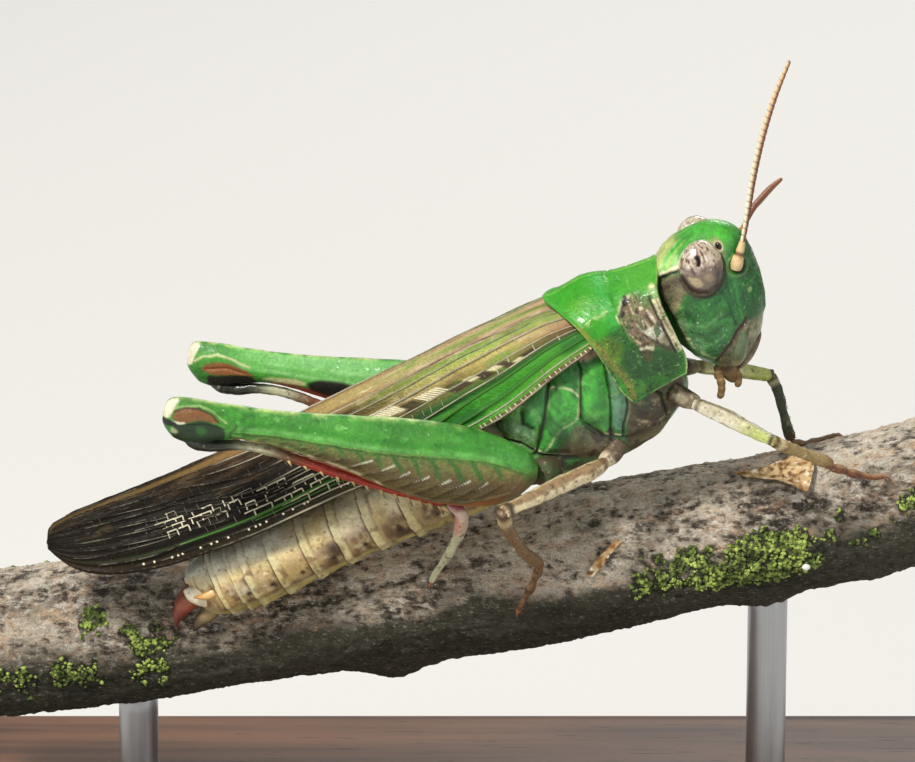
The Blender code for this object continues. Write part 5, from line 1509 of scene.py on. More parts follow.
def makeSaddle():
    t, u = np.meshgrid(np.linspace(0, 1, saddle["rows"]), np.linspace(-1, 1, saddle["across"]), indexing="ij")
    at = np.linspace(0, 1, len(saddle["front"]))
    ends = []
    for key in ("front", "back"):
        rows = np.array(saddle[key])
        mirrored = np.concatenate([rows[:0:-1] * np.array([-1, 1, 1]), rows])
        run = np.concatenate([-at[:0:-1], at])
        ends.append(follow(np.column_stack([run, mirrored]), u[0], free=True))
    blend = t[..., None]
    rows = ends[0][None] * (1 - blend) + ends[1][None] * blend
    wide, high, px = rows[..., 0], rows[..., 1], rows[..., 2]
    wide = wide - np.sign(wide) * 0.1 * np.sin(math.pi * t) * rise(0.0, 0.6, np.abs(wide))
    high = high + saddle["hump"] * bell(px - 1.65, 0.85) * (1 - rise(0.15, 0.42, np.abs(u)))
    grid = np.stack([px, -wide, high], -1)
    n = facing(grid, closed=False, outward=grid - np.array([0, 0, 1.0]))
    px, py, pz = np.moveaxis(grid, -1, 0)
    side = rise(0.9, 1.5, np.abs(py))
    wx, wz = px + 0.035 * cloud(grid, 0.35, 3, 2), pz + 0.035 * cloud(grid, 0.35, 4, 2)
    top = 1 - rise(0.25, 0.45, np.abs(u) + 0.03 * cloud(grid, 0.5, 6))
    coat = Coat(plain(px.shape, (54, 160, 26)))
    coat((84, 168, 50), rise(2.5, 3.6, px) * top * 0.8)
    coat((60, 170, 84), bell(px - 2.2, 0.3) * 0.6)
    coat((96, 172, 22), bell(px - 1.2, 0.5) * bell(np.abs(py) - 1.4, 0.4) * 0.6)
    coat.marks(wx, wz, saddleMarks, side)
    keel = bell(py, 0.045)
    cross = bell(px - 2.53 - 0.06 * cloud(grid, 0.6, 5), 0.05) * (1 - rise(0.6, 0.75, np.abs(u)))
    cross2 = bell(px - 3.35 + 0.35 * np.abs(u), 0.05) * rise(0.06, 0.12, np.abs(u)) * (1 - rise(0.5, 0.6, np.abs(u)))
    shoulder = bell(np.abs(u) - 0.36 + 0.03 * np.sin(2.6 * t), 0.018) * (1 - rise(2.5, 3.0, px) * 0.75)
    # painted highlights along the middle keel and, towards the rear, along the shoulder ridges
    coat((150, 196, 86), keel * 0.6)
    coat((200, 206, 150), shoulder * rise(-0.1, 0.4, cloud(grid, 0.25, 17, 2)) * 0.7 * rise(2.7, 2.2, px))
    coat((120, 190, 90), cross * 0.35 + cross2 * 0.35)
    coat.marks(px, pz, edgeMarks, 0.35 + 0.65 * rise(0.0, 0.4, np.abs(py)))
    lower = rise(0.42, 0.5, np.abs(u))
    coat.specks(grid, 0.22, 14, (18, 60, 20), 0.3, 0.55, lower)
    coat.specks(grid, 0.13, 15, (130, 170, 90), 0.16, 0.5, lower)
    coat.shade(1 - 0.14 * lower + 0.2 * lower * cloud(grid, 0.45, 21, 3))
    # near-white specks on the lower lobes painted as glints
    coat.specks(grid, 0.09, 22, (206, 228, 190), 0.05, 0.7, lower)
    coat.specks(grid, 0.4, 16, (40, 132, 30), 0.3, 0.45, 1 - lower)
    wrinkled = patch(px, pz, [(2.5, 4.2), (3.9, 4.4), (3.95, 2.0), (2.9, 2.2), (2.5, 3.2)], 0.2) * side
    coat.specks(grid * (1.4, 1, 0.6), 0.13, 18, (52, 38, 26), 0.25, 0.75, wrinkled)
    coat.specks(grid * (1.4, 1, 0.6), 0.15, 19, (236, 226, 200), 0.16, 0.75, wrinkled)
    rim = np.minimum(np.minimum(1 - t, t) * 3.2, (1 - np.abs(u)) * 5.5)
    lift = saddle["keel"] * keel * (1 - 0.8 * cross) + 0.04 * shoulder - 0.06 * cross - 0.035 * cross2
    lift = lift + 0.06 * wrinkled * cloud(grid * (1.4, 1, 0.6), 0.16, 20, 2)
    for path in creases:
        lift = lift - 0.05 * bell(offLine(wx, wz, path), 0.05) * side
    lift = (lift + 0.03 * (1 - rise(0.0, 0.14, rim)) + 0.03 * cloud(grid, 0.7, 31, 2) * lower
            + 0.012 * cloud(grid, 0.2, 32, 2))
    grid = grid + n * lift[..., None]
    values = {"tint": coat.tint, "pitted": np.clip(0.35 + 0.75 * lower + 0.3 * shoulder, 0, 1),
              "dull": 0.1 + 0.3 * patch(px, pz, saddleMarks[6][2], 0.2) * side}
    piece("pronotumShield", sheetSkin(grid, n, saddle["thick"], values), shell, ["pronotum"])


# wings

tegmen = (
    (1.5, 1.15, 4.3, 2.3, 3.3), (-0.5, 1.15, 4.78, 2.5, 2.93), (-3.4, 1.1, 4.8, 2.6, 2.2),
    (-6.5, 1.05, 4.65, 2.55, 1.92), (-10.4, 0.98, 4.55, 2.4, 1.88), (-14.5, 0.85, 4.42, 2.15, 1.7),
    (-17.5, 0.7, 4.5, 1.85, 1.8), (-19.6, 0.55, 4.64, 1.6, 2.15), (-21.0, 0.43, 4.72, 1.3, 2.66),
    (-21.7, 0.4, 4.68, 1.0, 3.15), (-22.1, 0.38, 4.5, 0.68, 3.65), (-22.25, 0.36, 4.28, 0.48, 4.0))
wing = {"rows": 400, "across": 90, "thick": 0.09, "seed": 6, "cell": (0.42, 0.07), "vein": 0.000034}
# named veins: along the wing, and how far across from the crest
mainVeins = (
    ("cream", 1.15, ((1.0, 0.42), (-3, 0.36), (-9, 0.4), (-12.8, 0.42), (-14.9, 0.33), (-16.3, 0.25),
        (-19.5, 0.16))),
    ("cream", 1.0, ((1.0, 0.55), (-3, 0.5), (-9, 0.55), (-13.5, 0.57), (-15.7, 0.45), (-17, 0.37), (-20.5, 0.3))),
    ("cream", 1.1, ((1.0, 0.62), (-3, 0.62), (-9, 0.7), (-12.7, 0.71), (-14.5, 0.68), (-16.4, 0.59),
        (-19, 0.52), (-21.2, 0.5))),
    ("green", 1.5, ((1.2, 0.68), (-3, 0.69), (-8, 0.8), (-10.5, 0.82), (-14, 0.82), (-17.2, 0.81))),
    ("smoky", 1.0, ((-17.1, 0.81), (-18.8, 0.84), (-20.5, 0.84))),
    ("green", 1.0, ((1.2, 0.8), (-3, 0.83), (-8, 0.87), (-10.5, 0.87), (-14, 0.86))),
    ("cream", 0.9, ((1.2, 0.9), (-5, 0.91), (-10, 0.91), (-14.5, 0.9), (-17, 0.905), (-19, 0.93))),
    ("tan", 1.3, ((1.4, 0.985), (-5, 0.985), (-12, 0.98), (-19, 0.97), (-21.5, 0.93))),
    ("tan", 1.0, ((1.0, 0.2), (-4, 0.17), (-9, 0.2), (-13, 0.16), (-18, 0.07), (-21, 0.05))),
    ("tan", 0.8, ((1.0, 0.31), (-4, 0.28), (-9, 0.31), (-13.5, 0.27), (-18, 0.14), (-21.0, 0.11))),
    ("smoky", 0.6, ((-13.0, 0.49), (-16, 0.36), (-20, 0.23))),
    ("smoky", 0.7, ((-13.5, 0.63), (-16.5, 0.5), (-20.5, 0.38))),
    ("smoky", 0.7, ((-15.0, 0.75), (-18, 0.66), (-21, 0.62))),
    ("smoky", 0.6, ((-17.0, 0.7), (-19, 0.7), (-21.4, 0.75))),
    ("cream", 0.8, ((-9.0, 0.62), (-12.7, 0.64), (-14.6, 0.58), (-17.0, 0.47), (-20.0, 0.42))))


def bandsAt(x, v, rows):
    # a colour across the wing: rows of (v, colour) at stations along it
    stations = []
    for at, stops in rows:
        vs = np.array([s[0] for s in stops])
        cs = np.array([s[1] for s in stops], float)
        stations.append((at, np.stack([np.interp(v, vs, cs[:, k]) for k in range(3)], -1)))
    tint = stations[0][1]
    for (a0, c0), (a1, c1) in zip(stations[:-1], stations[1:]):
        f = np.clip((x - a0) / (a1 - a0), 0, 1)[..., None]
        tint = np.where((x <= a0)[..., None] & (x > a1)[..., None], c0 * (1 - f) + c1 * f, tint)
    return np.where((x <= stations[-1][0])[..., None], stations[-1][1], tint)


tan, pink, straw, brown = (186, 164, 122), (190, 156, 126), (196, 180, 112), (100, 74, 48)
deep, fresh, olive = (36, 86, 30), (74, 150, 48), (122, 152, 66)
edgePink, soot, coal = (118, 86, 62), (32, 24, 15), (20, 15, 10)
wingBands = (
    (1.2, ((0.0, olive), (0.08, pink), (0.24, pink), (0.3, olive), (0.4, (170, 160, 100)), (0.44, pink), (0.51,
        (170, 120, 96)), (0.56, brown), (0.62, brown), (0.65, deep), (0.72, fresh), (0.92, (100, 160, 54)),
        (0.96, edgePink), (1.0, edgePink))),
    (-2.6, ((0.0, (150, 172, 90)), (0.06, tan), (0.18, pink), (0.23, olive), (0.31, (146, 176, 80)),
        (0.36, straw), (0.46, (176, 162, 90)), (0.51, (122, 120, 56)), (0.62, (84, 112, 42)), (0.655, deep),
        (0.7, (58, 136, 40)), (0.93, (80, 160, 50)), (0.965, edgePink), (1.0, edgePink))),
    (-5.7, ((0.0, (172, 172, 104)), (0.1, tan), (0.19, (172, 148, 110)), (0.24, olive), (0.3, (176, 176, 100)),
        (0.38, straw), (0.43, (128, 106, 64)), (0.54, (104, 106, 54)), (0.6, deep), (0.66, (34, 76, 26)), (0.7,
        (62, 138, 44)), (0.95, (76, 152, 50)), (1.0, edgePink))),
    (-9.4, ((0.0, (180, 160, 100)), (0.2, (160, 134, 84)), (0.26, (92, 70, 44)), (0.45, (76, 60, 40)),
        (0.6, soot), (0.76, (42, 44, 26)), (0.8, (70, 128, 46)), (0.84, (38, 50, 24)), (1.0, (86, 76, 46)))),
    (-13.0, ((0.0, (160, 124, 76)), (0.11, (138, 106, 62)), (0.17, (66, 50, 32)), (0.36, soot), (0.6, coal),
        (0.8, coal), (0.83, (60, 110, 42)), (0.86, coal), (1.0, (52, 44, 28)))),
    (-17.0, ((0.0, (120, 96, 46)), (0.06, (88, 68, 36)), (0.11, soot), (0.5, coal), (0.78, coal), (0.81,
        (46, 72, 32)), (0.84, coal), (1.0, (54, 44, 28)))),
    (-22.0, ((0.0, (92, 74, 38)), (0.12, soot), (0.5, coal), (1.0, (54, 42, 26)))))
# corner-rounded patches: place along the wing, place across it, half length, half height
darkSpots = (
    (-1.3, 0.58, 0.3, 0.025), (-2.36, 0.56, 0.22, 0.045), (-3.36, 0.54, 0.28, 0.045), (-4.5, 0.51, 0.4, 0.05),
    (-6.45, 0.475, 0.38, 0.05), (-8.4, 0.45, 0.4, 0.06), (-9.9, 0.38, 0.45, 0.06), (-11.4, 0.33, 0.5, 0.05))
paleSpots = (
    (-1.8, 0.59, 0.2, 0.018), (-2.86, 0.53, 0.2, 0.03), (-3.85, 0.51, 0.2, 0.03), (-5.5, 0.46, 0.5, 0.04),
    (-7.4, 0.435, 0.52, 0.042), (-9.15, 0.41, 0.25, 0.035), (-10.7, 0.4, 0.25, 0.035))


def tegmenGrid(sign):
    x = np.linspace(tegmen[0][0], tegmen[-1][0], wing["rows"])
    v = np.linspace(0, 1, wing["across"])
    rows = []
    for at, (shoulder, top, foot, low) in zip(x, follow(tegmen, x)):
        crest = top + 0.12 * min(1.0, shoulder) - 0.25 * float(rise(-21.8, -22.35, at))
        belly = 0.5 * (shoulder + foot) + 0.22
        line = np.array([(0.045, crest), (0.5 * shoulder, 0.5 * (crest + top) + 0.03), (shoulder, top),
                         (shoulder + 0.3 * (belly - shoulder), top - 0.22 * (top - low)),
                             (belly, 0.5 * (top + low)), (foot, low)])
        run = np.concatenate([[0], np.cumsum(np.linalg.norm(np.diff(line, axis=0), axis=1))])
        p = follow(np.column_stack([run, line]), v * run[-1], free=True)
        rows.append(np.column_stack([np.full(len(v), at), sign * p[:, 0], p[:, 1]]))
    grid = np.array(rows)
    return grid, np.broadcast_to(v, grid.shape[:2])


def makeTegmina():
    for side, sign in (("left", 1), ("right", -1)):
        grid, v = tegmenGrid(sign)
        n = facing(grid, closed=False, outward=np.array([0, sign * 0.8, 0.6]))
        x = grid[..., 0]
        wx, wv = x + 0.1 * cloud(grid, 0.9, 3, 2), v + 0.012 * cloud(grid, 0.7, 4, 2)
        coat = Coat(bandsAt(wx, wv, wingBands))
        for colour, spots in (((58, 42, 30), darkSpots), ((232, 222, 186), paleSpots)):
            for sx, sv, wide, tall in spots:
                off = np.maximum(np.abs(wx - sx - 6 * (wv - sv)) / wide, np.abs(wv - sv) / tall)
                coat(colour, rise(1.15, 0.85, off) * 0.8)
        long = grid * (0.3, 1, 1)
        coat((120, 96, 66), rise(0.1, 0.5, cloud(long, 0.35, 21, 3)) * (v < 0.45) * 0.45)
        coat((222, 206, 176), rise(0.2, 0.6, cloud(long, 0.28, 22, 3)) * rise(-12, -9, x) * (v < 0.5) * 0.5)
        coat((104, 150, 60), rise(0.05, 0.5, cloud(long, 0.4, 27, 3)) * rise(-9, -6, x) * (v < 0.5) * 0.55)
        coat((30, 96, 34), rise(0.0, 0.4, cloud(long, 0.5, 28, 2)) * rise(-9, -7, x) * band(v, 0.8, 0.1, 0.03) * 0.7)
        coat((36, 28, 20), rise(0.1, 0.5, cloud(grid * (0.7, 1, 1), 0.5, 23, 3)) * rise(-8, -12, x) * 0.45 * (v > 0.2))
        coat((120, 190, 80), rise(0.2, 0.6, cloud(long, 0.3, 24, 2)) * rise(-9, -6, x) * rise(0.7, 0.74, v) * 0.5)
        coat((34, 96, 36), stroke(wx, wv * 10, [(1.2, 7.85), (-3, 8.05), (-8, 8.4)], 0.12, 0.14) * 0.7)
        netted = rise(0.5, -4.0, x) * 0.8 + 0.2
        # the main veins stand up in low ridges, with the membrane sunk a little between them
        ridge = np.zeros(x.shape)
        for _, wide, path in mainVeins:
            line = np.abs(v - follow(path, x[:, 0])[:, :1]) * 4.4
            here = (x < path[0][0] + 0.3) & (x > path[-1][0] - 0.2)
            ridge = np.maximum(ridge, bell(line, 0.06 * wide) * here)
        lift = 0.035 * ridge + 0.03 * cloud(long, 0.8, 25, 2) + 0.012 * cloud(grid, 0.2, 26, 2)
        fluted = 0.02 * np.sin(v * 62) * (v > 0.1) * rise(1.5, -2, x)
        skin = grid + n * (lift + fluted - 0.03)[..., None]
        name = "tegmen" + side.capitalize()
        piece(name, sheetSkin(skin, n, wing["thick"], {"tint": coat.tint, "netted": netted}), wingSkin,
            ["tegmen_" + side])
        makeVeins(name + "Veins", skin, n)


def makeVeins(name, skin, n):
    # thin tubes along the main veins and across between them
    rng = np.random.default_rng(wing["seed"])
    xs = skin[:, 0, 0]
    points, sizes, tones, greens, edges = [], [], [], [], []

    def put(xa, va, size, tone, green):
        r = np.interp(-np.asarray(xa), -xs, np.arange(len(xs)))
        c = np.clip(np.asarray(va), 0, 1) * (skin.shape[1] - 1)
        r0, c0 = np.minimum(r.astype(int), len(xs) - 2), np.minimum(c.astype(int), skin.shape[1] - 2)
        fr, fc = (r - r0)[:, None], (c - c0)[:, None]
        at = (skin[r0, c0] * (1 - fr) * (1 - fc) + skin[r0 + 1, c0] * fr * (1 - fc)
              + skin[r0, c0 + 1] * (1 - fr) * fc + skin[r0 + 1, c0 + 1] * fr * fc)
        at = at + n[r0, c0] * 0.006
        first = len(points)
        points.extend(at)
        sizes.extend(np.broadcast_to(size, len(at)))
        tones.extend(np.broadcast_to(tone, len(at)))
        greens.extend(np.broadcast_to(green, len(at)))
        edges.extend((first + k, first + k + 1) for k in range(len(at) - 1))

    tone = {"cream": 0.85, "green": 0.9, "tan": 0.55, "smoky": 0.03}
    for kind, wide, path in mainVeins:
        many = int(abs(path[0][0] - path[-1][0]) / 0.12)
        xa = np.linspace(path[0][0], path[-1][0], many)
        flat = xa * 0
        va = follow(path, xa)[:, 0] + 0.003 * cloud(np.stack([xa, flat, flat + wide * 9], -1), 1.2, 4, 2)
        shade = (tone[kind] * (0.46 + 0.44 * rise(-5.5, -9, xa)) - 0.75 * rise(-10.0, -13.0, xa) * (kind == "cream")
                 - 0.5 * rise(-12, -16, xa) * (kind == "tan")
                 + 0.25 * cloud(np.stack([xa, flat, flat + wide * 5], -1), 1.0, 7, 2))
        size = wide * (0.55 + 0.45 * np.sin(np.pi * np.clip(np.linspace(0.06, 0.97, many), 0, 1)) ** 0.5)
        put(xa, va, size, np.clip(shade, 0, 1), float(kind == "green") * rise(-19.5, -16.5, xa))
    for sx, sv, wide, tall in paleSpots[3:]:
        for dx in np.arange(-wide, wide, 0.15):
            put([sx + dx - 6 * tall, sx + dx + 6 * tall], [sv - tall, sv + tall], 0.75, 0.95, 0.0)
    # a loose net of near-square cells between the main veins, cream in drifts over the dark part of the wing
    pitch, step = wing["cell"]
    for k, level in enumerate(np.arange(0.26, 0.97, step)):
        for x in np.arange(0.6, -21.2, -pitch):
            at = x - pitch * 0.5 * (k % 2) + rng.uniform(-0.07, 0.07)
            flow = 0.02 * math.sin(at * 0.5 + k) - 0.12 * float(rise(-13, -19, at)) * (1 - level)
            low, high = level + flow, level + step + flow
            drift = float(cloud(np.array([at * 0.9, level * 9, 3.0]), 1.0, 12, 2))
            if at > -8.5:
                pale, keep = 0.42 + 0.4 * drift, 0.3 if low < 0.6 else 0.12
            else:
                across = band(np.array(level), 0.655 + 0.024 * (at + 14), 0.11, 0.08)
                core = float(across) * float(band(np.array(at), -13.4, 4.6, 1.2))
                pale = np.clip(core * (0.85 + 1.5 * drift), 0.06, 1)
                keep = 0.35 + 0.6 * core
            size = 0.42 + 0.6 * float(pale > 0.45)
            if rng.random() < keep:
                put([at, at + rng.uniform(-0.04, 0.04)], [low, high], size, pale, 0.5 * (at > -8) * (low > 0.66))
            if at < -8.5 and rng.random() < keep * 0.8:
                put([at, at - pitch], [low, low + rng.uniform(-0.004, 0.004)], size, pale, 0.0)
    for x in np.arange(1.0, -19.0, -0.24):
        at = x + rng.uniform(-0.05, 0.05)
        if at > -7.5:
            put([at, at + 0.05], [0.945, 0.985], 0.9, 0.45 + 0.5 * rng.random(), 0.0)
        elif rng.random() < 0.4:
            put([at, at + 0.03], [0.905, 0.925], 1.5, 0.95, 0.0)
    mesh = pointMesh(np.array(points), edges, size=sizes, tone=tones, fresh=greens)
    tubes = grown(veinGrowth, mesh, {"Sides": 5, "Width": wing["vein"]}, wingVein)
    piece(name, tubes, None)


hindwing = ((-3.0, 0.72, 3.92, 0.55), (-8.0, 0.7, 3.95, 0.9), (-14.0, 0.58, 3.9, 0.9), (-18.5, 0.42, 3.95, 0.6))
foldedPoints = 110


def makeHindwings():
    for side, sign in (("left", 1), ("right", -1)):
        rows, length = [], np.linspace(hindwing[0][0], hindwing[-1][0], foldedPoints)
        for x, (wide, top, deep) in zip(length, follow(hindwing, length)):
            line = np.array([(0.07, top), (0.7 * wide, top - 0.02), (wide, top - 0.25),
                (wide - 0.1, top - deep), (0.07, top - deep), (0.07, top)])
            run = np.concatenate([[0], np.cumsum(np.linalg.norm(np.diff(line, axis=0), axis=1))])
            at = np.linspace(0, run[-1], foldedPoints, endpoint=False)
            rows.append(np.column_stack([np.full(foldedPoints, x), sign * np.interp(at, run, line[:, 0]),
                np.interp(at, run, line[:, 1])]))
        grid = np.array(rows)
        n = facing(grid)
        y, z = grid[..., 1], grid[..., 2]
        pleat = 0.5 + 0.5 * np.sin(np.abs(y) * 70 + z * 44 + 0.8 * cloud(grid * (0.2, 1, 1), 0.8, 3))
        coat = Coat(plain(y.shape, (150, 130, 96)))
        coat((84, 66, 46), pleat * 0.7)
        coat((60, 48, 36), rise(-11, -17, grid[..., 0]) * 0.6)
        grid = grid - n * (0.03 + 0.04 * (1 - pleat))[..., None]
        piece("hindwing" + side.capitalize(), closedSkin(grid, {"tint": coat.tint, "netted": 0.8}), wingFold,
            ["hindwing_" + side])
# hind legs

hindLeg = {
    "rows": 310, "around": 150, "squareness": 1.9, "bar": 0.8, "spines": 12, "spineWidth": 0.19,
    "spurWidth": 0.13}

hindThigh = (
    (-0.1, 0.35, 0.35, 0.35), (0.4, 0.85, 1.02, 0.6), (1.6, 1.22, 1.68, 0.8), (3.4, 1.48, 1.86, 0.9),
    (5.4, 1.4, 1.55, 0.85), (7.4, 1.2, 1.06, 0.7), (9.4, 1.0, 0.64, 0.55), (11.3, 0.88, 0.4, 0.45),
    (12.5, 0.92, 0.62, 0.48), (13.4, 0.95, 0.93, 0.5), (14.1, 0.93, 0.82, 0.44), (14.48, 0.86, 0.5, 0.36),
    (14.68, 0.7, 0.26, 0.22), (14.74, 0.5, 0.12, 0.1))
thighKeels = (
    ((0.3, 0.15), (1.2, 0.36), (2.1, 0.5), (3.4, 0.46), (5.0, 0.3), (6.7, 0.16), (8.4, 0.15), (10.4, 0.1),
        (12.0, -0.02)),
    ((0.3, -0.6), (2.5, -1.5), (4.0, -1.64), (5.65, -1.34), (7.4, -0.8), (8.7, -0.57), (10.0, -0.33),
        (11.0, -0.23), (12.2, -0.12)))
hindLegs = {
    "right": {"root": (-3.1, -3.12, -0.2), "knee": (-14.3, -4.15, 8.15)},
    "left": {"root": (-2.42, 3.1, -0.7), "knee": (-13.47, 5.05, 6.0)}}
hindShin = (
    (13.75, 0, -0.5, 0.24), (13.35, 0, -0.84, 0.27), (12.8, 0, -0.92, 0.26), (11.9, -0.02, -0.74, 0.22),
    (10.9, -0.05, -0.7, 0.21), (9.2, -0.15, -1.0, 0.2), (7.6, -0.25, -1.34, 0.19), (5.2, -0.5, -1.8, 0.19),
    (3.1, -0.6, -2.05, 0.25))
outerMarks = (
    ("area", (98, 108, 52), [(0.4, 0.2), (2.1, 0.5), (4.0, 0.42), (7.4, 0.15), (11.5, 0.02), (11.0, -0.3),
        (7.4, -0.95), (4.4, -1.8), (2.0, -1.6), (0.2, -0.8)], 0.08, 0.9),
    ("area", (94, 76, 44), [(0.3, -0.2), (3.5, -0.15), (6.5, -0.3), (9.0, -0.4), (9.0, -0.6), (7.4, -0.95),
        (4.4, -1.8), (2.2, -1.7), (0.4, -0.8)], 0.2, 0.85),
    ("line", (206, 200, 150), [(14.55, 0.3), (14.3, 0.62), (13.5, 0.8), (12.9, 0.68), (12.3, 0.32)], 0.03, 0.05,
        0.7),
    ("area", (132, 84, 46), [(12.5, 0.28), (12.94, 0.56), (13.49, 0.7), (14.05, 0.65), (14.35, 0.45),
        (14.45, 0.1), (13.93, 0.02), (13.45, 0.26), (12.88, 0.25)], 0.05, 0.95),
    ("line", (52, 30, 16), [(12.6, 0.3), (12.94, 0.55), (13.49, 0.68), (14.05, 0.63), (14.38, 0.42)], 0.035,
        0.035, 0.8),
    ("area", (22, 42, 22), [(12.3, 0.05), (12.9, 0.24), (13.45, 0.25), (13.95, 0.0), (14.35, -0.05),
        (14.25, -0.75), (13.6, -1.0), (12.7, -1.1), (12.2, -0.6)], 0.07, 0.9),
    ("area", (44, 108, 40), [(13.55, -0.05), (13.1, 0.02), (12.95, -0.25), (13.3, -0.4)], 0.08, 0.8),
    # a near-white dash painted as a glint
    ("line", (236, 232, 214), [(14.36, 0.0), (13.94, 0.06)], 0.05, 0.03, 0.9),
    ("line", (44, 66, 34), [(11.9, 0.25), (12.1, -0.1), (12.0, -0.4)], 0.05, 0.05, 0.7),
    ("area", (236, 228, 204), [(14.2, 0.95), (14.9, 0.95), (14.9, 0.05), (14.5, 0.1), (14.42, 0.5)], 0.06, 0.95),
    ("area", (14, 11, 9), [(14.9, 0.1), (14.3, 0.04), (14.15, -0.1), (14.5, -0.22), (14.9, -0.12)], 0.05, 0.95),
    ("area", (206, 200, 156), [(14.4, -0.2), (14.1, -0.3), (14.1, -0.5), (14.35, -0.5)], 0.06, 0.8))
# painted highlights on short ridges low on the outer face: lower end, then upper end
ridgeHighlights = (
    (7.25, -0.72, 6.5, -0.2), (6.4, -0.87, 5.6, -0.26), (5.57, -0.98, 4.95, -0.45), (4.77, -0.97, 4.14, -0.47),
    (3.92, -0.97, 3.3, -0.49), (3.19, -0.93, 2.55, -0.44), (2.3, -0.82, 1.8, -0.43))
innerMarks = (
    ("area", (196, 62, 44), [(2.0, -0.1), (8.0, -0.15), (10.4, -0.25), (10.2, -0.6), (7.0, -1.3), (4.0, -1.8),
        (2.0, -1.5)], 0.1, 0.9),
    ("area", (24, 18, 14), [(9.75, 0.16), (9.6, -0.42), (7.6, -0.3), (7.85, 0.36)], 0.1, 0.95),
    ("area", (34, 26, 20), [(6.6, 0.7), (6.4, -0.3), (4.2, -0.4), (4.2, 0.8)], 0.12, 0.85),
    ("area", (222, 208, 160), [(11.6, -0.02), (9.85, 0.14), (9.8, -0.2), (11.6, -0.22)], 0.08, 0.85),
    ("area", (178, 60, 50), [(11.3, -0.2), (9.8, -0.18), (9.6, -0.5), (11.2, -0.45)], 0.08, 0.8),
    ("area", (206, 176, 124), [(7.85, 0.3), (6.7, 0.35), (6.5, -0.2), (7.85, -0.1)], 0.14, 0.7),
    ("area", (150, 88, 48), [(14.15, -0.15), (13.99, 0.13), (13.56, 0.35), (12.91, 0.33), (12.3, 0.15),
        (11.9, -0.1), (12.0, -0.12), (12.68, -0.08), (13.45, -0.3)], 0.06, 0.95),
    ("line", (226, 214, 170), [(14.4, 0.2), (14.1, 0.45), (13.5, 0.6), (12.9, 0.5), (12.2, 0.28)], 0.05, 0.04, 0.85),
    ("area", (236, 228, 204), [(14.2, 0.95), (14.9, 0.95), (14.9, -0.1), (14.5, -0.05), (14.4, 0.42)], 0.06, 0.95),
    ("area", (20, 18, 16), [(13.9, -0.28), (13.45, -0.32), (12.68, -0.09), (11.9, -0.1), (11.66, -0.75),
        (12.12, -1.1), (12.82, -1.09), (13.72, -0.97)], 0.07, 0.95))


def hindFrame(side):
    root, knee = np.array(hindLegs[side]["root"]), np.array(hindLegs[side]["knee"])
    ahead = (knee - root) / np.linalg.norm(knee - root)
    outward = np.array([0, -1.0 if side == "right" else 1.0, 0])
    outward -= ahead * (outward @ ahead)
    outward /= np.linalg.norm(outward)
    upward = np.cross(ahead, outward) if side == "right" else np.cross(outward, ahead)
    return root, ahead, outward, upward


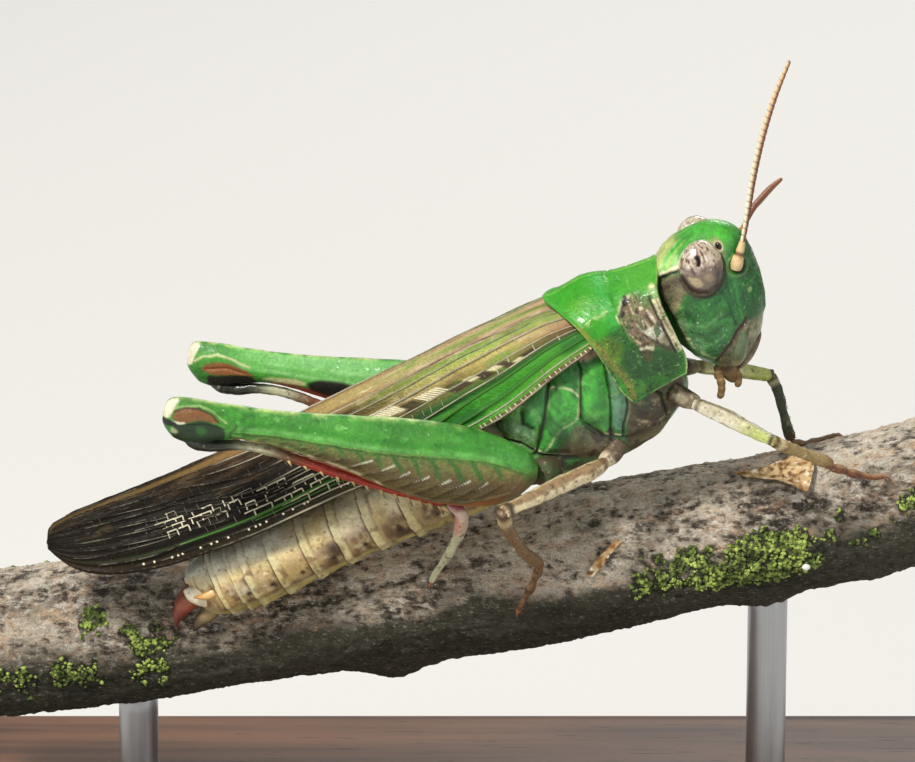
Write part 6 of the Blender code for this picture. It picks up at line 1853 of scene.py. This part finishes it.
def makeThighs():
    for side in ("left", "right"):
        root, ahead, outward, upward = hindFrame(side)
        s = evenly(hindThigh, hindLeg["rows"])[:, 0]
        up, down, thick = follow(hindThigh, s).T
        a = circle(hindLeg["around"])
        c, d = (np.sign(f(a)) * np.abs(f(a)) ** (2 / hindLeg["squareness"]) for f in (np.cos, np.sin))
        o = thick[:, None] * c
        h = np.where(d > 0, up[:, None], down[:, None]) * d
        s2 = np.repeat(s[:, None], len(a), 1)
        grid = root + s2[..., None] * ahead + o[..., None] * outward + h[..., None] * upward
        n = facing(grid)
        ws, wh = s2 + 0.05 * cloud(grid, 0.5, 3, 2), h + 0.03 * cloud(grid, 0.4, 4, 2)
        outer, inner = rise(0.05, 0.2, c), rise(-0.05, -0.2, c)
        keelUp, keelLow = (np.interp(s, *np.array(rows).T)[:, None] for rows in thighKeels)
        flank = rise(0.6, 1.4, s2) * rise(12.2, 11.6, s2)
        between = rise(-0.03, 0.03, keelUp - wh) * rise(-0.03, 0.03, wh - keelLow) * flank
        above = rise(-0.03, 0.03, wh - keelUp)
        coat = Coat(plain(s2.shape, (54, 134, 40)))
        coat((84, 160, 56), above * (0.6 + 0.4 * cloud(grid * (1, 1, 0.6), 0.8, 5)) * 0.8)
        coat((40, 108, 36), rise(0.3, 1.3, h / (up[:, None] + 0.1)) * 0.4)
        coat.marks(ws, wh, outerMarks[:2], outer)
        # chevrons: bars above and streaks below a middle line, both slanting back from it
        height = wh - (keelUp + keelLow) / 2
        barAt = (s2 - 0.5 * np.maximum(height, 0) * 1.4) / hindLeg["bar"]
        dark = band((barAt + 0.1 * cloud(grid, 0.5, 31)) % 1.0, 0.5, 0.1, 0.13) * rise(-0.1, 0.15, height)
        streakAt = (s2 + 1.15 * np.minimum(height, 0)) / hindLeg["bar"]
        pale = band((streakAt + 0.05 * cloud(grid, 0.5, 32)) % 1.0, 0.5, 0.11, 0.09) * rise(0.06, -0.08, height)
        lines = between * outer
        coat((134, 122, 70), (1 - dark) * lines * rise(-0.15, 0.2, height) * (0.55 + 0.35 * cloud(grid, 0.4, 35, 2)))
        coat((44, 112, 34), dark * lines * 0.85)
        coat((64, 132, 44), lines * rise(0.28, 0.02, keelUp - wh) * 0.7)
        coat((60, 44, 28), band((streakAt + 0.22) % 1.0, 0.5, 0.12, 0.1) * rise(0.04, -0.06, height) * lines * 0.35)
        # near-white strokes painted as highlights on the ridges
        for lowS, lowH, topS, topH in ridgeHighlights:
            near = offLine(ws + 0.05 * cloud(grid, 0.25, 36, 2), wh, [(lowS, lowH), (topS, topH)])
            near = near + 0.05 * np.clip((ws - topS) / (lowS - topS), 0, 1)
            coat((240, 238, 222), (1 - rise(0.02, 0.065, near)) * outer * 0.95)
        ridgeUp = bell(wh - keelUp, 0.045) * flank * outer
        ridgeLow = bell(wh - keelLow, 0.05) * flank * outer
        # a pale green band just above the upper keel, painted as a highlight
        highlightBand = band(wh - keelUp, 0.17, 0.07, 0.1) * flank * outer
        coat((136, 200, 124), highlightBand * (0.45 + 0.4 * cloud(grid * (0.5, 1, 0.5), 0.3, 37, 3)))
        coat((34, 122, 34), band(wh - keelUp, 0.42, 0.05, 0.12) * flank * outer * 0.5)
        coat((176, 196, 120), ridgeUp * 0.35)
        coat((168, 92, 48), rise(0.0, -0.12, wh - keelLow) * flank * outer * 0.85)
        coat((226, 216, 176), ridgeLow * 0.6 * rise(-0.3, 0.4, cloud(grid, 0.3, 33)) * rise(4.0, 6.0, s2))
        top = bell(h - up[:, None], 0.06) * rise(0.8, 2, s2)
        coat((196, 206, 130), top * 0.75 * rise(-0.5, 0.3, cloud(grid, 0.4, 34)))
        coat.specks(grid * (0.4, 1, 0.4), 0.2, 43, (120, 190, 96), 0.2, 0.6, above * outer)
        coat.specks(grid, 0.35, 44, (36, 104, 34), 0.25, 0.5, above)
        rooty = rise(2.2, 0.4, ws) * rise(0.5, -0.3, wh)
        coat((128, 104, 74), rooty * 0.75)
        coat((70, 150, 56), rise(2.4, 0.6, ws) * rise(0.3, 0.7, wh) * 0.7)
        coat.specks(grid, 0.08, 41, (230, 240, 210), 0.03, 0.6, above * outer)
        coat.shade(1 + 0.14 * cloud(grid * (0.6, 1, 0.6), 0.5, 38, 3) + 0.09 * cloud(grid, 0.13, 39, 2))
        coat.specks(grid, 0.16, 42, (70, 54, 36), 0.16, 0.45, between * outer)
        coat.marks(ws, wh, outerMarks[2:], outer)
        # two pale lines along the inner face painted as highlights
        for level in (0.3, 0.62):
            streak = bell(wh / up[:, None] - level, 0.07) * rise(3.0, 5.0, s2) * rise(12.2, 11.0, s2)
            coat((232, 240, 214), streak * inner * (0.5 + 0.5 * cloud(grid * (0.5, 1, 0.5), 0.5, 45, 2)))
        coat((134, 214, 118), inner * rise(0.05, 0.2, wh) * rise(13.4, 12.2, s2) * 0.62)
        coat.marks(ws, wh, innerMarks, inner)
        knee = rise(11.9, 12.6, s2)
        lunule = offLine(ws, wh, [(12.4, 0.15), (12.94, 0.4), (13.6, 0.5), (14.2, 0.3)])
        lift = (0.055 * ridgeUp + 0.05 * ridgeLow + 0.05 * top * (1 - knee) - 0.04 * between * outer
                + 0.022 * (pale - dark) * lines)
        groove = offLine(ws, wh, [(12.3, 0.0), (13.0, 0.12), (13.9, -0.05)])
        lift += 0.05 * bell(lunule, 0.22) * knee - 0.05 * bell(groove, 0.06) * knee
        lift += 0.02 * cloud(grid, 0.6, 51, 2) + 0.008 * cloud(grid, 0.15, 52, 2)
        grid = grid + n * lift[..., None]
        values = {"tint": coat.tint, "pitted": 0.25 + 0.5 * between * outer, "dull": 0.15}
        piece("thigh" + side.capitalize(), closedSkin(grid, values), legShell, ["femur_hind_" + side])


def fromThigh(side, rows):
    # rows given along the thigh, outwards and upwards, as places
    root, ahead, outward, upward = hindFrame(side)
    return [(*(root + ahead * s + outward * out + upward * up), r) for s, out, up, r in rows]


def legPart(name, node, rows, paint, seed, finish=legShell, count=130, around=52,
        ridges=0.05, cap=0.45):
    # one joint of a leg: slightly angular, its colours from paint(f, a, grid)
    grid, f, a = limb(rows, count, around, (0, 0.3, 1), cap)
    rough = 0.03 * cloud(grid, 0.4, seed + 3, 2) + 0.014 * cloud(grid, 0.16, seed, 2)
    grid = grid + facing(grid) * (ridges * 0.5 * (np.abs(np.sin(2 * a + 0.5)) ** 6 - 0.4) + rough)[..., None]
    coat = Coat(paint(f, a, grid))
    coat.specks(grid, 0.13, seed, (84, 60, 38), 0.24, 0.55)
    coat.specks(grid, 0.2, seed + 1, (240, 232, 206), 0.12, 0.4)
    piece(name, closedSkin(grid, {"tint": coat.tint, "pitted": 0.35, "dull": 0.3}), finish, [node])


def makeShins():
    for side in ("left", "right"):
        rows = fromThigh(side, hindShin)

        def paint(f, a, grid):
            coat = Coat(plain(f.shape, (150, 154, 124)))
            coat((206, 204, 168), band(f, 0.28, 0.05, 0.03) * 0.6)
            coat((24, 30, 18), rise(0.25, 0.14, f) * 0.95)
            coat((122, 84, 56), rise(0.3, 0.4, f))
            coat((178, 52, 36), rise(0.38, 0.5, f) * 0.95)
            coat((120, 28, 20), rise(0.9, 1.0, f) * 0.6)
            return coat.tint

        legPart("shin" + side.capitalize(), "tibia_hind_" + side, rows, paint, 61, smoothShell, 200,
            56, 0.04, 0.6)
        middle, radius, *_, ahead = spine(rows, 200, (0, 1, 0))
        *_, outward, upward = hindFrame(side)
        points, aims, sizes = [], [], []
        for line, lean in ((0.75, 0.0), (-0.75, 0.4)):
            for f in np.linspace(0.42, 0.965, hindLeg["spines"]) + lean * 0.04:
                k = min(int(f * 199), 199)
                out = -upward * 0.75 + outward * line
                out /= np.linalg.norm(out)
                points.append(middle[k] + out * radius[k] * 0.75)
                aims.append(out + ahead[k] * 0.75)
                sizes.append(0.42 + 0.08 * math.sin(9 * f))
        for out, length in ((-0.6, 0.75), (0.6, 0.7), (-0.25, 0.5), (0.25, 0.55)):
            points.append(middle[-3] - upward * 0.1 + outward * out * 0.3)
            aims.append(ahead[-1] + outward * out - upward * 0.35)
            sizes.append(length)
        piece("shinSpines" + side.capitalize(), spines(points, aims, sizes, hindLeg["spineWidth"]), None)


hindFeet = {
    "right": ((-6.74, -2.82, -0.04, 0.19), (-6.45, -3.05, -0.4, 0.25), (-6.85, -2.7, -1.4, 0.25),
        (-7.35, -2.3, -1.95, 0.17), (-7.75, -1.9, -2.4, 0.2), (-8.3, -1.45, -2.9, 0.13),
        (-8.75, -1.05, -3.3, 0.15), (-9.1, -0.78, -3.66, 0.12)),
    "left": ((-6.18, 3.0, -0.86, 0.19), (-6.35, 3.3, -1.3, 0.25), (-7.2, 3.45, -2.1, 0.25),
        (-7.65, 3.42, -2.3, 0.17), (-8.1, 3.4, -2.35, 0.2), (-8.7, 3.45, -2.25, 0.13), (-9.2, 3.5, -2.1, 0.15),
        (-9.75, 3.57, -1.97, 0.12))}
hindHips = {
    "right": ((-2.45, -1.9, -0.9, 0.6), (-2.75, -2.35, -0.65, 0.62), (-3.0, -2.8, -0.38, 0.5)),
    "left": ((-2.45, 1.9, -0.9, 0.6), (-2.7, 2.35, -0.75, 0.62), (-2.85, 2.75, -0.55, 0.5))}


def claws(name, rows, length=0.42):
    # a pair of hooked claws and the pad between them at the end of a foot
    rows = np.array(rows, float)
    way = rows[-1, :3] - rows[-2, :3]
    way /= np.linalg.norm(way)
    side = np.cross(way, (0, 0, 1.0))
    side /= np.linalg.norm(side)
    down = np.cross(side, way) * (-1 if np.cross(side, way)[2] > 0 else 1)
    solids = []
    for sign in (-1, 1):
        t = np.linspace(0, 1, 6)[:, None]
        line = (rows[-1, :3] + way * (t * length * 0.9) + side * sign * (0.05 + 0.28 * t * length)
                + down * (t**2 * length * 0.55))
        grid, f, _ = limb(np.column_stack([line, np.linspace(0.065, 0.012, 6)]), 26, 18, (0, 0.3, 1), cap=0.3)
        solids.append(closedSkin(grid, {"along": f}))
    line = rows[-1, :3] + way * np.array([[0.0], [0.12], [0.22]]) + down * np.array([[0.0], [0.03], [0.05]])
    grid, f, _ = limb(np.column_stack([line, (0.07, 0.1, 0.05)]), 24, 20, (0, 0.3, 1), cap=0.6)
    solids.append(closedSkin(grid, {"along": 0.25 * f}))
    piece(name, solids, clawHorn)


def makeHindFeet():
    def hip(f, a, grid):
        return Coat(plain(f.shape, (74, 64, 46)))((66, 96, 46), rise(0.0, 0.5, cloud(grid, 0.5, 9, 2)) * 0.8)

    for side in ("left", "right"):
        name = side.capitalize()

        def paint(f, a, grid):
            coat = Coat(plain(f.shape, (184, 186, 150)))
            coat((200, 136, 124), rise(0.38, 0.22, f) * 0.85)
            coat((156, 40, 66), rise(0.4, 0.25, f) * rise(0.0, 0.7, np.sin(a + 0.9)) * 0.7)
            return coat((232, 232, 206), rise(-0.2, 0.7, np.sin(a - 1.0)) * 0.5)

        legPart("hindFoot" + name, "tarsus_hind_" + side, hindFeet[side], paint, 71, smoothShell,
            140, 48, 0.03)
        claws("hindClaws" + name, hindFeet[side])
        legPart("hindHip" + name, "coxa_hind_" + side, hindHips[side], hip, 73, paleShell, 60, 50)


# fore and middle legs

legs = {
    "fore_right": {
        "coxa": ((2.9, -1.45, 0.05, 0.42), (3.4, -1.62, -0.5, 0.4), (3.8, -1.92, -0.8, 0.26)),
        "femur": ((3.62, -1.88, -0.68, 0.22), (4.0, -2.2, -0.98, 0.3), (4.5, -2.6, -1.35, 0.33),
            (5.4, -3.4, -2.15, 0.28), (5.95, -3.9, -2.6, 0.24), (6.12, -4.03, -2.74, 0.25)),
        "tibia": ((6.0, -3.99, -2.6, 0.22), (6.2, -3.88, -2.95, 0.23), (6.8, -3.3, -3.95, 0.2),
            (7.45, -2.6, -5.05, 0.21), (7.5, -2.53, -5.17, 0.18)),
        "tarsus": ((7.48, -2.53, -5.18, 0.13), (7.7, -2.25, -5.6, 0.18), (7.86, -2.08, -5.85, 0.13),
            (8.1, -1.85, -6.2, 0.17), (8.28, -1.66, -6.45, 0.12), (8.65, -1.33, -6.88, 0.12),
            (8.95, -1.08, -7.1, 0.13))},
    "fore_left": {
        "coxa": ((2.9, 1.45, 0.05, 0.42), (3.4, 1.62, -0.5, 0.4), (3.95, 1.88, -0.86, 0.26)),
        "femur": ((3.78, 1.84, -0.74, 0.22), (4.2, 2.0, -1.06, 0.3), (4.8, 2.3, -1.5, 0.33),
            (5.6, 2.95, -2.4, 0.28), (6.15, 3.45, -3.05, 0.24), (6.3, 3.58, -3.22, 0.25)),
        "tibia": ((6.22, 3.54, -3.1, 0.22), (6.25, 3.44, -3.6, 0.22), (6.1, 3.25, -4.6, 0.19),
            (5.92, 3.02, -5.65, 0.2), (5.9, 3.0, -5.85, 0.18)),
        "tarsus": ((5.92, 2.97, -5.92, 0.13), (6.15, 2.97, -6.13, 0.18), (6.35, 3.0, -6.25, 0.13),
            (6.65, 3.1, -6.35, 0.17), (6.9, 3.18, -6.4, 0.12), (7.25, 3.3, -6.5, 0.12), (7.55, 3.38, -6.58, 0.13))},
    "mid_right": {
        "coxa": ((0.25, -1.4, -1.05, 0.46), (-0.15, -1.8, -1.3, 0.42), (-0.6, -2.3, -1.34, 0.26)),
        "femur": ((-0.35, -2.1, -1.36, 0.2), (-0.95, -2.7, -1.26, 0.33), (-1.9, -3.5, -0.95, 0.36),
            (-3.4, -4.75, -0.5, 0.31), (-4.2, -5.4, -0.26, 0.26), (-4.48, -5.6, -0.2, 0.28)),
        "tibia": ((-4.45, -5.62, -0.12, 0.26), (-4.6, -5.35, -0.6, 0.27), (-4.75, -4.1, -2.5, 0.22),
            (-4.62, -2.75, -3.95, 0.22), (-4.6, -2.6, -4.12, 0.19)),
        "tarsus": ((-4.65, -2.48, -4.2, 0.14), (-4.95, -2.15, -4.6, 0.19), (-5.2, -1.93, -4.9, 0.13),
            (-5.55, -1.62, -5.3, 0.18), (-5.85, -1.38, -5.6, 0.12), (-6.2, -1.12, -5.95, 0.12),
            (-6.45, -0.94, -6.2, 0.13))},
    "mid_left": {
        "coxa": ((0.25, 1.4, -1.05, 0.46), (-0.15, 1.8, -1.3, 0.42), (-0.5, 2.3, -1.36, 0.26)),
        "femur": ((-0.3, 2.05, -1.38, 0.2), (-0.75, 2.8, -1.26, 0.33), (-1.2, 3.6, -1.05, 0.36),
            (-2.0, 4.9, -0.6, 0.31), (-2.5, 5.65, -0.43, 0.26), (-2.65, 5.85, -0.4, 0.28)),
        "tibia": ((-2.62, 5.88, -0.35, 0.26), (-2.62, 5.66, -0.9, 0.26), (-2.5, 4.9, -2.5, 0.22),
            (-2.27, 4.1, -4.05, 0.22), (-2.25, 4.02, -4.25, 0.19)),
        "tarsus": ((-2.35, 4.0, -4.36, 0.14), (-2.7, 4.05, -4.46, 0.19), (-3.0, 4.1, -4.5, 0.13),
            (-3.4, 4.2, -4.46, 0.18), (-3.8, 4.3, -4.4, 0.12), (-4.2, 4.4, -4.33, 0.12), (-4.55, 4.48, -4.26, 0.13))}}
legColours = {
    "fore_right": {"coxa": ((78, 66, 48), (168, 158, 128)), "femur": ((196, 188, 160), (112, 104, 80)),
        "tibia": ((166, 142, 92), (104, 76, 46)), "tarsus": ((128, 78, 48), (84, 44, 28))},
    "fore_left": {"coxa": ((84, 72, 50), (80, 100, 44)), "femur": ((160, 170, 84), (92, 112, 44)),
        "tibia": ((52, 62, 36), (190, 188, 140)), "tarsus": ((120, 92, 62), (72, 46, 30))},
    "mid_right": {"coxa": ((96, 80, 58), (190, 176, 146)), "femur": ((226, 210, 170), (150, 112, 68)),
        "tibia": ((132, 104, 72), (78, 58, 40)), "tarsus": ((122, 92, 64), (70, 48, 34))},
    "mid_left": {"coxa": ((190, 176, 140), (92, 110, 60)), "femur": ((214, 204, 160), (120, 140, 80)),
        "tibia": ((176, 156, 116), (110, 84, 60)), "tarsus": ((160, 126, 92), (96, 66, 46))}}


def makeLegs():
    for leg, rows in legs.items():
        where, side = leg.split("_")
        tag = where + side.capitalize()
        colours = legColours[leg]

        def thigh(f, a, grid):
            base, streak = colours["femur"]
            coat = Coat(plain(f.shape, base))
            wander = 0.25 * cloud(grid, 0.6, 5, 2)
            coat(streak, bell(np.sin(a + wander) - 0.1, 0.16) * 0.8)
            coat((120, 84, 50), rise(0.72, 0.95, np.sin(a + 2.6 + wander)) * 0.6)
            coat((250, 246, 232), rise(0.65, 0.95, np.sin(a - 0.3 + wander)) * (0.45 + 0.3 * cloud(grid, 0.5, 6, 2)))
            coat((120, 96, 66), rise(0.15, 0.5, cloud(grid * (0.5, 1, 1), 0.3, 8, 3)) * 0.5)
            if where == "fore":
                coat((176, 190, 92), rise(0.45, 0.85, f + 0.1 * wander) * rise(-0.4, 0.6, np.sin(a)) * 0.75)
            coat((52, 36, 24), band(f, 0.955, 0.02, 0.02) * 0.8)
            return coat((70, 50, 34), band(f, 0.08, 0.02, 0.03) * 0.6)

        def shin(f, a, grid):
            base, streak = colours["tibia"]
            coat = Coat(plain(f.shape, base))
            coat(streak, rise(0.1, 0.7, cloud(grid, 0.4, 7, 3)) * 0.6)
            coat(streak, rise(0.6, 0.9, np.sin(a + 1.8)) * 0.6)
            coat((226, 212, 168), band(f, 0.12, 0.04, 0.04) * 0.7)
            coat((60, 42, 28), band(f, 0.04, 0.025, 0.03) * 0.6)
            return coat((112, 60, 36), rise(0.82, 1.0, f) * (0.7 if leg == "fore_right" else 0.5))

        def foot(f, a, grid):
            base, streak = colours["tarsus"]
            coat = Coat(plain(f.shape, base))
            coat(streak, rise(0.0, 0.5, cloud(grid, 0.25, 9, 3)) * 0.8)
            coat((46, 28, 20), np.maximum(band(f, 0.3, 0.012, 0.03), band(f, 0.56, 0.012, 0.03)) * 0.8)
            return coat((206, 176, 130), rise(0.7, 0.95, np.sin(a + 0.4)) * 0.45)

        def hip(f, a, grid):
            base, blot = colours["coxa"]
            coat = Coat(plain(f.shape, base))
            coat(blot, rise(-0.1, 0.4, cloud(grid, 0.4, 11, 3)) * 0.8)
            coat((30, 22, 16), rise(0.1, 0.5, cloud(grid, 0.35, 12, 3)) * 0.6)
            return coat((228, 214, 182), rise(0.62, 0.8, f + 0.1 * cloud(grid, 0.3, 13, 2))
                * (0.85 if leg == "mid_right" else 0.3))

        legPart(tag + "Hip", "coxa_" + leg, rows["coxa"], hip, 81, count=56, around=44, ridges=0.03)
        legPart(tag + "Thigh", "femur_" + leg, rows["femur"], thigh, 82, ridges=0.07)
        legPart(tag + "Shin", "tibia_" + leg, rows["tibia"], shin, 83, ridges=0.05)
        heel = (*rows["tibia"][-1][:3], 0.13)
        legPart(tag + "Foot", "tarsus_" + leg, (heel, *rows["tarsus"]), foot, 84, ridges=0.02, cap=0.5)
        claws(tag + "Claws", rows["tarsus"])
        middle, radius, _, across, up, ahead = spine(rows["tibia"], 100, (0, 1, 0))
        points, aims, sizes = [], [], []
        for line in (-1, 1):
            for f in np.linspace(0.38, 0.95, 6):
                k = int(f * 99)
                down = -up[k] if up[k][2] > 0 else up[k]
                out = down * 0.7 + across[k] * line * 0.6
                points.append(middle[k] + out * radius[k] * 0.8)
                aims.append(out + ahead[k] * 0.8)
                sizes.append(0.24)
        piece(tag + "Spines", spines(points, aims, sizes, hindLeg["spurWidth"]), None)
makeThorax()
makeAbdomen()
makeTail()
makeHead()
makeEyes()
makeFeelers()
makeMouth()
print("trunk and head made")
makeSaddle()
makeTegmina()
makeHindwings()
print("wings made")
makeThighs()
makeShins()
makeHindFeet()
makeLegs()
print("legs made")
makeBranch()
makeFlakes()
makeStand()
# light, floor and view

view = {
    "from": (0, -237.76, 100.15), "to": (0, 0, 22.9), "lens": 245.9, "floor": (226, 226, 224),
    "world": (1.0, 0.985, 0.96), "worldStrength": 0.27}
lamps = {
    "keyLamp": ((-140, -170, 270), (56, 56), 1.12, (1.0, 0.965, 0.9)),
    "fillLamp": ((210, -150, 90), (160, 160), 0.11, (0.96, 0.98, 1.0)),
    "rimLamp": ((60, 210, 190), (120, 90), 0.3, (1.0, 0.98, 0.95))}


def aimed(thing, place, target):
    way = Vector(target) - Vector(place)
    thing.location = Vector(place) * mm
    thing.rotation_euler = way.to_track_quat("-Z", "Y").to_euler()


def setScene():
    scene = bpy.context.scene
    scene.view_settings.view_transform = "Standard"
    camera = bpy.data.objects.new("mainView", bpy.data.cameras.new("mainView"))
    scene.collection.objects.link(camera)
    camera.data.lens, camera.data.sensor_width = view["lens"], 36
    camera.data.clip_start, camera.data.clip_end = 0.01, 10
    camera.data.dof.use_dof = False
    aimed(camera, view["from"], view["to"])
    scene.camera = camera
    for name, (place, size, power, colour) in lamps.items():
        lamp = bpy.data.lights.new(name, "AREA")
        lamp.shape, lamp.size, lamp.size_y = "RECTANGLE", size[0] * mm, size[1] * mm
        lamp.energy, lamp.color = power, colour
        made = bpy.data.objects.new(name, lamp)
        scene.collection.objects.link(made)
        aimed(made, place, (0, 0, 20))
    world = bpy.data.worlds.new("studio")
    scene.world = world
    world.use_nodes = True
    back = world.node_tree.nodes["Background"]
    back.inputs["Color"].default_value = (*view["world"], 1.0)
    back.inputs["Strength"].default_value = view["worldStrength"]
    mesh = bpy.data.meshes.new("floorPlane")
    mesh.from_pydata([(-2, -2, 0), (2, -2, 0), (2, 2, 0), (-2, 2, 0)], [], [(0, 1, 2, 3)])
    floor = bpy.data.objects.new("floorPlane", mesh)
    scene.collection.objects.link(floor)
    m = Finish("floorPaper")
    fibre = m.noise(0.5, 4, 0.6)
    mesh.materials.append(m.done(m.mix(fibre, [c - 3 for c in view["floor"]], view["floor"]), 0.9))


setScene()
